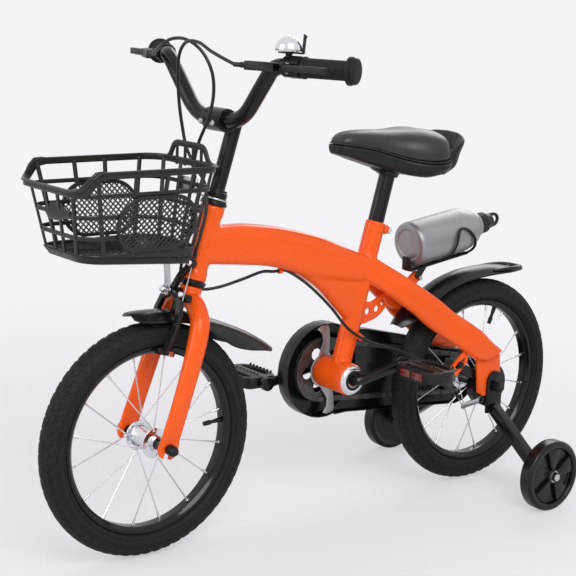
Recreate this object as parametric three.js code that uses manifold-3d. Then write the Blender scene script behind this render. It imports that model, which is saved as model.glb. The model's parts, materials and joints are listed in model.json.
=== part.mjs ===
// A child's bicycle for 14 inch wheels, with stabiliser wheels, a front basket and a water bottle.
// Millimetres. +X is forward, +Y is the rider's left and +Z is up.
// The origin is on the ground, midway between the two axles.

import * as THREE from 'three';
import { mergeVertices } from 'three/addons/utils/BufferGeometryUtils.js';
import Module from 'manifold-3d';

// Clearances
const seatGap = 0.3; // between two pieces that touch
const runningGap = 0.5; // between a turning piece and its bearing
const cutOverrun = 2; // how far a cut runs past a face

// Stance
const wheelbase = 652;
const steeringLean = 16.5; // degrees back from upright
const forkOffset = 5.5; // axle ahead of the steering axis
const bracketForward = 297; // crank axis ahead of the rear axle
const bracketRise = 46; // crank axis above the axles
const seatTubeLean = 14.7; // degrees back from upright

// Wheels
const wheelRadius = 175;
const tyreWidth = 41;
const tyreBeadWidth = 20;
const tyreFacets = 30;
const rimOuterRadius = 138.6;
const rimDepth = 10;
const tyreBeadInset = 5; // how far the beads sit inside the rim's edge
const rimWidth = 25.6;
const rimWall = 2.2;
const spokeRadius = 1.2;
const spokesPerSide = 8;
const spokeFacets = 3;
const spokeSweep = 27; // degrees from a spoke's hole in the flange to its hole in the rim
const spokeRimStagger = 2.5;
const hubBodyRadius = 15;
const hubFlangeRadius = 22.5;
const hubFlangeThickness = 3;
const hubFlangeSpacing = 46;
const hubNeck = 8; // the barrel outside each flange
const hubNeckRadius = 12;
const spokeCircleInset = 4;
const axleRadius = 4.5;
const coneRadius = 8;
const valveRadius = 3.2;
const valveLength = 29;

// Fork and headset
const forkCrownHeight = 210; // along the steering axis, above the axle
const forkSpacing = 108; // between the middles of the two ends
const forkEndThickness = 6;
const forkEndWidth = 33;
const forkTubeRadius = 13.5;
const crownRadius = 16.6;
const forkSlotLength = 14;
const steererRadius = 12.7;
const steererBore = 11.5;
const headTubeFoot = 238;
const headTubeLength = 111;
const headTubeRadius = 17;
const headTubeBore = 15;
const headCupRadius = 19.5;
const headCupHeight = 8;
const headCupSpigot = 9;
const headCupWall = 1.2;
const headNutRadius = 16.5;
const headNutHeight = 13;

// Stem and handlebar
const stemQuillRadius = 11.1;
const stemQuillDepth = 75; // inside the steerer
const stemRise = 96; // from the headset nut to the handlebar
const stemReach = 29;
const stemClampRadius = 17;
const stemClampWidth = 44;
const barRadius = 11.1;
const barLowHalfWidth = 54;
const barHighHalfWidth = 128;
const barTopRise = 84;
const barTopSetback = -3;
const barEndHalfWidth = 233;
const barEndSetback = 50;
const barEndDrop = 1;
const barLowBend = 34;
const barHighBend = 16;
const gripStart = 43; // along the bar's end from its upper bend
const gripLength = 79;
const gripRadius = 13.3;
const gripRingRadius = 15;
const gripFlangeRadius = 19;
const gripFlangeWidth = 5;
const gripEndWall = 3;
const perchStart = 27;
const perchWidth = 13;
const perchRadius = 15;
const leverReach = 30; // from the bar's axis forward to the lever's pivot
const leverBodyInboard = 48; // the body's inner end from the ring
const adjusterLength = 8;
const adjusterRadius = 4;
const leverBodyHeight = 12;
const leverBodyDepth = 13;
const leverLength = 62;
const leverDepth = 9;
const leverHeight = 9;
const leverPivotRadius = 3;
const bellStart = 16.5;
const bellBandWidth = 9.5;
const bellRadius = 19;
const bellHeight = 19;
const bellWall = 1.6;
const bellStalk = 4;
const bellStandoff = 10;
const bellLeverHeight = 24;
const bellLeverThickness = 2.5;
const bellPinRadius = 1.2;

// Front brake
const calliperReach = 86; // from the bolt down to the brake blocks
const calliperHeight = 216; // the bolt, along the steering axis
const calliperForward = 21; // the rear arm's back face ahead of the steering axis
const calliperArmThickness = 7;
const calliperBoltRadius = 3;
const calliperBoltEnd = 50;
const calliperSpan = 33; // half the space between the two arms
const calliperPadLength = 30;
const calliperPadHeight = 9;
const calliperPadThickness = 7;
const calliperPadClearance = 2;
const calliperCableSide = 36; // the cable's line, left of the middle

// Fenders
const fenderWall = 2;
const fenderHalfWidth = 25;
const fenderCrown = 13; // how far the edges hang below the ridge
const frontFenderRadius = 195;
const rearFenderRadius = 201;

// Basket
const basketAhead = 42.4; // its back, ahead of the head tube's top
const basketLength = 228;
const basketHalfWidth = 88;
const basketCornerRadius = 30;
const basketRimRise = 69; // the rim above the head tube's top
const basketFrontDip = 24; // the rim's dip across the front
const basketArchRise = 24; // the handle arch at the back
const basketArchHalfWidth = 49;
const basketDepth = 131;
const basketFloorInset = 22;
const basketFloorHalfWidth = 66;
const basketWall = 2.6;
const basketRib = 5.5;
const basketRimBand = 10;
const basketFloorBand = 15;
const panelRunShare = 0.112; // the straight run of the net panel's edge, of the basket's length
const netPitchShare = 0.6;
const netHoleShare = 0.385;
const basketPlate = 2; // the thickness of the bracket and the strap that hold it
const basketPlateHalfWidth = 24;
const basketPlateTongue = 13;
const basketPlateHeight = 20;
const basketStrapHalfWidth = 7;
const basketStrapReach = 34;

// Frame
const beamHalfWidth = 19;
const gussetHalfWidth = 13;
const seatTubeRadius = 15.9;
const seatTubeBore = 13.2;
const seatTubeLength = 250;
const seatTubeSolid = 60; // the closed length above the crank shell
const clampBossRadius = 8.5;
const clampBossReach = 26;
const clampBoltRadius = 4;
const bracketRadius = 25.5;
const bracketBore = 21.5;
const bracketWidth = 68;
const stayWidth = 20;
const dropoutThickness = 5;
const dropoutInner = 50;
const centrePlateThickness = 4;
const ringPlateThickness = 4;
const cableStopRadius = 5;
const cableClipRadius = 4.5;
const cableClipDrop = 15; // the cable's line below the beam

// Crank, chain and pedals
const cupRadius = 24;
const cupFlange = 4;
const cupInsert = 9;
const spindleRadius = 8;
const crankArmLength = 90;
const crankArmWidth = 17;
const crankArmThickness = 10;
const crankAngle = 192; // degrees round the axis from straight ahead to the left arm
const crankLeftInner = 48;
const crankRightInner = 64;
const chainLine = -42;
const chainPitch = 12.7;
const chainringTeeth = 24;
const sprocketTeeth = 16;
const chainringThickness = 2.4;
const chainWidth = 8;
const chainPlate = 1.2;
const chainPlateHeight = 9;
const chainWebThickness = 1.2;
const toothHeight = 3.4;
const pedalWidth = 88;
const pedalLength = 66;
const pedalHeight = 24;
const pedalAxleRadius = 5;
const pedalGap = 6;

// Chain guard
const guardRadius = 77.7;
const guardInner = -32;
const guardOuter = -56;
const guardWall = 1.8;
const guardOpening = 34;
const guardBracketThickness = 1.6;
const guardBracketArm = 22;

// Seat
const seatPostRadius = 12.7;
const seatPostTop = 345; // along the seat tube's axis from the crank axis
const seatPostInsert = 95;
const saddleLength = 291;
const saddleNoseForward = 110; // the nose ahead of the post's top
const saddleRise = 41.3; // the pad's seam above the post's top
const saddleHalfWidth = 72;
const saddleClampRadius = 16;
const saddleClampHeight = 22;

// Bottle and cage
const bottleRadius = 36.5;
const bottleLength = 152;
const bottleShoulder = 26;
const bottleFootDish = 2;
const bottleNeckRadius = 21;
const bottleCapLength = 34;
const bottleCapRadius = 17;
const bottleLoopLength = 22;
const bottleLean = 8.5; // degrees the bottle's axis rises to the rear
const bottleFootBack = 135; // behind the crank axis
const bottleFootRise = 198;
const cageWire = 3.2;
const cageReach = 96;

// Training wheels
const trainingRadius = 58.2;
const trainingWidth = 26;
const trainingTrack = 191; // from the middle to the wheel's middle
const trainingBoreRadius = 5.5;
const trainingRimDepth = 4;
const trainingSpokes = 5;
const bracketPlateThickness = 4;
const bracketPlateWidth = 34;
const bracketPlateTop = 26;
const bracketPlateFoot = 45;
const legRadius = 9.5;
const trainingAxleRadius = 5;
const trainingNutHeight = 4;

// Band brake
const drumRadius = 30;
const drumCoverRadius = 37;
const drumCoverWall = 2;
const drumCoverInner = 29;
const drumCoverOuter = 47;
const brakeArmLength = 46;
const brakeArmWidth = 9;
const brakeArmThickness = 2.5;

// Cables
const cableRadius = 2.4;
const wireRadius = 0.8; // the bare wire beyond the cable's casing
const cableFacets = 8;
const cableLoopReach = 60; // how far the loops stand ahead of the steering axis and beside it

const degree = Math.PI / 180;
const wasm = await Module();
wasm.setup();

// Working tools

const vec = (x, y, z) => new THREE.Vector3(x, y, z);
const alongX = vec(1, 0, 0);
const alongY = vec(0, 1, 0);
const alongZ = vec(0, 0, 1);
const middle = vec(0, 0, 0);

// A closed solid from a geometry: its shared corners are merged and its faces turned outwards.
function solid(geometry) {
  const bare = new THREE.BufferGeometry();
  bare.setAttribute('position', geometry.getAttribute('position'));
  if (geometry.index) bare.setIndex(geometry.index);
  const merged = mergeVertices(bare);
  const corners = merged.getAttribute('position');
  const at = (index) => new THREE.Vector3().fromBufferAttribute(corners, index);
  const faces = [];
  let volume = 0;
  for (let i = 0; i < merged.index.count; i += 3) {
    const [a, b, c] = [0, 1, 2].map((step) => merged.index.getX(i + step));
    if (a === b || b === c || c === a) continue;
    faces.push([a, b, c]);
    volume += at(a).dot(at(b).cross(at(c)));
  }
  if (volume < 0) faces.forEach((face) => face.reverse());
  return new wasm.Manifold(new wasm.Mesh({
    numProp: 3,
    vertProperties: new Float32Array(corners.array),
    triVerts: new Uint32Array(faces.flat()),
  }));
}

const join = (first, ...others) => others.reduce((whole, next) => whole.add(next), first);
const cut = (first, ...others) => others.reduce((whole, next) => whole.subtract(next), first);

// The same geometry on the other side of the bicycle.
function mirrored(geometry) {
  return geometry.clone().scale(1, -1, 1);
}

// Moves a geometry made around the Y axis so that its axis runs from a point in a direction.
function aimed(geometry, at, direction) {
  const turnTo = new THREE.Quaternion().setFromUnitVectors(alongY, direction.clone().normalize());
  return geometry.applyQuaternion(turnTo).translate(at.x, at.y, at.z);
}

// A revolved form. The profile lists radius and distance along the axis.
function revolved(profile, sides, at = middle, direction = alongY) {
  const points = profile.map(([radius, along]) => new THREE.Vector2(radius, along));
  return aimed(new THREE.LatheGeometry(points, sides), at, direction);
}
const turned = (...values) => solid(revolved(...values));

// A ring of rectangular section.
function collar(inner, outer, from, to, sides, at, direction) {
  const clear = inner / Math.cos(Math.PI / sides);
  const profile = [[clear, from], [outer, from], [outer, to], [clear, to], [clear, from]];
  return turned(profile, sides, at, direction);
}

// A round bar between two points, straight or tapered.
function rod(from, to, radius, sides = 12, endRadius = radius) {
  const run = to.clone().sub(from);
  const length = run.length();
  return turned([[0, 0], [radius, 0], [endRadius, length], [0, length]], sides, from, run);
}

// A flat plate: an outline of u and v in a plane, between two distances along the plane's normal.
function plateGeometry(outline, plane, from, to, holes = []) {
  const shape = new THREE.Shape(outline.map(([u, v]) => new THREE.Vector2(u, v)));
  holes.forEach((hole) => shape.holes.push(new THREE.Path(hole.map(([u, v]) => new THREE.Vector2(u, v)))));
  const geometry = new THREE.ExtrudeGeometry(shape, { depth: to - from, bevelEnabled: false, curveSegments: 1 });
  geometry.translate(0, 0, from);
  const normal = plane.u.clone().cross(plane.v);
  geometry.applyMatrix4(new THREE.Matrix4().makeBasis(plane.u, plane.v, normal));
  return geometry.translate(plane.at.x, plane.at.y, plane.at.z);
}
const plate = (...values) => solid(plateGeometry(...values));

// A plate seen from the rider's left, between two values of Y.
const sidePlane = { at: middle, u: alongX, v: alongZ };
const sidePlateGeometry = (outline, yFrom, yTo, holes) => plateGeometry(outline, sidePlane, -yTo, -yFrom, holes);
const sidePlate = (...values) => solid(sidePlateGeometry(...values));

// Points round a circle, or part of one, in degrees.
function arc(u, v, radius, from, to, steps) {
  return Array.from({ length: steps + 1 }, (_, i) => {
    const angle = (from + (to - from) * i / steps) * degree;
    return [u + radius * Math.cos(angle), v + radius * Math.sin(angle)];
  });
}
const circle = (u, v, radius, sides = 16) => arc(u, v, radius, 0, 360 - 360 / sides, sides - 1);

// The outline of a bent strip along a line of points, with a half width at each point.
function strip(points, halfWidths) {
  const halves = Array.isArray(halfWidths) ? halfWidths : points.map(() => halfWidths);
  const offset = points.map((point, i) => {
    const before = points[Math.max(i - 1, 0)];
    const after = points[Math.min(i + 1, points.length - 1)];
    const length = Math.hypot(after[0] - before[0], after[1] - before[1]);
    return [-(after[1] - before[1]) / length * halves[i], (after[0] - before[0]) / length * halves[i]];
  });
  const left = points.map(([u, v], i) => [u + offset[i][0], v + offset[i][1]]);
  const right = points.map(([u, v], i) => [u - offset[i][0], v - offset[i][1]]);
  return [...left, ...right.reverse()];
}

// A body stretched over rings of equally many points, closed across each end ring.
function loftGeometry(rings) {
  const count = rings[0].length;
  const corners = rings.flat().flatMap((point) => [point.x, point.y, point.z]);
  const faces = [];
  for (let r = 0; r + 1 < rings.length; r++) {
    for (let i = 0; i < count; i++) {
      const next = (i + 1) % count;
      const [a, b] = [r * count + i, r * count + next];
      const [c, d] = [(r + 1) * count + i, (r + 1) * count + next];
      faces.push(a, b, d, a, d, c);
    }
  }
  const last = (rings.length - 1) * count;
  for (let i = 0; i < count - 2 - i; i++) {
    const [a, b, c, d] = [i, i + 1, count - 2 - i, count - 1 - i];
    if (b !== c) faces.push(a, c, b, last + a, last + b, last + c);
    faces.push(a, d, c, last + a, last + c, last + d);
  }
  const geometry = new THREE.BufferGeometry();
  geometry.setAttribute('position', new THREE.Float32BufferAttribute(corners, 3));
  geometry.setIndex(faces);
  return geometry;
}
const loft = (rings) => solid(loftGeometry(rings));

// A ring with rounded corners: a centre, two directions, two half sizes and a corner radius.
function roundedRing(centre, u, v, halfU, halfV, radius, cornerSteps = 2) {
  const round = Math.min(radius, halfU, halfV);
  const ring = [];
  for (const [signU, signV, start] of [[1, 1, 0], [-1, 1, 90], [-1, -1, 180], [1, -1, 270]]) {
    for (const [du, dv] of arc(signU * (halfU - round), signV * (halfV - round), round, start, start + 90, cornerSteps)) {
      ring.push(centre.clone().addScaledVector(u, du).addScaledVector(v, dv));
    }
  }
  return ring;
}

// A ring with the form of an ellipse.
function ovalRing(centre, u, v, halfU, halfV, sides) {
  return Array.from({ length: sides }, (_, i) => {
    const angle = i / sides * 360 * degree;
    return centre.clone().addScaledVector(u, halfU * Math.cos(angle)).addScaledVector(v, halfV * Math.sin(angle));
  });
}

// A bar along a line of centres, oval in section. One axis of the section is held near a given direction.
function ovalBar(centres, hold, halfHold, halfOther, sides = 12) {
  const rings = centres.map((centre, i) => {
    const before = centres[Math.max(i - 1, 0)];
    const after = centres[Math.min(i + 1, centres.length - 1)];
    const tangent = after.clone().sub(before).normalize();
    const other = tangent.clone().cross(hold).normalize();
    return ovalRing(centre, other.clone().cross(tangent).normalize(), other, halfHold[i], halfOther[i], sides);
  });
  return loftGeometry(rings);
}

// A route of straight runs with rounded bends. Its steps fall on the bends and not along the runs.
class Route extends THREE.Curve {
  constructor(corners, bends, bendSteps = 4) {
    super();
    this.stations = [corners[0]];
    corners.slice(1, -1).forEach((corner, i) => {
      const toBefore = corners[i].clone().sub(corner).normalize();
      const toAfter = corners[i + 2].clone().sub(corner).normalize();
      const start = corner.clone().addScaledVector(toBefore, bends[i]);
      const end = corner.clone().addScaledVector(toAfter, bends[i]);
      const bend = new THREE.QuadraticBezierCurve3(start, corner, end);
      this.stations.push(...bend.getPoints(bendSteps));
    });
    this.stations.push(corners[corners.length - 1]);
  }
  getPoint(t) {
    const place = t * (this.stations.length - 1);
    const index = Math.min(Math.floor(place), this.stations.length - 2);
    return this.stations[index].clone().lerp(this.stations[index + 1], place - index);
  }
  getPointAt(t) {
    return this.getPoint(t);
  }
  getTangentAt(t) {
    return this.getTangent(t);
  }
  get steps() {
    return this.stations.length - 1;
  }
}

// A round tube along a curve.
function tube(curve, radius, steps, sides) {
  const section = new THREE.Shape(circle(0, 0, radius, sides).map(([u, v]) => new THREE.Vector2(u, v)));
  return new THREE.ExtrudeGeometry(section, { steps, extrudePath: curve, bevelEnabled: false });
}
const routeTube = (route, radius, sides) => solid(tube(route, radius, route.steps, sides));

// Finishes
const finish = (color, roughness, metalness) => new THREE.MeshStandardMaterial({ color, roughness, metalness });
const orangePaint = finish(0xf85a1c, 0.35, 0.1);
const blackPaint = finish(0x151517, 0.35, 0.3);
const blackPlastic = finish(0x1c1c1e, 0.6, 0);
const glossPlastic = finish(0x141416, 0.3, 0);
const tyreRubber = finish(0x232325, 0.9, 0);
const gripRubber = finish(0x1e1e20, 0.85, 0);
const brightSteel = finish(0xc8cbd0, 0.25, 1);
const zincSteel = finish(0xb0b3b8, 0.4, 1);
const greyPlate = finish(0x9a9a9c, 0.5, 0.2);
const brushedAluminium = finish(0x9b9ba0, 0.45, 0.8);
const saddleVinyl = finish(0x1b1b1d, 0.5, 0);
const chainSteel = finish(0x2a2a2c, 0.45, 0.8);

// The bicycle and its nested groups
const bike = new THREE.Group();
const group = (parent, x, y, z) => {
  const nested = new THREE.Group();
  nested.position.set(x, y, z);
  parent.add(nested);
  return nested;
};

function part(name, body, material, parent = bike) {
  const mesh = body.getMesh();
  const geometry = new THREE.BufferGeometry();
  geometry.setAttribute('position', new THREE.Float32BufferAttribute(mesh.vertProperties, 3));
  geometry.setIndex(new THREE.Uint32BufferAttribute(mesh.triVerts, 1));
  geometry.computeVertexNormals();
  const piece = new THREE.Mesh(geometry, material);
  piece.name = name;
  parent.add(piece);
  return piece;
}

// Places that several pieces share

const rearAxle = vec(-wheelbase / 2, 0, wheelRadius);
const frontAxle = vec(wheelbase / 2, 0, wheelRadius);
const steerUp = vec(-Math.sin(steeringLean * degree), 0, Math.cos(steeringLean * degree));
const steerAhead = vec(Math.cos(steeringLean * degree), 0, Math.sin(steeringLean * degree));
const steerFoot = frontAxle.clone().addScaledVector(steerAhead, -forkOffset);

// A point by its distance up the steering axis, ahead of it and to the left of it.
function steerPoint(up, ahead = 0, left = 0) {
  return steerFoot.clone().addScaledVector(steerUp, up).addScaledVector(steerAhead, ahead).setY(left);
}

const bracket = rearAxle.clone().add(vec(bracketForward, 0, bracketRise));
const seatUp = vec(-Math.sin(seatTubeLean * degree), 0, Math.cos(seatTubeLean * degree));
const seatAhead = vec(Math.cos(seatTubeLean * degree), 0, Math.sin(seatTubeLean * degree));
const seatPoint = (up, ahead = 0, left = 0) => (
  bracket.clone().addScaledVector(seatUp, up).addScaledVector(seatAhead, ahead).setY(left)
);

const headTop = headTubeFoot + headTubeLength;
const seatMiddle = seatPoint(seatTubeLength * 0.8);

// Places a point by its shares of a span in the bicycle's middle plane: along it and above it.
function spanPlacer(from, to) {
  const run = to.clone().sub(from);
  const length = run.length();
  run.normalize();
  const above = vec(run.z, 0, -run.x);
  if (above.z < 0) above.negate();
  return (alongShare, aboveShare, left = 0) => (
    from.clone().addScaledVector(run, alongShare * length).addScaledVector(above, aboveShare * length).setY(left)
  );
}
const beamPlace = spanPlacer(steerPoint(headTubeFoot), bracket);
const stayPlace = spanPlacer(seatMiddle, rearAxle);
const flat = (points) => points.map((point) => [point.x, point.z]);

// The wheels: each is a group at its axle, with its pieces made round that axle

const tyreBeadRadius = rimOuterRadius - tyreBeadInset;
const rimInnerRadius = rimOuterRadius - rimDepth;

function tyre() {
  const half = tyreWidth / 2;
  const crownRise = wheelRadius - tyreBeadRadius;
  const profileShares = [
    [0, 0.49], [0.13, 0.5], [0.2, 0.82], [0.45, 1], [0.78, 0.82], [1, 0.2],
  ];
  const outer = profileShares.map(([rise, side]) => [tyreBeadRadius + rise * crownRise, side * half]);
  const inner = profileShares.slice().reverse().map(([rise, side]) => [
    tyreBeadRadius + rise * crownRise, -side * half,
  ]);
  outer[0][1] = tyreBeadWidth / 2;
  outer[1][1] = tyreBeadWidth / 2;
  inner[inner.length - 1][1] = -tyreBeadWidth / 2;
  inner[inner.length - 2][1] = -tyreBeadWidth / 2;
  return turned([...outer, ...inner, outer[0]], tyreFacets);
}

// The rim is a channel that the tyre sits in, with the valve standing inwards from it.
function rim() {
  const half = rimWidth / 2;
  const ledge = tyreBeadRadius - seatGap;
  const innerHalf = tyreBeadWidth / 2 + seatGap;
  const profile = [
    [rimOuterRadius, -half], [rimInnerRadius, -half * 0.6], [rimInnerRadius, half * 0.6],
    [rimOuterRadius, half], [rimOuterRadius, innerHalf], [ledge, innerHalf],
    [ledge, -innerHalf], [rimOuterRadius, -innerHalf], [rimOuterRadius, -half],
  ];
  const valve = rod(vec(0, 0, ledge - rimWall), vec(0, 0, rimInnerRadius - valveLength), valveRadius, 8);
  return join(turned(profile, tyreFacets), valve);
}

// The hub with its spokes. They leave the two flanges in turn, half of them leaning each way.
function spokedHub(leftReach, rightReach, extras) {
  const bore = (axleRadius + runningGap) / Math.cos(Math.PI / 12);
  const flangeAt = hubFlangeSpacing / 2;
  const waist = flangeAt - hubFlangeThickness;
  const profile = [
    [bore, -rightReach], [hubNeckRadius, -rightReach], [hubNeckRadius, -flangeAt], [hubFlangeRadius, -flangeAt],
    [hubFlangeRadius, -waist], [hubBodyRadius, -waist], [hubBodyRadius, waist], [hubFlangeRadius, waist],
    [hubFlangeRadius, flangeAt], [hubNeckRadius, flangeAt], [hubNeckRadius, leftReach], [bore, leftReach],
    [bore, -rightReach],
  ];
  let hub = join(turned(profile, 12), ...extras);
  const inner = hubFlangeRadius - spokeCircleInset;
  const outer = rimInnerRadius * Math.cos(Math.PI / tyreFacets) - seatGap - spokeRadius * 0.2;
  for (let i = 0; i < spokesPerSide * 2; i++) {
    const side = i % 2 === 0 ? 1 : -1;
    const lean = i % 4 < 2 ? 1 : -1;
    const rimAngle = (i + 0.5) * 180 / spokesPerSide * degree;
    const hubAngle = rimAngle - lean * spokeSweep * degree;
    const from = vec(inner * Math.cos(hubAngle), side * (flangeAt - hubFlangeThickness / 2), inner * Math.sin(hubAngle));
    const to = vec(outer * Math.cos(rimAngle), side * spokeRimStagger, outer * Math.sin(rimAngle));
    hub = hub.add(rod(from, to, spokeRadius, spokeFacets));
  }
  return hub;
}

const forkInner = (forkSpacing - forkEndThickness) / 2;
const frontHubReach = hubFlangeSpacing / 2 + hubNeck;
const frontWheel = group(bike, frontAxle.x, frontAxle.y, frontAxle.z);
part('front_tyre', tyre(), tyreRubber, frontWheel);
part('front_rim', rim(), blackPaint, frontWheel);
part('front_hub', spokedHub(frontHubReach, frontHubReach, []), brightSteel, frontWheel);

// The rear hub carries the brake drum on its left and the sprocket's seat on its right.
const rearHubLeft = drumCoverOuter - drumCoverWall - runningGap;
const rearHubRight = -chainLine + chainringThickness / 2 + seatGap;
const drum = collar(hubNeckRadius - rimWall, drumRadius, drumCoverInner, rearHubLeft, 20);
const rearWheel = group(bike, rearAxle.x, rearAxle.y, rearAxle.z);
part('rear_tyre', tyre(), tyreRubber, rearWheel);
part('rear_rim', rim(), blackPaint, rearWheel);
part('rear_hub', spokedHub(rearHubLeft, rearHubRight, [drum]), brightSteel, rearWheel);

// An axle with its cones inside the frame ends and its capped nuts outside them
function axle(inner, endThickness, hubLeft, hubRight, nutLength, nutRadius, extraLeft, extraRight) {
  const left = inner + endThickness + seatGap + extraLeft;
  const right = inner + endThickness + seatGap + extraRight;
  return turned([
    [0, -right - nutLength], [nutRadius * 0.7, -right - nutLength], [nutRadius, -right - nutLength * 0.7],
    [nutRadius, -right], [axleRadius, -right], [axleRadius, -inner + seatGap], [coneRadius, -inner + seatGap],
    [coneRadius, -hubRight - seatGap], [axleRadius, -hubRight - seatGap], [axleRadius, hubLeft + seatGap],
    [coneRadius, hubLeft + seatGap], [coneRadius, inner - seatGap], [axleRadius, inner - seatGap],
    [axleRadius, left], [nutRadius, left], [nutRadius, left + nutLength * 0.7],
    [nutRadius * 0.7, left + nutLength], [0, left + nutLength],
  ], 10);
}
const axleNutLength = 16;
const axleNutRadius = 8;
part('front_axle', axle(forkInner, forkEndThickness, frontHubReach, frontHubReach, axleNutLength, axleNutRadius, 0, 0),
  blackPlastic, frontWheel);

// The fork: two tubes that sweep out from the crown and flatten to the wheel's ends

const forkLegShares = [
  // height, side, offset, half size fore and aft, half size across
  [1, 0, 0, 1, 1], [0.985, 0.3, 0, 1, 1], [0.905, 0.69, 0, 1.02, 1], [0.82, 0.85, 0, 1.04, 0.98],
  [0.62, 0.93, 0.05, 1.04, 0.84], [0.31, 0.98, 0.5, 1.1, 0.5],
  [0.12, 1, 0.9, 1.2, 0.24], [0.04, 1, 1, 1.2, 0.22],
];
function forkLeg() {
  const centres = forkLegShares.map(([height, side, offset]) => (
    steerPoint(height * forkCrownHeight, offset * forkOffset, side * forkSpacing / 2)
  ));
  const ahead = forkLegShares.map((row) => row[3] * forkTubeRadius);
  const across = forkLegShares.map((row) => row[4] * forkTubeRadius);
  return ovalBar(centres, steerAhead, ahead, across, 10);
}
function forkEnd() {
  const half = forkEndWidth / 2;
  const slot = axleRadius + runningGap;
  const outline = [
    ...arc(forkOffset, 0, half, 180, 180 + 65, 3), [forkOffset - slot, -forkSlotLength],
    ...arc(forkOffset, 0, slot, 180, 0, 6), [forkOffset + slot, -forkSlotLength],
    ...arc(forkOffset, 0, half, 295, 360, 3), [forkOffset + half, half * 1.4], [forkOffset - half, half * 1.4],
  ];
  const plane = { at: steerFoot, u: steerAhead, v: steerUp };
  return plateGeometry(outline, plane, -forkInner - forkEndThickness, -forkInner);
}
const steererTop = headTop + headCupHeight + basketPlate + headNutHeight;
const leg = forkLeg();
const end = forkEnd();
const steerer = rod(steerPoint(forkCrownHeight), steerPoint(steererTop), steererRadius, 16);
const steererHollow = rod(
  steerPoint(headTubeFoot), steerPoint(steererTop + cutOverrun), steererBore, 16,
);
const crownSeat = rod(
  steerPoint(forkCrownHeight), steerPoint(headTubeFoot - headCupHeight - seatGap * 2), crownRadius, 16,
);
const forkBody = join(solid(leg), solid(mirrored(leg)), solid(end), solid(mirrored(end)), crownSeat, steerer);
part('fork', cut(forkBody, steererHollow), orangePaint);

// The headset: a cup pressed into each end of the head tube and the nut above them
function headCup(face, outwards) {
  const bore = steererRadius + runningGap;
  const spigot = headTubeBore - seatGap;
  const profile = [
    [bore, -headCupSpigot], [spigot, -headCupSpigot], [spigot, seatGap], [headCupRadius, seatGap],
    [headCupRadius, headCupHeight * 0.6], [headCupRadius * 0.9, headCupHeight], [bore, headCupHeight],
    [bore, -headCupSpigot],
  ];
  return turned(profile, 16, steerPoint(face), outwards);
}
part('headset_cup_upper', headCup(headTop, steerUp), blackPaint);
part('headset_cup_lower', headCup(headTubeFoot, steerUp.clone().negate()), blackPaint);
const basketPlateFoot = headTop + headCupHeight + seatGap;
const headNutFoot = basketPlateFoot + basketPlate + seatGap;
part('headset_nut', collar(
  steererRadius + seatGap, headNutRadius, 0, headNutHeight, 12, steerPoint(headNutFoot), steerUp,
), blackPaint);

// The stem: a quill inside the steerer and a split clamp that holds the handlebar
const barHeight = headNutFoot + headNutHeight + stemRise;
const barCentre = steerPoint(barHeight, stemReach);
const quillFoot = steererTop - stemQuillDepth;
const clampRing = rod(
  barCentre.clone().setY(-stemClampWidth / 2), barCentre.clone().setY(stemClampWidth / 2), stemClampRadius, 16,
);
const clampNeck = loft([
  roundedRing(steerPoint(barHeight - stemClampRadius * 0.3), steerUp, alongY, stemClampRadius * 0.75,
    stemQuillRadius, stemQuillRadius * 0.6),
  roundedRing(barCentre, steerUp, alongY, stemClampRadius * 0.9, stemClampWidth / 2.4, stemQuillRadius * 0.6),
]);
const quill = turned([
  [0, quillFoot], [stemQuillRadius, quillFoot], [stemQuillRadius, barHeight + stemQuillRadius],
  [stemQuillRadius * 0.75, barHeight + stemQuillRadius * 1.35], [0, barHeight + stemQuillRadius * 1.35],
], 16, steerFoot, steerUp);
const clampBore = rod(
  barCentre.clone().setY(-stemClampWidth), barCentre.clone().setY(stemClampWidth),
  (barRadius + seatGap) / Math.cos(Math.PI / 16), 16,
);
const clampSlit = plate(
  [[0, -seatGap * 2], [stemClampRadius * 1.5, -seatGap * 2], [stemClampRadius * 1.5, seatGap * 2], [0, seatGap * 2]],
  { at: barCentre, u: steerAhead, v: steerUp }, -stemClampWidth, stemClampWidth,
);
part('stem', cut(join(quill, clampNeck, clampRing), clampBore, clampSlit), blackPaint);

// The handlebar: one bent tube
const barHighZ = barCentre.z + barTopRise;
const barHighX = barCentre.x - barTopSetback;
const barEndX = barCentre.x - barEndSetback;
const barCorner = (side) => vec(barHighX, side * barHighHalfWidth, barHighZ);
const barEnd = (side) => vec(barEndX, side * barEndHalfWidth, barHighZ - barEndDrop);
const barInset = gripEndWall + seatGap;
const gripAxis = (side) => barEnd(side).sub(barCorner(side)).normalize();
const barPoint = (side, along) => barCorner(side).addScaledVector(gripAxis(side), along);
const gripEnd = gripStart + gripLength;
const barRoute = new Route([
  barPoint(-1, gripEnd - barInset), barCorner(-1), vec(barCentre.x, -barLowHalfWidth, barCentre.z),
  vec(barCentre.x, barLowHalfWidth, barCentre.z), barCorner(1), barPoint(1, gripEnd - barInset),
], [barHighBend, barLowBend, barLowBend, barHighBend], 3);
part('handlebar', routeTube(barRoute, barRadius, 12), blackPaint);

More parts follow.
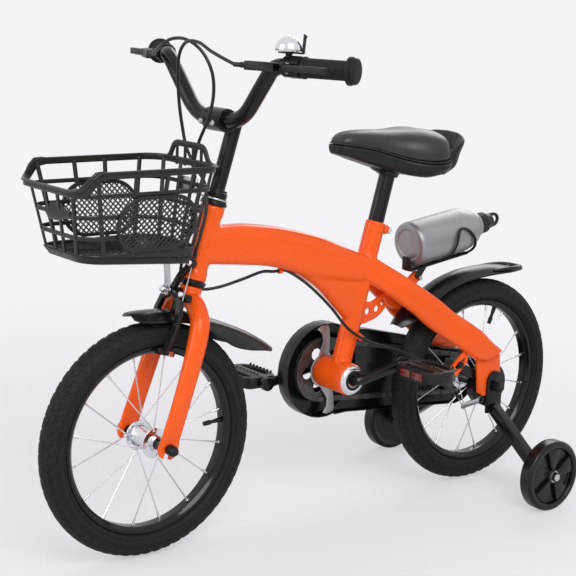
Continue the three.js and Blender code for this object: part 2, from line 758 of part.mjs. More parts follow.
// The grips: ribbed rubber sleeves with a flange and a closed end
function grip(side) {
  const bore = (barRadius + seatGap) / Math.cos(Math.PI / 12);
  const collarWidth = gripFlangeWidth;
  const flangeFrom = gripLength - gripFlangeWidth * 2.5;
  const profile = [
    [0, gripLength - gripEndWall], [bore, gripLength - gripEndWall], [bore, 0], [gripRingRadius, 0],
    [gripRingRadius, collarWidth], [gripRadius, collarWidth + seatGap], [gripRadius, flangeFrom],
    [gripFlangeRadius, flangeFrom], [gripFlangeRadius, flangeFrom + gripFlangeWidth],
    [gripRingRadius * 1.1, flangeFrom + gripFlangeWidth * 1.2],
    [gripFlangeRadius * 0.95, flangeFrom + gripFlangeWidth * 1.5],
    [gripFlangeRadius * 0.9, gripLength], [0, gripLength],
  ];
  return turned(profile, 12, barPoint(side, gripStart), gripAxis(side));
}
part('grip_left', grip(1), gripRubber);
part('grip_right', grip(-1), gripRubber);

// The brake levers: a perch clamped to the bar and a blade that turns on a pin through it
function leverFrame(side) {
  const along = gripAxis(side);
  const ahead = alongZ.clone().cross(along).normalize().multiplyScalar(-side);
  if (ahead.x < 0) ahead.negate();
  const up = along.clone().cross(ahead).normalize();
  if (up.z < 0) up.negate();
  return { along, ahead, up };
}
// The end of the barrel where a brake cable leaves its lever
function adjusterEnd(side) {
  const { along, ahead } = leverFrame(side);
  const inward = perchStart + perchWidth / 2 - leverBodyInboard - perchWidth - adjusterLength;
  return barPoint(side, inward).addScaledVector(ahead, leverReach);
}
function leverPerch(side) {
  const { along, ahead, up } = leverFrame(side);
  const start = barPoint(side, perchStart);
  const ring = collar(barRadius + seatGap, perchRadius, 0, perchWidth, 12, start, along);
  const pivotAt = barPoint(side, perchStart + perchWidth / 2);
  const plane = { at: pivotAt, u: along, v: ahead };
  const inboard = leverBodyInboard + perchWidth;
  const half = leverBodyDepth / 2;
  const body = [
    [-perchWidth / 2, barRadius + rimWall], [perchWidth / 2, barRadius + rimWall],
    [half, leverReach + half], [-inboard, leverReach + half * 0.8], [-inboard, leverReach - half * 0.8],
    [-perchWidth * 0.9, leverReach - half],
  ];
  const flip = Math.sign(along.clone().cross(ahead).dot(up));
  const [low, high] = [-leverBodyHeight / 2, leverBodyHeight / 2].map((value) => value * flip).sort((a, b) => a - b);
  const block = plate(body, plane, low, high);
  const mouth = leverHeight / 2 + runningGap;
  const slot = plate([
    [-perchWidth * 0.75, barRadius + rimWall * 2], [leverBodyDepth, barRadius + rimWall * 2],
    [leverBodyDepth, leverReach + leverBodyDepth], [-perchWidth * 1.4, leverReach + leverBodyDepth],
    [-perchWidth * 1.4, leverReach - half * 0.3],
  ], plane, -mouth, mouth);
  const pinHalf = leverBodyHeight / 2;
  const pinAt = pivotAt.clone().addScaledVector(ahead, leverReach);
  const pin = rod(
    pinAt.clone().addScaledVector(up, -pinHalf), pinAt.clone().addScaledVector(up, pinHalf), leverPivotRadius, 8,
  );
  const barrel = rod(
    pinAt.clone().addScaledVector(along, -inboard + rimWall), adjusterEnd(side), adjusterRadius, 8,
  );
  return join(ring, cut(block, slot), pin, barrel);
}
function leverBlade(side) {
  const { along, ahead } = leverFrame(side);
  const pinAt = barPoint(side, perchStart + perchWidth / 2).addScaledVector(ahead, leverReach);
  const plane = { at: pinAt, u: along, v: ahead };
  const spine = [
    [-perchWidth * 0.6, 0], [0, 0], [leverLength * 0.18, leverDepth * 0.3], [leverLength * 0.4, leverDepth * 0.9],
    [leverLength * 0.75, leverDepth * 1.15], [leverLength, leverDepth * 1.7],
  ];
  const halves = [0.42, 0.62, 0.55, 0.45, 0.42, 0.3].map((share) => share * leverDepth);
  const half = leverHeight / 2;
  const blade = plate(strip(spine, halves), plane, -half, half);
  const bore = plate(circle(0, 0, leverPivotRadius + runningGap, 12), plane, -leverHeight, leverHeight);
  return cut(blade, bore);
}
part('lever_perch_left', leverPerch(1), blackPlastic);
part('lever_perch_right', leverPerch(-1), blackPlastic);
part('brake_lever_left', leverBlade(1), blackPlastic);
part('brake_lever_right', leverBlade(-1), blackPlastic);

// The bell: a band round the bar, a chromed dome on its stalk and a thumb lever
const bellFrame = leverFrame(1);
const bellMiddle = barPoint(1, bellStart + bellBandWidth / 2);
const bellSeat = barRadius + bellStandoff;
const bellAt = (up) => bellMiddle.clone().addScaledVector(bellFrame.up, up);
const bellBand = collar(
  barRadius + seatGap, barRadius + bellWall * 2, 0, bellBandWidth, 12, barPoint(1, bellStart), bellFrame.along,
);
const bellPlate = turned([
  [0, barRadius + bellWall], [bellBandWidth / 2, barRadius + bellWall], [bellBandWidth / 2, bellSeat - bellWall * 2],
  [bellRadius * 0.8, bellSeat - bellWall * 2],
  [bellRadius * 0.8, bellSeat - bellWall], [0, bellSeat - bellWall],
], 12, bellMiddle, bellFrame.up);
const bellStem = rod(bellAt(bellSeat - bellWall * 2), bellAt(bellSeat + bellHeight - bellWall - seatGap), bellStalk, 8);
const bellPinHeight = bellSeat - bellWall * 1.5;
const bellLeverFrom = bellRadius + seatGap * 2;
const bellPin = rod(
  bellAt(bellPinHeight), bellAt(bellPinHeight).addScaledVector(bellFrame.along, bellLeverFrom + bellLeverThickness),
  bellPinRadius, 8,
);
part('bell_base', join(bellBand, bellPlate, bellStem, bellPin), blackPlastic);
const bellPlane = { at: bellAt(bellPinHeight), u: bellFrame.up, v: bellFrame.ahead };
const bellLeverSpine = [
  [0, 0], [bellLeverHeight * 0.45, -bellWall], [bellLeverHeight * 0.8, -bellWall * 2],
  [bellLeverHeight, -bellWall * 3],
];
const bellEye = bellPinRadius * 2.2;
const bellFlip = Math.sign(bellFrame.up.clone().cross(bellFrame.ahead).dot(bellFrame.along));
const bellLeverFaces = [bellLeverFrom, bellLeverFrom + bellLeverThickness]
  .map((value) => value * bellFlip).sort((a, b) => a - b);
part('bell_lever', cut(
  plate(strip(bellLeverSpine, [bellEye, bellEye, bellEye, bellEye * 1.6]), bellPlane, ...bellLeverFaces),
  plate(circle(0, 0, bellPinRadius + runningGap, 8), bellPlane, -bellRadius * 2, bellRadius * 2),
), blackPlastic);
part('bell_dome', turned([
  [0, bellHeight - bellWall], [bellRadius * 0.6, bellHeight - bellWall], [bellRadius * 0.88, bellHeight * 0.62],
  [bellRadius - bellWall, bellHeight * 0.1], [bellRadius - bellWall, 0], [bellRadius, 0],
  [bellRadius, bellHeight * 0.15], [bellRadius * 0.95, bellHeight * 0.7], [bellRadius * 0.62, bellHeight],
  [0, bellHeight],
], 16, bellAt(bellSeat), bellFrame.up), brightSteel);

// The front brake: two arms on one bolt, each with a block beside the rim

const calliperPlane = (ahead) => ({ at: steerPoint(calliperHeight, ahead), u: alongY, v: steerUp });
const blockSide = rimWidth / 2 + calliperPadClearance;
const armShares = [
  // side, as shares of the span, and drop, as shares of the reach
  [0, 0], [0.42, -0.04], [0.82, -0.14], [1, -0.35], [1, -0.64], [0.85, -0.88], [0.76, -1],
];
const armHalf = 4.5;
const armSpine = armShares.map(([side, drop]) => [side * calliperSpan, drop * calliperReach]);
const boltBore = (calliperBoltRadius + runningGap) / Math.cos(Math.PI / 10);
function calliperBlock(side) {
  const near = side * blockSide;
  const far = side * (blockSide + calliperPadThickness);
  const outline = [
    [-calliperPadLength / 2, -calliperPadHeight / 2], [calliperPadLength / 2, -calliperPadHeight / 2],
    [calliperPadLength / 2, calliperPadHeight / 2], [-calliperPadLength / 2, calliperPadHeight / 2],
  ];
  const ahead = calliperForward + calliperArmThickness;
  const plane = { at: steerPoint(calliperHeight - calliperReach, ahead), u: steerAhead, v: steerUp };
  return plate(outline, plane, -Math.max(near, far), -Math.min(near, far));
}
function calliperArm(side, ahead, cableEnd) {
  const plane = calliperPlane(ahead);
  const spine = armSpine.map(([across, up]) => [side * across, up]);
  const bent = plate(strip(spine, armHalf), plane, 0, calliperArmThickness);
  const boss = plate(circle(0, 0, armHalf * 1.6, 10), plane, 0, calliperArmThickness);
  const toCable = plate(strip([[0, 0], ...cableEnd], armHalf), plane, 0, calliperArmThickness);
  const last = cableEnd[cableEnd.length - 1];
  const eye = plate(circle(last[0], last[1], armHalf * 1.3, 10), plane, 0, calliperArmThickness);
  const bore = plate(circle(0, 0, boltBore, 10), plane, -cutOverrun, calliperArmThickness + cutOverrun);
  return cut(join(bent, boss, toCable, eye, calliperBlock(side)), bore);
}
const cableLow = [[calliperCableSide * 0.55, -armHalf * 0.6], [calliperCableSide * 0.9, -armHalf]];
const cableHigh = [[calliperCableSide * 0.35, calliperReach * 0.3], [calliperCableSide * 0.9, calliperReach * 0.53]];
const armFront = calliperForward + calliperArmThickness + seatGap;
const wireAhead = armFront + calliperArmThickness / 2;
const wireSide = cableHigh[1][0];
const highEnd = calliperHeight + cableHigh[1][1];
const wirePassage = rod(
  steerPoint(highEnd - armHalf * 3, wireAhead, wireSide), steerPoint(highEnd + armHalf * 3, wireAhead, wireSide),
  wireRadius * 3, 8,
);
part('calliper_arm_left', cut(calliperArm(1, armFront, cableHigh), wirePassage), blackPaint);
part('calliper_arm_right', calliperArm(-1, calliperForward, cableLow), blackPaint);

const armsAhead = calliperForward + calliperArmThickness * 2 + seatGap * 2;
const fenderTabFace = crownRadius + seatGap;
const fenderTabBack = fenderTabFace + fenderWall;
const calliperNutLength = 5;
const boltThread = calliperBoltRadius;
const boltCollar = calliperBoltRadius * 2;
part('calliper_bolt', turned([
  [0, fenderTabFace], [boltThread, fenderTabFace], [boltThread, fenderTabBack + seatGap],
  [boltCollar, fenderTabBack + seatGap], [boltCollar, calliperForward - seatGap],
  [boltThread, calliperForward - seatGap], [boltThread, armsAhead],
  [boltCollar, armsAhead], [boltCollar, armsAhead + calliperNutLength], [boltThread, armsAhead + calliperNutLength],
  [boltThread, calliperBoltEnd - calliperNutLength], [boltCollar * 0.9, calliperBoltEnd - calliperNutLength],
  [boltCollar * 0.9, calliperBoltEnd], [0, calliperBoltEnd],
], 10, steerPoint(calliperHeight), steerAhead), brightSteel);

// The fenders: thin arched blades that follow the tyres

function fender(axleAt, radius, stations) {
  const columns = [-1, -0.6, 0, 0.6, 1];
  const rings = stations.map(([angle, radiusShare, widthShare, crownShare]) => {
    const out = vec(Math.cos(angle * degree), 0, Math.sin(angle * degree));
    const corner = (across, depth) => {
      const fall = fenderCrown * crownShare * across * across;
      return axleAt.clone().addScaledVector(out, radius * radiusShare - fall - depth)
        .setY(across * fenderHalfWidth * widthShare);
    };
    const under = columns.slice().reverse().map((across) => corner(across, fenderWall));
    return [...columns.map((across) => corner(across, 0)), ...under];
  });
  return loft(rings);
}
const frontFenderShares = [
  // angle, then radius, width and crown shares
  [79, 0.992, 0.62, 0.5], [82, 0.988, 0.92, 0.8], [90, 0.978, 1, 1], [100, 0.978, 1, 1], [110, 0.986, 1, 1],
  [120, 1.005, 1, 1.05], [129, 1.045, 1.02, 1.2], [137, 1.1, 1.05, 1.4], [145, 1.17, 0.9, 1.1],
  [153, 1.25, 0.55, 0.4],
];
const fenderTabHalf = 8;
const fenderTab = plate([
  [-fenderTabHalf, frontFenderRadius * 0.985 - fenderWall - calliperHeight],
  [fenderTabHalf, frontFenderRadius * 0.985 - fenderWall - calliperHeight],
  ...arc(0, 0, fenderTabHalf, 0, 180, 6),
], calliperPlane(fenderTabFace), 0, fenderWall, [circle(0, 0, calliperBoltRadius + seatGap * 2, 10)]);
part('front_fender', join(fender(frontAxle, frontFenderRadius, frontFenderShares), fenderTab), glossPlastic);

const bridgeShare = [0.305, 0.02];
const bridgeRadius = 8;
const fenderLugRadius = 6.4;
const bridgeAt = stayPlace(bridgeShare[0], bridgeShare[1]);
const bridgeAngle = Math.atan2(bridgeAt.z - rearAxle.z, bridgeAt.x - rearAxle.x) / degree;
const bridgeReach = Math.hypot(bridgeAt.z - rearAxle.z, bridgeAt.x - rearAxle.x);
const rearFenderShares = [
  [32, 1.09, 0.5, 0.6], [36, 1.075, 0.85, 1], [44, 1.045, 1, 1], [54, 1.015, 1, 1], [64, 1, 1, 1],
  [75, 0.985, 1, 1], [87, 0.975, 1, 1], [98, 0.985, 1, 0.9], [107, 1, 1, 0.6], [114, 1.02, 0.8, 0.2], [118, 1.03, 0.45, 0],
];
const bridgeAim = vec(Math.cos(bridgeAngle * degree), 0, Math.sin(bridgeAngle * degree));
const lugRod = (end, radius) => rod(
  rearAxle.clone().addScaledVector(bridgeAim, rearFenderRadius * 1.03),
  rearAxle.clone().addScaledVector(bridgeAim, end), radius, 10,
);
const fenderLug = lugRod(bridgeReach - bridgeRadius - seatGap, fenderLugRadius);
const lugSpace = lugRod(bridgeReach - bridgeRadius, fenderLugRadius + seatGap * 1.5);
part('rear_fender', join(fender(rearAxle, rearFenderRadius, rearFenderShares), fenderLug), glossPlastic);

// The frame: head tube, arched main beam, gusset, seat tube, crank shell and two deep stays

const beamTopShares = [
  [-0.067, 0.222], [-0.041, 0.242], [0.08, 0.322], [0.178, 0.371], [0.283, 0.417], [0.393, 0.456],
  [0.51, 0.495], [0.632, 0.526], [0.737, 0.555], [0.815, 0.573],
];
const beamLowShares = [
  [-0.013, 0.093], [0.017, 0.105], [0.175, 0.188], [0.294, 0.256], [0.403, 0.297], [0.498, 0.315],
  [0.603, 0.349], [0.717, 0.393], [0.815, 0.434], [0.875, 0.455],
];
function bandRing(top, low, y, half, round, cornerSteps) {
  const centre = top.clone().add(low).multiplyScalar(0.5).setY(y);
  const up = top.clone().sub(low);
  const halfUp = up.length() / 2;
  return roundedRing(centre, up.normalize(), alongY, halfUp, half, round, cornerSteps);
}
const beam = loft(beamTopShares.map((top, i) => bandRing(
  beamPlace(...top), beamPlace(...beamLowShares[i]), 0, beamHalfWidth, beamHalfWidth * 0.75, 2,
)));
const gussetShares = [
  [0.454, 0.33], [0.499, 0.312], [0.56, 0.309], [0.633, 0.311], [0.7, 0.302], [0.778, 0.285], [0.86, 0.264],
  [0.926, 0.243], [0.975, 0.225], [0.918, 0.334], [0.854, 0.48], [0.623, 0.429],
];
const gussetOutline = flat(gussetShares.map((share) => beamPlace(...share)));
const gusset = sidePlate(gussetOutline, -gussetHalfWidth, gussetHalfWidth);
const seatTube = rod(seatPoint(bracketRadius * 0.5), seatPoint(seatTubeLength), seatTubeRadius, 16);
const seatHollow = rod(seatPoint(seatTubeSolid), seatPoint(seatTubeLength + cutOverrun), seatTubeBore, 16);
const shell = rod(bracket.clone().setY(-bracketWidth / 2), bracket.clone().setY(bracketWidth / 2), bracketRadius, 20);
const shellHollow = rod(bracket.clone().setY(-bracketWidth), bracket.clone().setY(bracketWidth), bracketBore, 20);
const headTube = rod(steerPoint(headTubeFoot), steerPoint(headTop), headTubeRadius, 16);
const headHollow = rod(
  steerPoint(headTubeFoot - cutOverrun), steerPoint(headTop + cutOverrun), headTubeBore / Math.cos(Math.PI / 16), 16,
);
const clampHeight = seatTubeLength - clampBossRadius;
const clampBoss = rod(seatPoint(clampHeight, 0), seatPoint(clampHeight, -clampBossReach), clampBossRadius, 12);
const clampBolted = rod(
  seatPoint(clampHeight, -seatTubeBore), seatPoint(clampHeight, -clampBossReach - cutOverrun),
  clampBoltRadius + seatGap, 12,
);

const stayTopShares = [
  [-0.015, -0.008], [0.037, 0.005], [0.135, 0.03], [0.231, 0.052], [0.324, 0.069], [0.419, 0.084],
  [0.522, 0.095], [0.627, 0.116], [0.726, 0.131], [0.81, 0.136], [0.9, 0.15],
];
const stayLowShares = [
  [0.053, -0.121], [0.095, -0.105], [0.171, -0.091], [0.258, -0.064], [0.345, -0.04], [0.427, -0.037],
  [0.528, -0.028], [0.619, -0.017], [0.708, -0.008], [0.786, 0.007], [0.84, 0.04],
];
const staySideShares = [0.17, 0.27, 0.42, 0.56, 0.68, 0.77, 0.86, 0.97, 1.04, 1.07, 1.07];
const dropoutMiddle = dropoutInner + dropoutThickness / 2;
const stay = loftGeometry(stayTopShares.map((top, i) => bandRing(
  stayPlace(...top), stayPlace(...stayLowShares[i]), staySideShares[i] * dropoutMiddle,
  stayWidth / 2, stayWidth * 0.3, 1,
)));
const dropoutHalf = 25;
const slotHalf = axleRadius + runningGap;
const dropout = sidePlateGeometry([
  [rearAxle.x + dropoutHalf * 1.7, rearAxle.z + dropoutHalf * 2],
  [rearAxle.x - dropoutHalf * 0.4, rearAxle.z + dropoutHalf * 2.5],
  [rearAxle.x - dropoutHalf * 0.7, rearAxle.z + slotHalf], [rearAxle.x, rearAxle.z + slotHalf],
  ...arc(rearAxle.x, rearAxle.z, slotHalf, 90, -90, 6), [rearAxle.x - dropoutHalf * 0.6, rearAxle.z - slotHalf],
  [rearAxle.x - dropoutHalf * 0.4, rearAxle.z - dropoutHalf * 0.6],
  [rearAxle.x + dropoutHalf * 0.9, rearAxle.z - dropoutHalf * 0.6],
  [rearAxle.x + dropoutHalf * 1.4, rearAxle.z - dropoutHalf * 0.3],
], dropoutInner, dropoutInner + dropoutThickness);

const centrePlateShares = [
  [0.1, -0.26], [0.118, -0.187], [0.187, -0.149], [0.221, -0.067], [0.242, 0.0], [0.33, 0.02], [0.353, -0.03],
  [0.353, -0.061], [0.319, -0.085], [0.276, -0.095], [0.275, -0.148], [0.264, -0.187], [0.233, -0.238],
  [0.201, -0.281], [0.166, -0.303], [0.13, -0.33],
];
const centreHoleShares = [[0.201, -0.193], [0.237, -0.15], [0.245, -0.103]];
const centreHoleRadius = 5.2;
const centrePlate = sidePlate(
  flat(centrePlateShares.map((share) => stayPlace(...share))),
  -centrePlateThickness / 2, centrePlateThickness / 2,
  centreHoleShares.map((share) => {
    const at = stayPlace(...share);
    return circle(at.x, at.z, centreHoleRadius, 8);
  }),
);
const bridgeHalf = staySideShares[4] * dropoutMiddle;
const bridge = rod(bridgeAt.clone().setY(-bridgeHalf), bridgeAt.clone().setY(bridgeHalf), bridgeRadius, 8);

// The slotted ring that holds the brake's torque arm, on the left stay only
const ringShare = [0.735, -0.068];
const ringHalfLength = 19;
const ringHalfWidth = 9;
const ringSlotHalf = 3.6;
const ringTilt = -42;
const ringAt = stayPlace(...ringShare);
function oval(half, round, at, tilt) {
  const run = half - round;
  const points = [...arc(run, 0, round, -90, 90, 4), ...arc(-run, 0, round, 90, 270, 4)];
  const [c, s] = [Math.cos(tilt * degree), Math.sin(tilt * degree)];
  return points.map(([u, v]) => [at.x + u * c - v * s, at.z + u * s + v * c]);
}
const ringStem = stayPlace(ringShare[0] - 0.01, 0.01);
const ringFoot = [ringAt.x + ringHalfWidth * 0.55, ringAt.z + ringHalfWidth * 0.75];
const ringOuter = dropoutInner + ringPlateThickness;
const ringPlate = join(
  sidePlate(
    oval(ringHalfLength, ringHalfWidth, ringAt, 180 + ringTilt), dropoutInner, ringOuter,
    [oval(ringHalfLength - ringHalfWidth + ringSlotHalf, ringSlotHalf, ringAt, 180 + ringTilt)],
  ),
  sidePlate(strip([ringFoot, [ringStem.x, ringStem.z]], ringHalfWidth * 0.5), dropoutInner, ringOuter),
);

// The upright ear that carries the bottle cage
const earShare = [0.318, 0.09];
const earHalf = 9;
const earThickness = 6;
const earHole = 3.2;
const earAt = stayPlace(...earShare);
const earPlate = cut(
  sidePlate(strip(flat([bridgeAt, earAt]), earHalf), -earThickness / 2, earThickness / 2),
  sidePlate(circle(earAt.x, earAt.z - earHalf * 0.6, earHole, 8), -earThickness, earThickness),
);

// The cable stop on the seat tube
const stopAt = seatPoint(seatTubeLength * 0.27, -seatTubeRadius * 0.6, seatTubeRadius + cableStopRadius * 0.3);
const stopAim = vec(0.83, 0.1, 0.55).normalize();
const cableStop = rod(
  stopAt.clone().addScaledVector(stopAim, -cableStopRadius), stopAt.clone().addScaledVector(stopAim, cableStopRadius),
  cableStopRadius, 8,
);
const clipShare = [0.375, 0.289];
const clipAt = beamPlace(...clipShare);
const clipCentre = clipAt.clone().setZ(clipAt.z - cableClipDrop);
const clipAim = vec(-1, 0, -0.02).normalize();
const cableClip = collar(
  cableRadius + seatGap * 2, cableClipRadius, -cableClipRadius * 0.6, cableClipRadius * 0.6, 8,
  clipCentre, clipAim,
);
const [clipBack, clipFront] = [-0.6, 0.6].map((share) => clipCentre.x + share * cableClipRadius);
const clipStem = sidePlate([
  [clipBack, clipCentre.z + cableRadius + seatGap * 3], [clipFront, clipCentre.z + cableRadius + seatGap * 3],
  [clipFront, clipAt.z + cableClipRadius], [clipBack, clipAt.z + cableClipRadius],
], -cableClipRadius * 0.5, cableClipRadius * 0.5);

const frameBody = join(
  headTube, beam, gusset, seatTube, shell, clampBoss, solid(stay), solid(mirrored(stay)), solid(dropout),
  solid(mirrored(dropout)), centrePlate, bridge, ringPlate, earPlate, cableStop, cableClip, clipStem,
);
part('frame', cut(frameBody, headHollow, seatHollow, shellHollow, clampBolted, lugSpace), orangePaint);

const clampBoltHead = 6;
part('seat_clamp_bolt', turned([
  [0, seatTubeBore + rimWall], [clampBoltRadius, seatTubeBore + rimWall], [clampBoltRadius, clampBossReach + seatGap],
  [clampBossRadius * 0.85, clampBossReach + seatGap], [clampBossRadius * 0.85, clampBossReach + clampBoltHead],
  [0, clampBossReach + clampBoltHead],
], 6, seatPoint(clampHeight), seatAhead.clone().negate()), brightSteel);

// The crank: one bar bent twice, with its bearing cups, chainring and pedal axles

function bottomCup(side, flangeFrom, flangeTo) {
  const clear = bracketBore * Math.cos(Math.PI / 20) - seatGap;
  const bore = spindleRadius * 1.25;
  return turned([
    [bore, bracketWidth / 2 - cupInsert], [clear, bracketWidth / 2 - cupInsert], [clear, flangeFrom], [cupRadius, flangeFrom],
    [cupRadius * 0.85, flangeTo], [bore, flangeTo],
    [bore, bracketWidth / 2 - cupInsert],
  ], 20, bracket, alongY.clone().multiplyScalar(side));
}
const shellFace = bracketWidth / 2;
const bracketPlateFace = shellFace + seatGap;
const rightCupFace = bracketPlateFace + guardBracketThickness + seatGap;
part('bottom_bracket_cup_left', bottomCup(1, shellFace + seatGap, shellFace + seatGap + cupFlange), brightSteel);
part('bottom_bracket_cup_right', bottomCup(
  -1, rightCupFace, -chainLine - chainringThickness / 2 - runningGap,
), brightSteel);

const crankAim = vec(Math.cos(crankAngle * degree), 0, -Math.sin(crankAngle * degree));
const crankFlat = crankAim.clone().cross(alongY).normalize();
const crankPlace = (reach, y) => bracket.clone().addScaledVector(crankAim, reach).setY(y);
const crankBend = 14;
const crankRoute = new Route([
  crankPlace(crankArmLength, crankLeftInner + crankArmThickness / 2), crankPlace(crankArmLength * 0.3, crankLeftInner),
  crankPlace(0, crankLeftInner), crankPlace(0, -crankRightInner), crankPlace(-crankArmLength * 0.3, -crankRightInner),
  crankPlace(-crankArmLength, -crankRightInner - crankArmThickness / 2),
], [crankBend * 0.5, crankBend, crankBend, crankBend * 0.5], 2);
const crankStations = crankRoute.stations;
const reachOf = (point) => Math.abs(point.clone().sub(bracket).dot(crankAim)) / crankArmLength;
const crankBar = solid(ovalBar(
  crankStations, crankFlat,
  crankStations.map((point) => spindleRadius + (crankArmWidth / 2 - spindleRadius) * reachOf(point)),
  crankStations.map((point) => spindleRadius + (crankArmThickness / 2 - spindleRadius) * Math.min(reachOf(point) * 2, 1)),
  10,
));
const crankEyeRadius = 11;
function crankEye(side) {
  const inner = side > 0 ? crankLeftInner : crankRightInner;
  const at = crankPlace(side * crankArmLength, 0);
  const eye = rod(at.clone().setY(side * inner), at.clone().setY(side * (inner + crankArmThickness)), crankEyeRadius, 12);
  const pedalAxle = rod(
    at.clone().setY(side * (inner + crankArmThickness / 2)),
    at.clone().setY(side * (inner + crankArmThickness + pedalGap + pedalWidth * 0.9)), pedalAxleRadius, 10,
  );
  return join(eye, pedalAxle);
}
part('crank', join(crankBar, crankEye(1), crankEye(-1)), blackPaint);

// Points of a toothed wheel round an axis
function toothedOutline(teeth, at, phase) {
  const pitchRadius = chainPitch / 2 / Math.sin(Math.PI / teeth);
  const points = [];
  const toothShares = [[-0.5, 0], [-0.14, 1], [0.14, 1]];
  for (let i = 0; i < teeth; i++) {
    for (const [turnShare, heightShare] of toothShares) {
      const angle = (i + turnShare + phase) / teeth * 360 * degree;
      const radius = pitchRadius - toothHeight + heightShare * toothHeight * 1.7;
      points.push([at.x + radius * Math.cos(angle), at.z + radius * Math.sin(angle)]);
    }
  }
  return points;
}
const pitchRadiusOf = (teeth) => chainPitch / 2 / Math.sin(Math.PI / teeth);
const chainringPitchRadius = pitchRadiusOf(chainringTeeth);
const sprocketPitchRadius = pitchRadiusOf(sprocketTeeth);
const windowInner = chainringPitchRadius * 0.42;
const windowOuter = chainringPitchRadius * 0.78;
const chainringWindows = Array.from({ length: 5 }, (_, i) => {
  const start = i * 72 + 14;
  return [
    ...arc(bracket.x, bracket.z, windowOuter, start, start + 44, 3),
    ...arc(bracket.x, bracket.z, windowInner, start + 38, start + 6, 2),
  ];
});
const chainringFrom = chainLine - chainringThickness / 2;
const spindleBore = (spindleRadius + seatGap) / Math.cos(Math.PI / 20);
part('chainring', sidePlate(
  toothedOutline(chainringTeeth, bracket, 0.5), chainringFrom, chainringFrom + chainringThickness,
  [circle(bracket.x, bracket.z, spindleBore, 20), ...chainringWindows],
), chainSteel);
const sprocketBore = (hubNeckRadius + seatGap) / Math.cos(Math.PI / 20);
part('sprocket', sidePlate(
  toothedOutline(sprocketTeeth, middle, 0.5), chainringFrom, chainringFrom + chainringThickness,
  [circle(0, 0, sprocketBore, 20)],
), chainSteel, rearWheel);

// The chain: a closed run round both toothed wheels, with a step at each link on the bends
function chainStations() {
  const run = rearAxle.clone().sub(bracket);
  const heading = Math.atan2(run.z, run.x) / degree;
  const tilt = Math.asin((chainringPitchRadius - sprocketPitchRadius) / run.length()) / degree;
  const bend = (centre, radius, from, sweep, teeth) => {
    const steps = Math.round(Math.abs(sweep) / 360 * teeth);
    return Array.from({ length: steps + 1 }, (_, i) => {
      const angle = (from + sweep * i / steps) * degree;
      const out = vec(Math.cos(angle), 0, Math.sin(angle));
      return { at: centre.clone().addScaledVector(out, radius), out };
    });
  };
  return [
    ...bend(rearAxle, sprocketPitchRadius, heading - 90 + tilt, 180 - tilt * 2, sprocketTeeth),
    ...bend(bracket, chainringPitchRadius, heading + 90 - tilt, 180 + tilt * 2, chainringTeeth),
  ];
}
function chain() {
  const inner = chainWidth / 2 - chainPlate;
  const outer = chainWidth / 2;
  const half = chainPlateHeight / 2;
  const webInner = toothHeight + runningGap;
  const web = webInner + chainWebThickness;
  const section = [
    [-half, outer], [web, outer], [web, -outer], [-half, -outer], [-half, -inner], [webInner, -inner],
    [webInner, inner], [-half, inner],
  ];
  const corners = [];
  const faces = [];
  const stations = chainStations();
  stations.forEach(({ at, out }) => {
    section.forEach(([rise, side]) => {
      const corner = at.clone().addScaledVector(out, rise).setY(chainLine + side);
      corners.push(corner.x, corner.y, corner.z);
    });
  });
  const count = section.length;
  stations.forEach((_, r) => {
    const nextRing = (r + 1) % stations.length;
    for (let i = 0; i < count; i++) {
      const next = (i + 1) % count;
      const [a, b, c, d] = [r * count + i, r * count + next, nextRing * count + i, nextRing * count + next];
      faces.push(a, b, d, a, d, c);
    }
  });
  const geometry = new THREE.BufferGeometry();
  geometry.setAttribute('position', new THREE.Float32BufferAttribute(corners, 3));
  geometry.setIndex(faces);
  return solid(geometry);
}
part('chain', chain(), chainSteel);

// The chain guard: a drum round the chainring with a tapering case back to the hub, open inwards
const guardTailOuter = dropoutInner - seatGap * 6;
const guardPlace = spanPlacer(bracket, rearAxle);
const guardTopShares = [
  [0.1, 0.235], [0.27, 0.235], [0.553, 0.211], [0.665, 0.198], [0.76, 0.168], [0.847, 0.148], [1, 0.152],
];
const guardLowShares = [[1, -0.178], [0.9, -0.182], [0.2, -0.225], [0.12, -0.24]];
function guardOutline(inset) {
  const top = guardTopShares.map(([along, above]) => guardPlace(along, above - inset));
  const low = guardLowShares.map(([along, above]) => guardPlace(along, above + inset));
  const last = top[top.length - 1];
  const rear = arc(rearAxle.x, (last.z + low[0].z) / 2, (last.z - low[0].z) / 2, 90, 270, 8);
  return [...flat([bracket, ...top.slice(0, -1)]), ...rear, ...flat(low.slice(1))];
}
const guardInset = guardWall / bracketForward;
const guardBody = join(
  sidePlate(circle(bracket.x, bracket.z, guardRadius, 30), guardOuter, guardInner),
  sidePlate(guardOutline(0), -guardTailOuter, guardInner),
);
const guardHollow = join(
  sidePlate(circle(bracket.x, bracket.z, guardRadius - guardWall, 30), guardOuter + guardWall, guardInner + cutOverrun),
  sidePlate(guardOutline(guardInset), -guardTailOuter + guardWall, guardInner + cutOverrun),
);
const guardWindow = sidePlate(
  circle(bracket.x, bracket.z, guardOpening, 20), guardOuter - cutOverrun, guardOuter + guardWall + cutOverrun,
);
const guardAxleHole = sidePlate(
  circle(rearAxle.x, rearAxle.z, coneRadius * 1.3, 14), -dropoutInner - cutOverrun, -guardTailOuter + guardWall + cutOverrun,
);
part('chain_guard', cut(guardBody, guardHollow, guardWindow, guardAxleHole), glossPlastic);

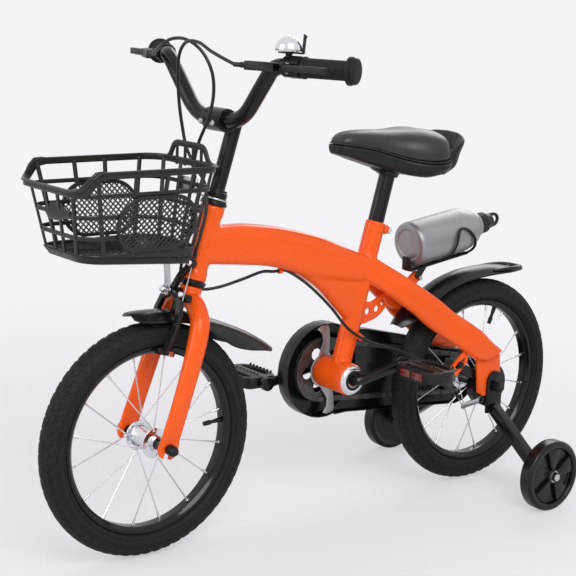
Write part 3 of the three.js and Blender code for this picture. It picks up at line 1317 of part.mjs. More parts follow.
const guardReach = guardRadius - guardWall - seatGap;
const guardBracketShares = [[0, 1], [0.5, 0.62], [0.8, 0.75], [1, 1]];
function guardArm(angle, bow) {
  const spine = guardBracketShares.map(([reach]) => {
    const out = (bracketBore + (guardReach - bracketBore) * reach);
    const swing = (angle + bow * Math.sin(reach * Math.PI)) * degree;
    return [bracket.x + out * Math.cos(swing), bracket.z + out * Math.sin(swing)];
  });
  const halves = guardBracketShares.map(([, width]) => width * guardBracketArm / 2);
  return sidePlate(strip(spine, halves), -bracketPlateFace - guardBracketThickness, -bracketPlateFace);
}
const guardRing = sidePlate(
  circle(bracket.x, bracket.z, cupRadius * 1.15, 20), -bracketPlateFace - guardBracketThickness, -bracketPlateFace,
);
const guardRingBore = sidePlate(
  circle(bracket.x, bracket.z, bracketBore, 20), -bracketPlateFace - guardBracketThickness - cutOverrun,
  -bracketPlateFace + cutOverrun,
);
const guardTrim = sidePlate(
  circle(bracket.x, bracket.z, guardReach * Math.cos(Math.PI / 30), 30),
  -bracketPlateFace - guardBracketThickness, -bracketPlateFace,
);
part('chain_guard_bracket', cut(
  join(guardRing, guardArm(84, 10), guardArm(262, -10)).intersect(guardTrim), guardRingBore,
), greyPlate);

// The pedals: moulded bodies that spin on the crank's axles

function pedal() {
  const halfX = pedalLength / 2;
  const halfZ = pedalHeight / 2;
  const bore = (pedalAxleRadius + runningGap) / Math.cos(Math.PI / 12);
  const plan = { at: middle, u: alongX, v: alongY };
  const side = (x) => x * halfX;
  const outline = [
    [side(-0.62), 0], [side(0.62), 0], [side(1), pedalWidth * 0.2], [side(1), pedalWidth * 0.8], [side(0.7), pedalWidth],
    [side(-0.7), pedalWidth], [side(-1), pedalWidth * 0.8], [side(-1), pedalWidth * 0.2],
  ];
  const windowOutline = (sign) => [
    [sign * side(0.32), pedalWidth * 0.16], [sign * side(0.7), pedalWidth * 0.24],
    [sign * side(0.74), pedalWidth * 0.76], [sign * side(0.32), pedalWidth * 0.84],
  ];
  const body = plate(outline, plan, -halfZ, halfZ);
  const profile = [
    [-halfX * 1.1, -halfZ * 0.35], [-halfX * 0.8, -halfZ], [halfX * 0.8, -halfZ], [halfX * 1.1, -halfZ * 0.35],
    [halfX * 1.1, halfZ * 0.35], [halfX * 0.8, halfZ], [-halfX * 0.8, halfZ], [-halfX * 1.1, halfZ * 0.35],
  ];
  const rounded = body.intersect(sidePlate(profile, -cutOverrun, pedalWidth + cutOverrun));
  const windows = [1, -1].map((sign) => plate(
    sign > 0 ? windowOutline(1) : windowOutline(-1).reverse(), plan, -pedalHeight, pedalHeight,
  ));
  const axleBore = rod(vec(0, -cutOverrun, 0), vec(0, pedalWidth * 0.94, 0), bore, 12);
  return cut(rounded, ...windows, axleBore);
}
const pedalLeftY = crankLeftInner + crankArmThickness + pedalGap;
const pedalRightY = crankRightInner + crankArmThickness + pedalGap;
const pedalLeftAt = crankPlace(crankArmLength, pedalLeftY);
const pedalRightAt = crankPlace(-crankArmLength, -pedalRightY);
part('pedal_left', pedal(), blackPlastic, group(bike, pedalLeftAt.x, pedalLeftAt.y, pedalLeftAt.z));
const pedalRight = part('pedal_right', pedal(), blackPlastic, group(bike, pedalRightAt.x, pedalRightAt.y, pedalRightAt.z));
pedalRight.rotation.z = Math.PI;

// The seat: a post that slides in the seat tube, a clamp, a moulded base with a handle, and the pad

part('seat_post', rod(
  seatPoint(seatTubeLength + runningGap - seatPostInsert), seatPoint(seatPostTop), seatPostRadius, 18,
), blackPaint);

const saddleNose = seatPoint(seatPostTop).x + saddleNoseForward;
const saddleHeight = seatPoint(seatPostTop).z + saddleRise;
const saddlePoint = (alongShare, y, z) => vec(saddleNose - alongShare * saddleLength, y, z);
// along, half width, top, seam and underside, the last three above the pad's seam height
const padCrown = 16;
const padSink = 40;
const padShares = [
  // along, half width, crown above the datum, seam below the datum
  [0.005, 0.1, 0, 0.22], [0.03, 0.22, 0.4, 0.24], [0.08, 0.31, 0.78, 0.27], [0.16, 0.36, 0.95, 0.36],
  [0.26, 0.4, 0.95, 0.5], [0.36, 0.5, 0.85, 0.68], [0.46, 0.66, 0.85, 0.86], [0.56, 0.85, 0.92, 0.97],
  [0.65, 0.97, 1, 1], [0.73, 1, 0.95, 0.98], [0.79, 0.93, 0.7, 0.9], [0.83, 0.75, 0.3, 0.78], [0.85, 0.55, -0.2, 0.7],
];
function padRing([along, width, crown, seam], grow = 0) {
  const half = width * saddleHalfWidth + grow;
  const top = saddleHeight + crown * padCrown + grow;
  const low = saddleHeight - seam * padSink - grow;
  const rise = top - low;
  const sectionShares = [
    [0.9, 0], [1, 0.2], [0.97, 0.48], [0.84, 0.76], [0.58, 0.93], [0.27, 0.99], [0, 0.96],
  ];
  const right = sectionShares.map(([side, up]) => saddlePoint(along, side * half, low + up * rise));
  const left = sectionShares.slice(0, -1).reverse()
    .map(([side, up]) => saddlePoint(along, -side * half, low + up * rise));
  return [...right, ...left];
}
part('saddle_pad', loft(padShares.map((row) => padRing(row))), saddleVinyl);

const baseShares = [
  // along, half width, seam below the datum, depth of the skirt below that
  [-0.02, 0.2, 0.24, 0.18], [0.03, 0.3, 0.26, 0.22], [0.1, 0.36, 0.3, 0.3], [0.2, 0.42, 0.42, 0.4], [0.32, 0.5, 0.62, 0.45],
  [0.44, 0.66, 0.84, 0.48], [0.56, 0.87, 0.99, 0.5], [0.66, 0.99, 1.02, 0.48], [0.75, 1, 0.99, 0.42], [0.83, 0.86, 0.86, 0.42],
];
function baseRing([along, width, seam, depth]) {
  const half = width * saddleHalfWidth;
  const top = saddleHeight - seam * padSink - seatGap;
  const low = top - depth * padSink;
  return [
    saddlePoint(along, half, top), saddlePoint(along, half * 0.96, (top + low) / 2), saddlePoint(along, half * 0.7, low),
    saddlePoint(along, -half * 0.7, low), saddlePoint(along, -half * 0.96, (top + low) / 2), saddlePoint(along, -half, top),
  ];
}
const handleHalf = saddleHalfWidth * 0.78;
const handleShares = [
  // along, side and height above the datum
  [0.74, 0.9, -0.95], [0.86, 0.98, -0.6], [0.94, 0.82, -0.25], [0.985, 0.5, -0.12], [0.995, 0, -0.08],
];
const handleThickness = 4.5;
const handleHeight = 13;
const handleLine = [
  ...handleShares.map(([along, side, up]) => saddlePoint(along, side * handleHalf, saddleHeight + up * padSink)),
  ...handleShares.slice(0, -1).reverse().map(([along, side, up]) => (
    saddlePoint(along, -side * handleHalf, saddleHeight + up * padSink)
  )),
];
const handleBand = solid(ovalBar(
  handleLine, alongZ, handleLine.map(() => handleHeight), handleLine.map(() => handleThickness), 8,
));
const socketFoot = seatPostTop - saddleClampHeight;
const socket = rod(seatPoint(socketFoot), seatPoint(seatPostTop + saddleClampRadius), saddleClampRadius, 16);
const socketHollow = rod(
  seatPoint(socketFoot - cutOverrun), seatPoint(seatPostTop + seatGap),
  (seatPostRadius + seatGap) / Math.cos(Math.PI / 18), 18,
);
const padSpace = loft(padShares.map((row) => padRing(row, seatGap)));
part('saddle_base', cut(
  join(loft(baseShares.map(baseRing)), handleBand, socket), padSpace, socketHollow,
), blackPlastic);

// The bottle, its cap, and the cage that carries it on the frame's ear

const bottleAim = vec(-Math.cos(bottleLean * degree), 0, Math.sin(bottleLean * degree));
const bottleFoot = bracket.clone().add(vec(-bottleFootBack, 0, bottleFootRise));
const bottleUp = bottleAim.clone().cross(alongY).normalize();
if (bottleUp.z < 0) bottleUp.negate();
const bottlePoint = (along, radius, angle) => bottleFoot.clone().addScaledVector(bottleAim, along)
  .addScaledVector(bottleUp, -radius * Math.cos(angle * degree)).addScaledVector(alongY, radius * Math.sin(angle * degree));
part('bottle', turned([
  [0, bottleFootDish], [bottleRadius * 0.75, 0], [bottleRadius * 0.93, bottleFootDish],
  [bottleRadius, bottleRadius * 0.25],
  [bottleRadius, bottleLength - bottleShoulder * 1.6], [bottleRadius * 0.96, bottleLength - bottleShoulder * 1.2],
  [bottleRadius * 0.78, bottleLength - bottleShoulder * 0.55], [bottleNeckRadius, bottleLength - bottleShoulder * 0.2],
  [bottleNeckRadius, bottleLength], [0, bottleLength],
], 20, bottleFoot, bottleAim), brushedAluminium);

const capFoot = bottleLength + seatGap;
const capTop = capFoot + bottleCapLength;
const capBody = turned([
  [0, capFoot], [bottleCapRadius, capFoot], [bottleCapRadius, capFoot + bottleCapLength * 0.6],
  [bottleCapRadius * 0.75, capTop], [0, capTop],
], 16, bottleFoot, bottleAim);
const loopPlane = { at: bottlePoint(capTop, 0, 0), u: bottleAim, v: bottleUp };
const loopHalf = bottleCapRadius * 0.75;
const loopThickness = 5;
const capLoop = plate([
  [-cutOverrun, -loopHalf], [bottleLoopLength * 0.7, -loopHalf], [bottleLoopLength, -loopHalf * 0.6],
  [bottleLoopLength, loopHalf * 0.6], [bottleLoopLength * 0.7, loopHalf], [-cutOverrun, loopHalf],
], loopPlane, -loopThickness / 2, loopThickness / 2, [[
  [loopThickness * 0.6, -loopHalf * 0.6], [bottleLoopLength * 0.6, -loopHalf * 0.6],
  [bottleLoopLength * 0.75, 0], [bottleLoopLength * 0.6, loopHalf * 0.6], [loopThickness * 0.6, loopHalf * 0.6],
]]);
part('bottle_cap', join(capBody, capLoop), blackPlastic);

const cageRadius = (bottleRadius + cageWire + runningGap * 1.5) / Math.cos(15 * degree);
const cageRun = (points) => new Route(
  points.map(([along, angle]) => bottlePoint(along, cageRadius, angle)),
  points.slice(1, -1).map(() => cageWire * 1.5), 1,
);
function cageArm(side) {
  const points = [
    [cageReach * 0.55, 4], [cageReach * 0.72, 30], [cageReach * 0.9, 60], [cageReach * 1.12, 88],
    [cageReach * 1.3, 96], [cageReach * 1.42, 80], [cageReach * 1.4, 52], [cageReach * 1.25, 26],
    [cageReach * 1.12, 4],
  ].map(([along, angle]) => [along, side * angle]);
  return routeTube(cageRun(points), cageWire, 6);
}
const cageBand = (from, to, width) => bandRing(from, to, 0, cageWire * width, cageWire * 0.5, 1);
const cageAcross = (along, width) => cageBand(
  bottlePoint(along, cageRadius - cageWire, 0), bottlePoint(along, cageRadius + cageWire, 0), width,
);
const cageFootBack = -cageWire - runningGap;
const cageLipEnd = (radius, width) => cageBand(
  bottlePoint(cageFootBack - cageWire, radius, 0), bottlePoint(cageFootBack + cageWire, radius, 0), width,
);
const cageSpine = loft([
  cageBand(
    bottlePoint(cageFootBack - cageWire, cageRadius - cageWire, 0),
    bottlePoint(cageFootBack - cageWire, cageRadius + cageWire, 0), 3.5,
  ),
  cageAcross(0, 3.5), cageAcross(cageReach * 1.3, 3.5),
]);
const cageLip = loft([cageLipEnd(cageRadius + cageWire, 4), cageLipEnd(bottleRadius * 0.5, 2.5)]);
const cageTabShare = 0.28;
const cageTabFrom = earThickness / 2 + seatGap;
const cageTabLine = flat([earAt.clone().lerp(bridgeAt, 0.35), bottlePoint(cageTabShare * cageReach, cageRadius, 0)]);
const cageTab = sidePlate(strip(cageTabLine, earHalf * 0.8), cageTabFrom, cageTabFrom + cageWire);
part('bottle_cage', join(cageSpine, cageLip, cageArm(1), cageArm(-1), cageTab), blackPlastic);

// The training wheels and their brackets

function trainingWheel() {
  const half = trainingWidth / 2;
  const bore = trainingBoreRadius / Math.cos(Math.PI / 20);
  const dish = trainingRadius * 0.8;
  const hub = trainingRadius * 0.2;
  const tread = trainingRadius;
  const body = turned([
    [bore, -half], [hub, -half], [hub, -half + trainingRimDepth * 1.5], [dish, -half + trainingRimDepth * 1.5],
    [dish, -half], [tread * 0.95, -half], [tread, -half * 0.6], [tread, half * 0.6], [tread * 0.95, half],
    [dish, half], [dish, half - trainingRimDepth], [hub, half - trainingRimDepth], [hub, half], [bore, half], [bore, -half],
  ], 20);
  const pockets = Array.from({ length: trainingSpokes }, (_, i) => {
    const start = i * 360 / trainingSpokes - 90 - 20;
    return sidePlate([
      ...arc(0, 0, dish * 0.94, start, start + 40, 3), ...arc(0, 0, hub * 1.5, start + 32, start + 8, 1),
    ], half - trainingRimDepth * 3, half + cutOverrun);
  });
  return cut(body, ...pockets);
}
const trainingX = rearAxle.x;
const trainingLeft = group(bike, trainingX, trainingTrack, trainingRadius);
const trainingRight = group(bike, trainingX, -trainingTrack, trainingRadius);
part('training_wheel_left', trainingWheel(), blackPlastic, trainingLeft);
part('training_wheel_right', trainingWheel(), blackPlastic, trainingRight).rotation.z = Math.PI;

const dropoutOuter = dropoutInner + dropoutThickness;
const plateInner = dropoutOuter + seatGap;
const plateOuter = plateInner + bracketPlateThickness;
function trainingBracket(side) {
  const half = bracketPlateWidth / 2;
  const at = rearAxle;
  const hole = (axleRadius + seatGap) / Math.cos(Math.PI / 12);
  const outline = [
    [at.x + half, at.z - bracketPlateFoot], [at.x + half, at.z + bracketPlateTop - half],
    ...arc(at.x, at.z + bracketPlateTop - half, half, 15, 165, 6), [at.x - half, at.z + bracketPlateTop - half],
    [at.x - half, at.z - bracketPlateFoot],
  ];
  const upright = sidePlate(outline, plateInner, plateOuter, [circle(at.x, at.z, hole, 12)]);
  const wheelInner = trainingTrack - trainingWidth / 2;
  const top = vec(at.x, plateInner + legRadius, at.z - bracketPlateFoot + legRadius * 0.4);
  const foot = vec(trainingX, wheelInner - legRadius - runningGap * 2, trainingRadius);
  const run = foot.clone().sub(top).normalize();
  const across = run.clone().cross(alongX).normalize();
  const square = (centre) => roundedRing(centre, alongX, across, legRadius, legRadius, legRadius * 0.25, 1);
  const leg = loft([
    square(top.clone().addScaledVector(run, -legRadius * 0.6)),
    square(foot.clone().addScaledVector(run, legRadius * 0.5)),
  ]);
  const trimmed = cut(leg, sidePlate([
    [at.x - bracketPlateWidth, 0], [at.x + bracketPlateWidth, 0],
    [at.x + bracketPlateWidth, at.z * 2], [at.x - bracketPlateWidth, at.z * 2],
  ], -plateInner, plateInner));
  const tip = trainingTrack + trainingWidth / 2 + seatGap * 2;
  const tipEnd = vec(trainingX, tip + trainingNutHeight, trainingRadius);
  const axleBar = rod(foot, tipEnd, trainingAxleRadius, 12);
  const nut = rod(vec(trainingX, tip, trainingRadius), tipEnd, trainingAxleRadius * 1.7, 6);
  const whole = join(upright, trimmed, axleBar, nut);
  if (side > 0) return whole;
  const mesh = whole.getMesh();
  const geometry = new THREE.BufferGeometry();
  geometry.setAttribute('position', new THREE.Float32BufferAttribute(mesh.vertProperties, 3));
  geometry.setIndex(new THREE.Uint32BufferAttribute(mesh.triVerts, 1));
  return solid(mirrored(geometry));
}
part('training_bracket_left', trainingBracket(1), blackPaint);
part('training_bracket_right', trainingBracket(-1), blackPaint);
part('rear_axle', axle(
  dropoutInner, dropoutThickness, rearHubLeft, rearHubRight, axleNutLength, axleNutRadius,
  bracketPlateThickness + seatGap, bracketPlateThickness + seatGap,
), blackPlastic, rearWheel);

// The band brake on the rear hub: a fixed cover with its torque arm, and the arm that the cable pulls

const coverHole = (coneRadius + seatGap) / Math.cos(Math.PI / 24);
const cover = turned([
  [coverHole, drumCoverOuter - drumCoverWall], [drumCoverRadius - drumCoverWall, drumCoverOuter - drumCoverWall],
  [drumCoverRadius - drumCoverWall, drumCoverInner], [drumCoverRadius, drumCoverInner],
  [drumCoverRadius, drumCoverOuter], [coverHole, drumCoverOuter], [coverHole, drumCoverOuter - drumCoverWall],
], 24, rearAxle, alongY);
const torqueStart = rearAxle.clone().lerp(ringAt, 0.3);
const torqueArm = cut(
  sidePlate(
    strip([[torqueStart.x, torqueStart.z], [ringAt.x, ringAt.z]], ringHalfWidth * 0.8),
    drumCoverOuter - drumCoverWall, drumCoverOuter,
  ),
  sidePlate(circle(rearAxle.x, rearAxle.z, coverHole, 24), drumCoverOuter - drumCoverWall * 2, drumCoverOuter + drumCoverWall),
);
const torqueBolt = rod(
  ringAt.clone().setY(drumCoverOuter - drumCoverWall), ringAt.clone().setY(dropoutInner + ringPlateThickness + seatGap),
  ringSlotHalf - seatGap * 2, 10,
);
const torqueNut = rod(
  ringAt.clone().setY(dropoutInner + ringPlateThickness + seatGap),
  ringAt.clone().setY(dropoutInner + ringPlateThickness + seatGap + calliperNutLength), ringSlotHalf * 1.6, 6,
);
const armPivotShare = [0.6, -0.62];
const armPivot = rearAxle.clone().add(vec(armPivotShare[0] * drumCoverRadius, 0, armPivotShare[1] * drumCoverRadius));
const armPin = rod(
  armPivot.clone().setY(drumCoverOuter - drumCoverWall), armPivot.clone().setY(drumCoverOuter + seatGap + brakeArmThickness),
  ringSlotHalf - seatGap, 12,
);
part('band_brake_cover', join(cover, torqueArm, torqueBolt, torqueNut, armPin), blackPaint);
const brakeArmEnd = [armPivot.x + brakeArmLength * 0.95, armPivot.z - brakeArmLength * 0.1];
part('band_brake_arm', cut(
  join(
    sidePlate(strip([[armPivot.x, armPivot.z], brakeArmEnd], brakeArmWidth / 2), drumCoverOuter + seatGap,
      drumCoverOuter + seatGap + brakeArmThickness),
    sidePlate(circle(armPivot.x, armPivot.z, brakeArmWidth * 0.8, 14), drumCoverOuter + seatGap,
      drumCoverOuter + seatGap + brakeArmThickness),
  ),
  sidePlate(
    circle(armPivot.x, armPivot.z, ringSlotHalf + runningGap * 0.6, 12),
    drumCoverOuter, drumCoverOuter + brakeArmThickness * 2,
  ),
), blackPaint);

// The basket: a tapering tub whose walls are cut into a lattice of ribs round a net panel

const basketBack = steerPoint(headTop).x + basketAhead;
const basketRimHeight = steerPoint(headTop).z + basketRimRise;
const basketFloorHeight = basketRimHeight - basketDepth;
const rimMiddle = basketBack + basketLength / 2;
const floorTilt = 4.4;
const floorAlong = vec(Math.cos(floorTilt * degree), 0, Math.sin(floorTilt * degree));
function tub(inset, drop, above) {
  const rise = basketRimHeight - basketFloorHeight;
  const level = (share) => {
    const centre = vec(
      rimMiddle + basketFloorInset * 0.25 * (1 - share), 0, basketFloorHeight + rise * share + drop * (1 - share),
    );
    const halfLength = basketLength / 2 - basketFloorInset * 0.75 * (1 - share) - inset;
    const half = basketFloorHalfWidth + (basketHalfWidth - basketFloorHalfWidth) * share - inset;
    return { centre, halfLength, half };
  };
  const rings = [0, 0.07, 1, 1 + above].map((share, i) => {
    const { centre, halfLength, half } = level(share);
    const shrink = i === 0 ? basketRib : 0;
    const along = i < 2 ? floorAlong : alongX;
    return roundedRing(centre, along, alongY, halfLength - shrink, half - shrink, basketCornerRadius - inset, 3);
  });
  return loft(rings);
}
const archHeight = basketRimHeight + basketArchRise;
const tubShell = cut(tub(0, 0, 0.25), tub(basketWall, basketWall, 0.4));
const aboveRim = sidePlate([
  [basketBack - basketRib, basketRimHeight], [basketBack + basketLength * 0.78, basketRimHeight],
  [basketBack + basketLength * 0.9, basketRimHeight - basketFrontDip],
  [basketBack + basketLength * 1.2, basketRimHeight - basketFrontDip],
  [basketBack + basketLength * 1.2, archHeight + basketArchRise * 2],
  [basketBack - basketRib, archHeight + basketArchRise * 2],
], -basketHalfWidth * 1.2, basketHalfWidth * 1.2);
const backPlane = { at: middle, u: alongY, v: alongZ };
const archOutline = [
  [-basketArchHalfWidth, basketRimHeight - basketRimBand], [basketArchHalfWidth, basketRimHeight - basketRimBand],
  [basketArchHalfWidth * 0.92, basketRimHeight + basketArchRise * 0.3], [basketArchHalfWidth * 0.68, archHeight],
  [-basketArchHalfWidth * 0.68, archHeight], [-basketArchHalfWidth * 0.92, basketRimHeight + basketArchRise * 0.3],
];
const archPlate = plate(archOutline, backPlane, basketBack, basketBack + basketWall * 1.2);
const rowShares = [0.11, 0.31, 0.53, 0.75, 0.92];
const rowHeights = rowShares.map((share) => basketFloorHeight + share * (basketRimHeight - basketFloorHeight));
const halfRib = basketRib / 2;
const grid = (columns, rows, cutter) => rows.slice(0, -1).flatMap((low, r) => columns.slice(0, -1).map((left, c) => (
  cutter(left + halfRib, columns[c + 1] - halfRib, low + halfRib, rows[r + 1] - halfRib, r, c)
)));
const box = (a, b, low, high) => [[a, low], [b, low], [b, high], [a, high]];
const sideColumns = [0.14, 0.38, 0.62, 0.86].map((share) => basketBack + share * basketLength);
const beyond = basketHalfWidth * 1.3;
const sideCuts = join(...grid(sideColumns, rowHeights, (a, b, low, high) => (
  sidePlate(box(a, b, low, high), -beyond, beyond)
)));
const panelAt = vec(basketBack + basketLength * 0.5, 0, (rowHeights[0] + rowHeights[3]) / 2);
const panelRound = (rowHeights[3] - rowHeights[0]) / 2 + halfRib;
const panelHalf = panelRound + basketLength * panelRunShare;
const panel = sidePlate(oval(panelHalf, panelRound, panelAt, 0), -beyond, beyond);
const netPitch = panelRound * netPitchShare;
const netHalf = netPitch * netHoleShare;
const netCuts = [];
for (let column = -3; column <= 3; column++) {
  for (let row = -3; row <= 3; row++) {
    const u = panelAt.x + column * netPitch + (row % 2 === 0 ? 0 : netPitch / 2);
    const v = panelAt.z + row * netPitch / 2;
    const fits = Math.hypot(Math.max(Math.abs(u - panelAt.x) - (panelHalf - panelRound), 0), v - panelAt.z);
    if (fits + netHalf < panelRound - halfRib * 0.6) {
      netCuts.push(sidePlate([[u - netHalf, v], [u, v - netHalf], [u + netHalf, v], [u, v + netHalf]], -beyond, beyond));
    }
  }
}
const frontColumns = [-0.72, -0.24, 0.24, 0.72].map((share) => share * basketHalfWidth);
const frontRows = rowHeights.slice(0, 4);
const frontCuts = join(...grid(frontColumns, frontRows, (a, b, low, high) => (
  plate(box(a, b, low, high), backPlane, rimMiddle, basketBack + basketLength * 1.2)
)));
const backCuts = join(...grid(frontColumns, rowHeights, (a, b, low, high) => (
  plate(box(a, b, low, high), backPlane, basketBack - basketRib, rimMiddle)
)));
const floorColumns = [0.16, 0.39, 0.62, 0.85].map((share) => basketBack + share * basketLength);
const floorRows = [-0.75, 0, 0.75].map((share) => share * basketFloorHalfWidth);
const planView = { at: middle, u: alongX, v: alongY };
const floorCuts = join(...grid(floorColumns, floorRows, (a, b, low, high) => (
  plate(box(a, b, low, high), planView, basketFloorHeight - basketFloorBand, basketFloorHeight + basketFloorBand)
)));
const archSlots = [-0.4, 0, 0.4].map((share) => plate(box(
  (share - 0.1) * basketArchHalfWidth, (share + 0.1) * basketArchHalfWidth,
  basketRimHeight - basketRimBand * 0.4, archHeight - basketRib,
), backPlane, basketBack - cutOverrun, basketBack + basketWall * 3));
part('basket', cut(
  join(cut(tubShell, aboveRim), archPlate), cut(sideCuts, panel), ...netCuts, frontCuts, backCuts, floorCuts, ...archSlots,
), blackPlastic);

// The bracket that holds the basket: a ring under the headset nut, a tongue and a plate behind the back wall
const wallLean = vec(-basketFloorInset, 0, basketRimHeight - basketFloorHeight).normalize();
const wallOut = vec(-wallLean.z, 0, wallLean.x);
const wallPoint = (z) => vec(
  basketBack + basketFloorInset * (basketRimHeight - z) / (basketRimHeight - basketFloorHeight), 0, z,
);
const bracketRow = wallPoint(rowHeights[3]);
const plateBehind = seatGap * 4;
const bracketFlange = plate([
  [-basketPlateHalfWidth, -basketPlateHeight * 0.6], [basketPlateHalfWidth, -basketPlateHeight * 0.6],
  [basketPlateHalfWidth, basketPlateHeight * 0.4], [-basketPlateHalfWidth, basketPlateHeight * 0.4],
], {
  at: bracketRow.clone().addScaledVector(wallOut, plateBehind), u: alongY.clone().negate(), v: wallLean,
}, 0, basketPlate);
const tongueFrom = steerPoint(basketPlateFoot + basketPlate / 2, headNutRadius * 0.9);
const tongueTo = bracketRow.clone().addScaledVector(wallOut, plateBehind + basketPlate / 2)
  .addScaledVector(wallLean, -basketPlateHeight * 0.5).addScaledVector(wallOut, basketPlate / 2);
const tongue = sidePlate(
  strip(flat([tongueFrom, tongueTo]), basketPlate / 2), -basketPlateTongue, basketPlateTongue,
);
const bracketRing = collar(
  steererRadius + seatGap, headNutRadius * 1.15, 0, basketPlate, 16, steerPoint(basketPlateFoot), steerUp,
);
part('basket_bracket', join(bracketRing, tongue, bracketFlange), zincSteel);

// The strap from the brake bolt up to the basket's floor
const floorUnder = (x) => (
  basketFloorHeight + (x - rimMiddle - basketFloorInset * 0.25) * Math.tan(floorTilt * degree)
);
const strapAhead = armsAhead + calliperNutLength + seatGap + basketPlate / 2;
const strapTop = steerPoint(calliperHeight, strapAhead).x;
const strapUnder = (x) => [x, floorUnder(x) - seatGap - basketPlate / 2];
const strapFoot = flat([
  steerPoint(calliperHeight - basketStrapHalfWidth, strapAhead),
  steerPoint(calliperHeight + basketStrapHalfWidth * 1.4, strapAhead),
]);
part('basket_stay', cut(
  sidePlate(
    strip([...strapFoot, strapUnder(strapTop), strapUnder(strapTop + basketStrapReach)], basketPlate / 2),
    -basketStrapHalfWidth, basketStrapHalfWidth,
  ),
  plate(
    circle(0, 0, (calliperBoltRadius + seatGap) / Math.cos(Math.PI / 10), 10), calliperPlane(strapAhead),
    -basketPlate, basketPlate,
  ),
), zincSteel);

// The brake cables: round casings along routes chosen by hand, each with a bare wire at its brake

const cableStep = 14;
function cableTube(points, radius, sides) {
  const curve = new THREE.CatmullRomCurve3(points);
  return tube(curve, radius, Math.max(Math.round(curve.getLength() / cableStep), 2), sides);
}
const leverCableStart = (side) => {
  const { along } = leverFrame(side);
  const end = adjusterEnd(side);
  return [
    end.clone().addScaledVector(along, -seatGap), end.clone().addScaledVector(along, -seatGap - adjusterLength),
  ];
};
const casingFoot = highEnd + armHalf * 1.3 + seatGap;
// height of the handlebar over the head tube, then ahead and left by the loops' reach
const loopPoint = ([up, ahead, left]) => steerPoint(
  headTop + up * (barHeight - headTop), ahead * cableLoopReach, left * cableLoopReach,
);
const frontLoopShares = [
  [1.644, 1.931, 1.133], [1.724, 2.1, 0.733], [1.713, 2.111, 0.267], [1.58, 1.946, -0.133],
  [1.361, 1.66, -0.4], [1.063, 1.311, -0.567], [0.793, 1.013, -0.6], [0.577, 0.816, -0.5],
  [0.391, 0.655, -0.2], [0.247, 0.569, 0.167], [0.06, 0.529, 0.4], [-0.163, 0.502, 0.5],
];
const frontCableRoute = [
  ...leverCableStart(1),
  ...frontLoopShares.map(loopPoint),
  steerPoint(casingFoot + adjusterLength * 2, wireAhead, wireSide), steerPoint(casingFoot, wireAhead, wireSide),
];
const frontWire = rod(
  steerPoint(calliperHeight - armHalf * 2, wireAhead, wireSide), steerPoint(casingFoot + rimWall, wireAhead, wireSide),
  wireRadius, 6,
);
part('front_brake_cable', join(solid(cableTube(frontCableRoute, cableRadius, cableFacets)), frontWire), blackPlastic);

const cableBreak = headTubeFoot + headTubeLength * 0.75; // where the rear cable passes from the steering to the frame
const cableBeside = headCupRadius + cableRadius * 2.5;
const breakPoint = (up) => steerPoint(up, cableBeside * 0.3, -cableBeside);
const rearLoopShares = [
  [1.651, 1.883, -1.1], [1.752, 1.908, -0.7], [1.779, 1.785, -0.267], [1.687, 1.522, 0.1],
  [1.478, 1.225, 0.3], [1.212, 1.016, 0.3], [0.934, 0.887, 0.133], [0.688, 0.777, -0.133],
  [0.465, 0.629, -0.333], [0.287, 0.419, -0.45], [0.113, 0.178, -0.483],
];
const rearUpperRoute = [
  ...leverCableStart(-1),
  ...rearLoopShares.map(loopPoint),
  breakPoint(cableBreak + cableStep), breakPoint(cableBreak + seatGap / 2),
];
part('rear_brake_cable_upper', solid(cableTube(rearUpperRoute, cableRadius, cableFacets)), blackPlastic);

const wireLine = drumCoverOuter + seatGap * 2 + brakeArmThickness + wireRadius;
const wireAim = vec(0.55, 0, 0.84).normalize();
const casingEnd = vec(brakeArmEnd[0], wireLine, brakeArmEnd[1]).addScaledVector(wireAim, brakeArmLength * 0.45);
// along a span of the frame, above it, and left by the dropouts' spacing
const besideFrame = (place) => ([along, above, left]) => place(along, above, left * dropoutMiddle);
const underBeamShares = [
  [0.033, -0.013, -0.457], [0.1, -0.006, -0.343], [0.162, 0.041, -0.19], [0.235, 0.12, -0.057], [0.309, 0.199, 0],
];
const besideGussetShares = [
  [0.496, 0.283, 0.229], [0.583, 0.269, 0.381], [0.707, 0.241, 0.438], [0.813, 0.21, 0.457],
  [0.889, 0.195, 0.457],
];
const besideStayShares = [
  [0.238, -0.319, 0.533], [0.335, -0.277, 0.686], [0.431, -0.233, 0.838], [0.526, -0.205, 0.971],
  [0.637, -0.195, 1.048], [0.736, -0.196, 1.067],
];
const rearLowerRoute = [
  breakPoint(cableBreak - seatGap / 2), breakPoint(cableBreak - cableStep), breakPoint(headTubeFoot + headCupSpigot),
  ...underBeamShares.map(besideFrame(beamPlace)),
  clipCentre.clone().addScaledVector(clipAim, -cableStep), clipCentre, clipCentre.clone().addScaledVector(clipAim, cableStep),
  ...besideGussetShares.map(besideFrame(beamPlace)), ...besideStayShares.map(besideFrame(stayPlace)),
  casingEnd.clone().addScaledVector(wireAim, cableStep), casingEnd,
];
const rearWire = rod(
  casingEnd.clone().addScaledVector(wireAim, rimWall),
  vec(brakeArmEnd[0], wireLine, brakeArmEnd[1]).addScaledVector(wireAim, -adjusterLength), wireRadius, 6,
);
part('rear_brake_cable_lower', join(solid(cableTube(rearLowerRoute, cableRadius, cableFacets)), rearWire), blackPlastic);

export default bike;
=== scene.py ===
import json
import math

import bmesh
import bpy
from mathutils import Matrix, Vector

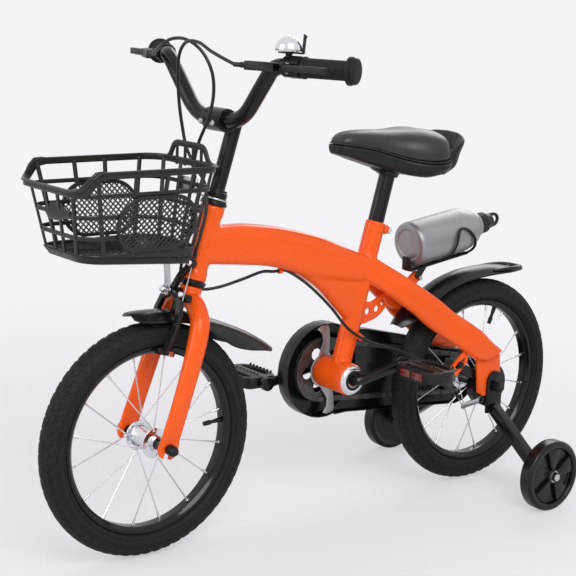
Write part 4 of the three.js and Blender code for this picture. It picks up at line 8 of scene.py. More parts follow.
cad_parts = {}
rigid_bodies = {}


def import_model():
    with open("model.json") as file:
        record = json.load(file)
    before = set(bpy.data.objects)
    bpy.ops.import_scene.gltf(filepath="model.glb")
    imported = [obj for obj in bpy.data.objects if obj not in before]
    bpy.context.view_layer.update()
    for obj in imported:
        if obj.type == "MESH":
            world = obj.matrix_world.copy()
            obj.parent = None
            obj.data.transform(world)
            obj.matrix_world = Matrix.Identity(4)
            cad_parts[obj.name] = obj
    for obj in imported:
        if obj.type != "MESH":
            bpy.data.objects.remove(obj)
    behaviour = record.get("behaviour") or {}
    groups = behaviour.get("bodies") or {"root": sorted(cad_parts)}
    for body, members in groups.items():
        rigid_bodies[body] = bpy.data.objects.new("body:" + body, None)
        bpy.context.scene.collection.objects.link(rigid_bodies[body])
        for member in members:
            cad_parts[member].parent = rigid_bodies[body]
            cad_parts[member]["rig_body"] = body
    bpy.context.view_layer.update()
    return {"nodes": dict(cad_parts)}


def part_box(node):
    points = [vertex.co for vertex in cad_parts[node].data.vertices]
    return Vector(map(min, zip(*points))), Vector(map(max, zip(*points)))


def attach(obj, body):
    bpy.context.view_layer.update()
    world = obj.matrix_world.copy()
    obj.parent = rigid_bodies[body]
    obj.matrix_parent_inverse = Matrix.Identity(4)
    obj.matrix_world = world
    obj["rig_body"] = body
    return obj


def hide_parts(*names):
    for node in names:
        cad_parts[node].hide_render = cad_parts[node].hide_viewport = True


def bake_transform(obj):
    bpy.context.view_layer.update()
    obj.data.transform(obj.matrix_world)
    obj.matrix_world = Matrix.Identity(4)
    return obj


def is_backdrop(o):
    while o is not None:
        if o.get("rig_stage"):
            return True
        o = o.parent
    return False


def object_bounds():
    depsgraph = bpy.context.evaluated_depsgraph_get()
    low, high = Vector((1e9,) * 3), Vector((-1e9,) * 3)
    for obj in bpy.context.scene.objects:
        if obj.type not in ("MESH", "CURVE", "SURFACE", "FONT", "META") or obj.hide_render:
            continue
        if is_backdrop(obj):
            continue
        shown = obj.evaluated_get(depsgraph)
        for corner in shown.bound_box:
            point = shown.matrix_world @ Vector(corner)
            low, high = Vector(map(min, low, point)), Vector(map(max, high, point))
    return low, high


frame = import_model()

# The camera, lamps, floor and pale studio background. The camera stands where the fitted view of the
# two wheels puts it, to the front left of the bicycle and a little above it.

camera_yaw = math.radians(38.44)
camera_pitch = math.radians(11.79)
camera_roll = math.radians(2.21)
camera_lens = 91.2
camera_place = Vector((1.4229, 1.6938, 0.8238))

camera_back = Vector((
    math.sin(camera_yaw) * math.cos(camera_pitch),
    math.cos(camera_yaw) * math.cos(camera_pitch),
    math.sin(camera_pitch),
))
level_right = (-camera_back).cross(Vector((0, 0, 1))).normalized()
level_up = level_right.cross(-camera_back)
right = level_right * math.cos(camera_roll) + level_up * math.sin(camera_roll)
up = level_up * math.cos(camera_roll) - level_right * math.sin(camera_roll)
camera = bpy.data.objects.new("camera", bpy.data.cameras.new("camera"))
camera.data.lens = camera_lens
camera.data.sensor_width = 36
camera_turn = Matrix((right, up, camera_back)).transposed().to_4x4()
camera.matrix_world = Matrix.Translation(camera_place) @ camera_turn
bpy.context.collection.objects.link(camera)
bpy.context.scene.camera = camera
bpy.context.scene.view_settings.view_transform = "Standard"


def lamp(name, place, target, power, size):
    light = bpy.data.lights.new(name, "AREA")
    light.energy = power
    light.size = size
    holder = bpy.data.objects.new(name, light)
    holder.location = place
    holder.rotation_euler = (Vector(target) - Vector(place)).to_track_quat("-Z", "Y").to_euler()
    bpy.context.collection.objects.link(holder)


lamp("key_softbox", place=(1.2, 2.6, 2.6), target=(0, 0, 0.3), power=70, size=2.0)
lamp("fill_softbox", place=(3.0, -0.6, 1.6), target=(0, 0, 0.35), power=24, size=2.0)
lamp("rim_softbox", place=(-2.4, -1.4, 2.2), target=(0, 0, 0.4), power=26, size=1.6)

backdrop_white = (0.905, 0.895, 0.925, 1)
world = bpy.data.worlds.new("studio")
bpy.context.scene.world = world
world.use_nodes = True
links = world.node_tree.links
background = world.node_tree.nodes["Background"]
paths = world.node_tree.nodes.new("ShaderNodeLightPath")
seen = world.node_tree.nodes.new("ShaderNodeMath")
seen.operation = "MAXIMUM"
links.new(paths.outputs["Is Camera Ray"], seen.inputs[0])
links.new(paths.outputs["Is Glossy Ray"], seen.inputs[1])
shade = world.node_tree.nodes.new("ShaderNodeMix")
shade.data_type = "RGBA"
shade.inputs["A"].default_value = (0.42, 0.42, 0.43, 1)
shade.inputs["B"].default_value = backdrop_white
links.new(seen.outputs["Value"], shade.inputs["Factor"])
links.new(shade.outputs["Result"], background.inputs["Color"])

floor_mesh = bmesh.new()
bmesh.ops.create_grid(floor_mesh, x_segments=1, y_segments=1, size=30)
floor_data = bpy.data.meshes.new("floor")
floor_mesh.to_mesh(floor_data)
floor = bpy.data.objects.new("floor", floor_data)
floor.location.z = -0.0002
bpy.context.collection.objects.link(floor)
floor_paint = bpy.data.materials.new("studio_floor")
floor_paint.use_nodes = True
floor_nodes = floor_paint.node_tree.nodes
floor_links = floor_paint.node_tree.links.new
floor_shader = floor_nodes["Principled BSDF"]
floor_shader.inputs["Base Color"].default_value = (0.93, 0.92, 0.95, 1)
floor_shader.inputs["Roughness"].default_value = 0.9
floor_shader.inputs["Specular IOR Level"].default_value = 0.1
floor_place = floor_nodes.new("ShaderNodeTexCoord")
from_middle = floor_nodes.new("ShaderNodeVectorMath")
from_middle.operation = "LENGTH"
floor_links(floor_place.outputs["Object"], from_middle.inputs[0])
paper = floor_nodes.new("ShaderNodeMapRange")
paper.interpolation_type = "SMOOTHSTEP"
paper.inputs["From Min"].default_value = 0.55
paper.inputs["From Max"].default_value = 1.9
paper.inputs["To Min"].default_value = 0.55
paper.inputs["To Max"].default_value = 1.0
floor_links(from_middle.outputs["Value"], paper.inputs["Value"])
# Painted shade: the glow that the camera sees on the floor is painted greyer toward the camera and paler away
# from it, a fall-off of light painted into the paper's colour.
toward_camera = floor_nodes.new("ShaderNodeVectorMath")
toward_camera.operation = "DOT_PRODUCT"
toward_camera.inputs[1].default_value = (0.64, 0.77, 0)
floor_links(floor_place.outputs["Object"], toward_camera.inputs[0])
painted_shade_nearness = floor_nodes.new("ShaderNodeMapRange")
painted_shade_nearness.inputs["From Min"].default_value = -1.2
painted_shade_nearness.inputs["From Max"].default_value = 0.9
floor_links(toward_camera.outputs["Value"], painted_shade_nearness.inputs["Value"])
paper_painted_shade = floor_nodes.new("ShaderNodeMix")
paper_painted_shade.data_type = "RGBA"
paper_painted_shade.inputs["A"].default_value = backdrop_white
paper_painted_shade.inputs["B"].default_value = (0.80, 0.79, 0.83, 1)
floor_links(painted_shade_nearness.outputs["Result"], paper_painted_shade.inputs["Factor"])
paper_light = floor_nodes.new("ShaderNodeEmission")
floor_links(paper_painted_shade.outputs["Result"], paper_light.inputs["Color"])
floor_path = floor_nodes.new("ShaderNodeLightPath")
seen_paper = floor_nodes.new("ShaderNodeMath")
seen_paper.operation = "MULTIPLY"
floor_links(paper.outputs["Result"], seen_paper.inputs[0])
floor_links(floor_path.outputs["Is Camera Ray"], seen_paper.inputs[1])
floor_mix = floor_nodes.new("ShaderNodeMixShader")
floor_links(seen_paper.outputs["Value"], floor_mix.inputs["Fac"])
floor_links(floor_shader.outputs["BSDF"], floor_mix.inputs[1])
floor_links(paper_light.outputs["Emission"], floor_mix.inputs[2])
floor_links(floor_mix.outputs["Shader"], floor_nodes["Material Output"].inputs["Surface"])
floor_data.materials.append(floor_paint)
floor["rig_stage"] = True

# The brake cables: a smooth black plastic casing from each lever, the left one down to the front calliper and
# the right one along the frame to the band brake, each with its bare steel wire at the end. The rear casing
# bends between the handlebar and the frame.


def surface(name, colour, roughness, metallic=0.0, tone=0.12, tone_scale=30, grain=0.0, grain_scale=900,
            coat=0.0, coat_roughness=0.1, scuff=0.0, cells=False, stretch=(1, 1, 1), shine=0.5):
    """A finish with uneven tone and gloss, a fine raised grain and paler scuffs where edges rub."""
    material = bpy.data.materials.new(name)
    material.use_nodes = True
    nodes = material.node_tree.nodes
    join = material.node_tree.links.new
    shader = nodes["Principled BSDF"]
    shader.inputs["Metallic"].default_value = metallic
    shader.inputs["Specular IOR Level"].default_value = shine
    shader.inputs["Coat Weight"].default_value = coat
    shader.inputs["Coat Roughness"].default_value = coat_roughness
    place = nodes.new("ShaderNodeTexCoord")
    spread = nodes.new("ShaderNodeMapping")
    spread.inputs["Scale"].default_value = stretch
    join(place.outputs["Object"], spread.inputs["Vector"])
    cloud = nodes.new("ShaderNodeTexNoise")
    cloud.inputs["Scale"].default_value = tone_scale
    cloud.inputs["Detail"].default_value = 5
    join(spread.outputs["Vector"], cloud.inputs["Vector"])
    tones = nodes.new("ShaderNodeValToRGB")
    tones.color_ramp.elements[0].position = 0.3
    tones.color_ramp.elements[1].position = 0.7
    tones.color_ramp.elements[0].color = (*[part * (1 - tone) for part in colour], 1)
    tones.color_ramp.elements[1].color = (*[min(part * (1 + tone), 1) for part in colour], 1)
    join(cloud.outputs["Fac"], tones.inputs["Fac"])
    gloss = nodes.new("ShaderNodeMapRange")
    gloss.inputs["To Min"].default_value = roughness * 0.82
    gloss.inputs["To Max"].default_value = min(roughness * 1.2, 1)
    join(cloud.outputs["Fac"], gloss.inputs["Value"])
    join(gloss.outputs["Result"], shader.inputs["Roughness"])
    worn = tones.outputs["Color"]
    if scuff:
        rub = nodes.new("ShaderNodeTexNoise")
        rub.inputs["Scale"].default_value = 160
        rub.inputs["Detail"].default_value = 8
        join(place.outputs["Object"], rub.inputs["Vector"])
        edge = nodes.new("ShaderNodeNewGeometry")
        marks = nodes.new("ShaderNodeMath")
        marks.operation = "MULTIPLY"
        join(edge.outputs["Pointiness"], marks.inputs[0])
        join(rub.outputs["Fac"], marks.inputs[1])
        limit = nodes.new("ShaderNodeMapRange")
        limit.inputs["From Min"].default_value = 0.3
        limit.inputs["From Max"].default_value = 0.42
        limit.inputs["To Max"].default_value = scuff
        join(marks.outputs["Value"], limit.inputs["Value"])
        paler = nodes.new("ShaderNodeMix")
        paler.data_type = "RGBA"
        paler.inputs["B"].default_value = (*[min(part * 1.6 + 0.08, 1) for part in colour], 1)
        join(limit.outputs["Result"], paler.inputs["Factor"])
        join(worn, paler.inputs["A"])
        worn = paler.outputs["Result"]
    join(worn, shader.inputs["Base Color"])
    if grain:
        texture = nodes.new("ShaderNodeTexVoronoi" if cells else "ShaderNodeTexNoise")
        texture.inputs["Scale"].default_value = grain_scale
        join(spread.outputs["Vector"], texture.inputs["Vector"])
        raised = nodes.new("ShaderNodeBump")
        raised.inputs["Strength"].default_value = grain
        raised.inputs["Distance"].default_value = 0.0004
        join(texture.outputs["Distance" if cells else "Fac"], raised.inputs["Height"])
        join(raised.outputs["Normal"], shader.inputs["Normal"])
    return material


def shown(name, shape, material, body, nodes, angle=35, turn_out=True):
    """Makes a finished piece of a bmesh, in place of its CAD nodes, riding on its body."""
    if turn_out:
        bmesh.ops.recalc_face_normals(shape, faces=shape.faces)
    mesh = bpy.data.meshes.new(name)
    shape.to_mesh(mesh)
    shape.free()
    mesh.shade_smooth()
    mesh.set_sharp_from_angle(angle=math.radians(angle))
    mesh.materials.append(material)
    piece = bpy.data.objects.new(name, mesh)
    bpy.context.collection.objects.link(piece)
    if body:
        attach(piece, body)
    if nodes:
        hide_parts(*nodes)
    return piece


def flow(points, steps):
    """A smooth line through points, with so many steps between each two of them."""
    points = [Vector(point) for point in points]
    line = []
    for i in range(len(points) - 1):
        before = points[max(i - 1, 0)]
        after = points[min(i + 2, len(points) - 1)]
        start, end = points[i], points[i + 1]
        for step in range(steps):
            t = step / steps
            line.append(0.5 * (
                2 * start + (end - before) * t + (2 * before - 5 * start + 4 * end - after) * t ** 2
                + (3 * start - before - 3 * end + after) * t ** 3
            ))
    line.append(points[-1])
    return line


def ring(shape, centre, hold, other, half_hold, half_other, sides, power=2.0):
    """A closed ring of vertices round a centre: an ellipse, or squarer with a higher power."""
    made = []
    for i in range(sides):
        angle = 2 * math.pi * i / sides
        c, s = math.cos(angle), math.sin(angle)
        u = math.copysign(abs(c) ** (2 / power), c) * half_hold
        v = math.copysign(abs(s) ** (2 / power), s) * half_other
        made.append(shape.verts.new(centre + hold * u + other * v))
    return made


def skin(shape, rings, closed=False):
    """Bridges ring to ring, and closes the two ends or joins the last ring to the first."""
    loops = []
    for made in rings:
        loops.append([shape.edges.new((made[i], made[(i + 1) % len(made)])) for i in range(len(made))])
    pairs = list(zip(loops, loops[1:]))
    if closed:
        pairs.append((loops[-1], loops[0]))
    for first, second in pairs:
        bmesh.ops.bridge_loops(shape, edges=first + second)
    if not closed:
        shape.faces.new(rings[0])
        shape.faces.new(rings[-1])


def round_tube(shape, line, radius, sides=12):
    """A round tube along a line, turned as little as it can be from ring to ring."""
    run = (line[1] - line[0]).normalized()
    hold = run.orthogonal().normalized()
    rings = []
    for i, centre in enumerate(line):
        after = line[min(i + 1, len(line) - 1)]
        before = line[max(i - 1, 0)]
        run = (after - before).normalized()
        hold = (hold - run * hold.dot(run)).normalized()
        rings.append(ring(shape, centre, hold, run.cross(hold), radius, radius, sides))
    skin(shape, rings)


cable_radius = 0.0024
ferrule_radius = 1.35 * cable_radius
ferrule_length = 4 * cable_radius
wire_radius = 0.0008
cable_casing = surface(
    "cable_casing", (0.008, 0.008, 0.0085), 0.38, tone=0.2, grain=0.15, grain_scale=1400, coat=0.2, shine=0.3,
)
bare_wire = surface(
    "bare_wire", (0.55, 0.56, 0.58), 0.28, metallic=1.0, tone_scale=900, grain=0.5, grain_scale=2600,
)

front_cable_route = [
    (0.2614, 0.1096, 0.7153), (0.265, 0.1024, 0.7153), (0.277, 0.068, 0.729), (0.284, 0.044, 0.741),
    (0.285, 0.016, 0.740), (0.280, -0.008, 0.722), (0.271, -0.024, 0.692), (0.261, -0.034, 0.652),
    (0.253, -0.036, 0.616), (0.249, -0.030, 0.588), (0.246, -0.012, 0.564), (0.246, 0.010, 0.546),
    (0.250, 0.024, 0.524), (0.256, 0.030, 0.498), (0.2706, 0.0324, 0.4545), (0.2752, 0.0324, 0.4392),
]
rear_upper_route = [
    (0.2614, -0.1096, 0.7153), (0.265, -0.1024, 0.7153), (0.274, -0.066, 0.729), (0.272, -0.042, 0.741),
    (0.264, -0.016, 0.742), (0.252, 0.006, 0.727), (0.242, 0.018, 0.698), (0.239, 0.018, 0.664),
    (0.241, 0.008, 0.630), (0.243, -0.008, 0.600), (0.242, -0.020, 0.572), (0.236, -0.027, 0.548),
    (0.228, -0.029, 0.524), (0.2328, -0.0255, 0.4971), (0.2368, -0.0255, 0.4838),
]
rear_lower_route = [
    (0.2408, -0.0255, 0.4702), (0.2579, -0.0255, 0.4124), (0.246, -0.024, 0.392), (0.226, -0.018, 0.382),
    (0.200, -0.010, 0.384), (0.165, -0.003, 0.393), (0.130, 0.000, 0.402), (0.1091, 0, 0.4007),
    (0.0951, 0, 0.4004), (0.0811, 0, 0.3990), (0.062, 0.0145, 0.3850), (0.040, 0.0215, 0.366),
    (0.010, 0.024, 0.338), (-0.014, 0.0245, 0.312), (-0.033, 0.024, 0.296), (-0.062, 0.028, 0.279),
    (-0.096, 0.036, 0.266), (-0.130, 0.044, 0.254), (-0.160, 0.051, 0.238), (-0.190, 0.055, 0.214),
    (-0.214, 0.056, 0.190), (-0.2411, 0.0509, 0.1765), (-0.2488, 0.0509, 0.1648),
]
front_wire_ends = [(0.2746, 0.0324, 0.4413), (0.2924, 0.0324, 0.3809)]
rear_wire_ends = [(-0.2476, 0.0509, 0.1666), (-0.2645, 0.0509, 0.1408)]


def casing(name, route, body, nodes):
    """A cable's casing along its route, with a wider ferrule at each end."""
    shape = bmesh.new()
    round_tube(shape, flow(route, 6), cable_radius)
    for end, inner in ((0, 1), (-1, -2)):
        tip = Vector(route[end])
        into = (Vector(route[inner]) - tip).normalized()
        round_tube(shape, [tip, tip + into * ferrule_length], ferrule_radius, 16)
    return shown(name, shape, cable_casing, body, nodes)


def wire(name, ends, body):
    shape = bmesh.new()
    round_tube(shape, [Vector(end) for end in ends], wire_radius, 8)
    shown(name, shape, bare_wire, body, ())


casing("front_cable", front_cable_route, "steering", ["front_brake_cable"])
rear_cable = casing(
    "rear_cable", rear_upper_route + rear_lower_route, None,
    ["rear_brake_cable_upper", "rear_brake_cable_lower"],
)
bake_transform(rear_cable)
wire("front_wire", front_wire_ends, "steering")
wire("rear_wire", rear_wire_ends, "frame")

# The frame: orange welded steel. A deep arched beam runs from the head tube to the seat tube, a gusset fills
# the corner below it, and two deep stays reach back to plates that hold the rear axle.

weld_grid = 0.0019
orange_paint = surface(
    "orange_lacquer", (0.97, 0.112, 0.006), 0.28, tone=0.03, tone_scale=18, grain=0.03, grain_scale=420,
    coat=0.3, coat_roughness=0.05, scuff=0.05, shine=0.18,
)


def placed(pairs):
    """Points of the side view, in the bicycle's middle plane."""
    return [Vector((x, 0, z)) for x, z in pairs]


def rod(shape, start, end, radius, end_radius=None, sides=40):
    """A round bar between two points, straight or tapered."""
    start, end = Vector(start), Vector(end)
    run = (end - start).normalized()
    hold = run.orthogonal().normalized()
    far = radius if end_radius is None else end_radius
    skin(shape, [
        ring(shape, start, hold, run.cross(hold), radius, radius, sides),
        ring(shape, end, hold, run.cross(hold), far, far, sides),
    ])


def band(shape, top, low, sides_at, half_width, steps=5, sides=40, power=3.4):
    """A deep beam of rounded oblong section between an upper and a lower outline, at places to the side."""
    upper, lower = flow(top, steps), flow(low, steps)
    shifts = [value.x for value in flow([(value, 0, 0) for value in sides_at], steps)]
    rings = []
    for high, under, shift in zip(upper, lower, shifts):
        centre = (high + under) / 2
        hold = (high - under) / 2
        centre.y = shift
        rings.append(ring(
            shape, centre, hold.normalized(), Vector((0, 1, 0)), hold.length, half_width, sides, power,
        ))
    skin(shape, rings)


def welded(shape, name, grid, rounds=8):
    """Joins overlapping forms into one skin, with the joints blended as weld fillets are."""
    bmesh.ops.recalc_face_normals(shape, faces=shape.faces)
    mesh = bpy.data.meshes.new(name)
    shape.to_mesh(mesh)
    shape.free()
    holder = bpy.data.objects.new(name, mesh)
    bpy.context.collection.objects.link(holder)
    remesh = holder.modifiers.new("join", "REMESH")
    remesh.mode = "VOXEL"
    remesh.voxel_size = grid
    soften = holder.modifiers.new("soften", "SMOOTH")
    soften.factor = 0.5
    soften.iterations = rounds
    made = bmesh.new()
    made.from_object(holder, bpy.context.evaluated_depsgraph_get())
    bpy.data.objects.remove(holder)
    return made


def prism(shape, outline, near, far, holes=(), frame_of=None, bevel=0.0006):
    """A flat plate with rounded edges and holes, cut to an outline in the side view or in another frame."""
    plate = bmesh.new()
    rim = [plate.verts.new((x, near, z)) for x, z in outline]
    edges = [plate.edges.new((rim[i], rim[(i + 1) % len(rim)])) for i in range(len(rim))]
    for hole in holes:
        circle = [plate.verts.new((x, near, z)) for x, z in hole]
        edges += [plate.edges.new((circle[i], circle[(i + 1) % len(circle)])) for i in range(len(circle))]
    bmesh.ops.triangle_fill(plate, use_beauty=True, edges=edges)
    bmesh.ops.dissolve_limit(plate, angle_limit=0.01, verts=plate.verts, edges=plate.edges)
    grown = bmesh.ops.extrude_face_region(plate, geom=list(plate.faces))
    moved = [item for item in grown["geom"] if isinstance(item, bmesh.types.BMVert)]
    bmesh.ops.translate(plate, verts=moved, vec=(0, far - near, 0))
    bmesh.ops.recalc_face_normals(plate, faces=plate.faces)
    sharp = [edge for edge in plate.edges if len(edge.link_faces) == 2 and edge.calc_face_angle() > 0.9]
    bmesh.ops.bevel(
        plate, geom=sharp, offset=bevel, segments=2, profile=0.5, affect="EDGES", material=-1,
        clamp_overlap=True,
    )
    if frame_of:
        bmesh.ops.transform(plate, matrix=frame_of, verts=plate.verts)
    made = bpy.data.meshes.new("plate")
    plate.to_mesh(made)
    plate.free()
    shape.from_mesh(made)
    bpy.data.meshes.remove(made)


def circle_points(x, z, radius, sides=28, start=0.0, end=360.0):
    """Points of a circle, or of an arc from one angle in degrees to another."""
    count = sides if end - start >= 360 else sides + 1
    span = math.radians(end - start) / sides
    turns = [math.radians(start) + i * span for i in range(count)]
    return [(x + radius * math.cos(turn), z + radius * math.sin(turn)) for turn in turns]


rear_axle = Vector((-0.326, 0, 0.175))
crank_axis = Vector((-0.029, 0, 0.221))
steer_up = Vector((-0.284015, 0, 0.95882))
steer_ahead = Vector((0.95882, 0, 0.284015))
steer_foot = Vector((0.32073, 0, 0.17344))
seat_up = Vector((-0.253758, 0, 0.967268))
seat_ahead = Vector((0.967268, 0, 0.253758))


def steer_point(high, ahead=0.0, left=0.0):
    return steer_foot + steer_up * high + steer_ahead * ahead + Vector((0, left, 0))


def seat_point(high, ahead=0.0, left=0.0):
    return crank_axis + seat_up * high + seat_ahead * ahead + Vector((0, left, 0))


beam_top = [
    (0.2319, 0.4774), (0.221, 0.4778), (0.1724, 0.4778), (0.1359, 0.4738), (0.098, 0.4672), (0.0599, 0.4578),
    (0.0198, 0.4462), (-0.0202, 0.4304), (-0.0551, 0.4171), (-0.0803, 0.4071),
]
beam_low = [
    (0.24, 0.4267), (0.2294, 0.4232), (0.1698, 0.4168), (0.1239, 0.4108), (0.0858, 0.4012), (0.0557, 0.3892),
    (0.02, 0.3802), (-0.0201, 0.374), (-0.0552, 0.3699), (-0.0759, 0.3669),
]
stay_top = [
    (-0.0741, 0.4131), (-0.0901, 0.4033), (-0.1202, 0.3852), (-0.1491, 0.3675), (-0.1761, 0.3499),
    (-0.203, 0.3318), (-0.231, 0.3107), (-0.2619, 0.2915), (-0.2899, 0.2729), (-0.3118, 0.254),
    (-0.3373, 0.2359),
]
stay_low = [
    (-0.0638, 0.372), (-0.078, 0.3658), (-0.1001, 0.3511), (-0.128, 0.3309), (-0.1551, 0.3110),
    (-0.176, 0.2931), (-0.2031, 0.2746), (-0.2281, 0.259), (-0.2522, 0.243), (-0.275, 0.228),
    (-0.2962, 0.2232),
]
stay_side = [0.0089, 0.0142, 0.0221, 0.0294, 0.0357, 0.0404, 0.0451, 0.0509, 0.0546, 0.0562, 0.0562]
gusset_top = [(0.0654, 0.4127), (0.035, 0.411), (-0.0001, 0.4101), (-0.04, 0.398), (-0.0745, 0.3828)]
gusset_low = [(0.0605, 0.3905), (0.0240, 0.3680), (-0.0118, 0.3355), (-0.0400, 0.3075), (-0.0620, 0.2875)]

head_foot = 0.238
head_top = 0.349
head_radius = 0.0168
collar_radius = 0.0182
collar_height = 0.013
beam_half_width = 0.0188
gusset_half_width = 0.0128
stay_half_width = 0.0098
seat_tube_radius = 0.0158
seat_tube_foot = 0.012
seat_tube_top = 0.25
clamp_ear_height = 0.2415
clamp_ear_reach = 0.026
clamp_ear_radius = 0.0084
crank_shell_radius = 0.0253
crank_shell_half = 0.034
bridge_place = Vector((-0.1596, 0, 0.3463))
bridge_half = 0.0357
bridge_radius = 0.008

tubes = bmesh.new()
rod(tubes, steer_point(head_foot), steer_point(head_top), head_radius)
rod(tubes, steer_point(head_foot), steer_point(head_foot + collar_height), collar_radius)
rod(tubes, steer_point(head_top - collar_height), steer_point(head_top), collar_radius)
band(tubes, placed(beam_top), placed(beam_low), [0.0] * len(beam_top), beam_half_width)
band(tubes, placed(gusset_top), placed(gusset_low), [0.0] * len(gusset_top), gusset_half_width, power=3.0)
for side in (1, -1):
    band(tubes, placed(stay_top), placed(stay_low), [side * value for value in stay_side], stay_half_width)
rod(tubes, seat_point(seat_tube_foot), seat_point(seat_tube_top), seat_tube_radius)
shell_reach = Vector((0, crank_shell_half, 0))
rod(tubes, crank_axis - shell_reach, crank_axis + shell_reach, crank_shell_radius, sides=56)
rod(tubes, seat_point(clamp_ear_height), seat_point(clamp_ear_height, -clamp_ear_reach), clamp_ear_radius)
bridge_reach = Vector((0, bridge_half, 0))
rod(tubes, bridge_place - bridge_reach, bridge_place + bridge_reach, bridge_radius)
frame_skin = welded(tubes, "frame_tubes", weld_grid)
shown("frame_tubes", frame_skin, orange_paint, "frame", ["frame"], angle=70)

frame_plates = bmesh.new()
axle_x, axle_z = rear_axle.x, rear_axle.z
axle_slot_radius = 0.005
plate_inner = 0.0502
plate_outer = 0.0548
axle_plate = [
    (axle_x + 0.0425, axle_z + 0.05), (axle_x - 0.010, axle_z + 0.0625), (axle_x - 0.0175, axle_z + 0.005),
    (axle_x, axle_z + axle_slot_radius),
    *circle_points(axle_x, axle_z, axle_slot_radius, 8, 90, -90)[1:-1],
    (axle_x - 0.015, axle_z - axle_slot_radius), (axle_x - 0.010, axle_z - 0.015),
    (axle_x + 0.0225, axle_z - 0.015), (axle_x + 0.035, axle_z - 0.0075),
]
for side in (1, -1):
    prism(frame_plates, axle_plate, side * plate_inner, side * plate_outer)
centre_plate = [
    (-0.0745, 0.3368), (-0.0901, 0.333), (-0.1181, 0.345), (-0.1393, 0.3565), (-0.1658, 0.3404),
    (-0.1595, 0.3225), (-0.1521, 0.3149), (-0.138, 0.3171), (-0.125, 0.325), (-0.112, 0.3122), (-0.1, 0.3052),
    (-0.0801, 0.3001), (-0.0644, 0.2975),
]
centre_holes = ((-0.083, 0.3188), (-0.1022, 0.3208), (-0.1154, 0.3304))
prism(frame_plates, centre_plate, -0.002, 0.002, [circle_points(x, z, 0.0052) for x, z in centre_holes])
shown("frame_plates", frame_plates, orange_paint, "frame", [])

# The frame's small parts: welded to it are the upright ear with its bolt hole that carries the bottle, and
# the slotted ring on the left stay for the brake's torque arm. A cable stop and a clip guide the rear cable.


def slot_points(x, z, half, round_radius, tilt):
    """A long hole's outline: two half circles at the ends of a tilted run."""
    run = half - round_radius
    c, s = math.cos(math.radians(tilt)), math.sin(math.radians(tilt))
    ends = circle_points(run, 0, round_radius, 10, -90, 90)
    ends += circle_points(-run, 0, round_radius, 10, 90, 270)
    return [(x + u * c - v * s, z + u * s + v * c) for u, v in ends]


small_parts = bmesh.new()
ear_bottom, ear_top = bridge_place, Vector((-0.1896, 0, 0.3692))
ear_run = (ear_top - ear_bottom).normalized()
ear_across = Vector((ear_run.z, 0, -ear_run.x))
ear_outline = [
    ear_bottom - ear_run * 0.002 + ear_across * 0.009, ear_top - ear_run * 0.003 + ear_across * 0.009,
    ear_top + ear_run * 0.001 + ear_across * 0.0065, ear_top + ear_run * 0.001 - ear_across * 0.0065,
    ear_top - ear_run * 0.003 - ear_across * 0.009, ear_bottom - ear_run * 0.002 - ear_across * 0.009,
]
ear_hole = circle_points(ear_top.x, ear_top.z - 0.0054, 0.0032)
prism(small_parts, [(point.x, point.z) for point in ear_outline], -0.003, 0.003, [ear_hole], bevel=0.0008)
ring_x, ring_z, ring_tilt = -0.2445, 0.2217, 138
ring_outside = slot_points(ring_x, ring_z, 0.0215, 0.0105, ring_tilt)
ring_inside = slot_points(ring_x, ring_z, 0.0150, 0.0042, ring_tilt)
prism(small_parts, ring_outside, 0.0501, 0.0539, [ring_inside])
ring_foot = [
    (ring_x + 0.0085, ring_z + 0.0055), (-0.2571, 0.2461), (-0.2643, 0.2405),
    (ring_x + 0.0015, ring_z + 0.0015),
]
prism(small_parts, ring_foot, 0.0502, 0.0538)
stop_aim = Vector((0.83, 0.1, 0.55)).normalized()
stop_place = Vector((-0.0553, 0.0174, 0.2839))
rod(small_parts, stop_place - stop_aim * 0.005, stop_place + stop_aim * 0.005, 0.005, sides=24)
clip_place = Vector((0.0951, 0, 0.4004))
rod(small_parts, clip_place - Vector((0.0027, 0, 0)), clip_place + Vector((0.0027, 0, 0)), 0.0043, sides=20)
rod(small_parts, clip_place + Vector((0, 0, 0.003)), clip_place + Vector((0, 0, 0.018)), 0.0021, sides=16)
shown("frame_lugs", small_parts, orange_paint, "frame", [])

# The fork: the same orange lacquer on a crown that spreads into two oval blades, which end in slotted plates
# for the front axle. Its steerer turns in the head tube between two black cups.

black_paint = surface(
    "black_powder_coat", (0.005, 0.005, 0.0055), 0.26, tone=0.25, grain=0.06, grain_scale=1500, coat=0.16,
    coat_roughness=0.1, scuff=0.1, shine=0.22,
)
fork_crown = 0.210
fork_half_spacing = 0.054
fork_tube = 0.0135
fork_offset = 0.0055
steerer_radius = 0.0125
steerer_top = 0.372
leg_shares = [
    (1, 0, 0, 1, 1), (0.985, 0.3, 0, 1, 1), (0.905, 0.69, 0, 1.02, 1), (0.82, 0.85, 0, 1.04, 0.98),
    (0.62, 0.93, 0.05, 1.04, 0.84), (0.31, 0.98, 0.5, 1.1, 0.5), (0.12, 1, 0.9, 1.2, 0.24),
    (0.04, 1, 1, 1.2, 0.22),
]


def sweep(shape, line, hold, halves_hold, halves_other, sides=24, power=2.0, closed=False):
    """A bar along a line, oval in section, with one axis of the section held near a direction."""
    rings = []
    hold = Vector(hold)
    for i, centre in enumerate(line):
        before = line[i - 1] if i or closed else line[0]
        after = line[(i + 1) % len(line)] if i + 1 < len(line) or closed else line[-1]
        run = (after - before).normalized()
        other = run.cross(hold).normalized()
        held = other.cross(run).normalized()
        rings.append(ring(shape, centre, held, other, halves_hold[i], halves_other[i], sides, power))
    skin(shape, rings, closed=closed)


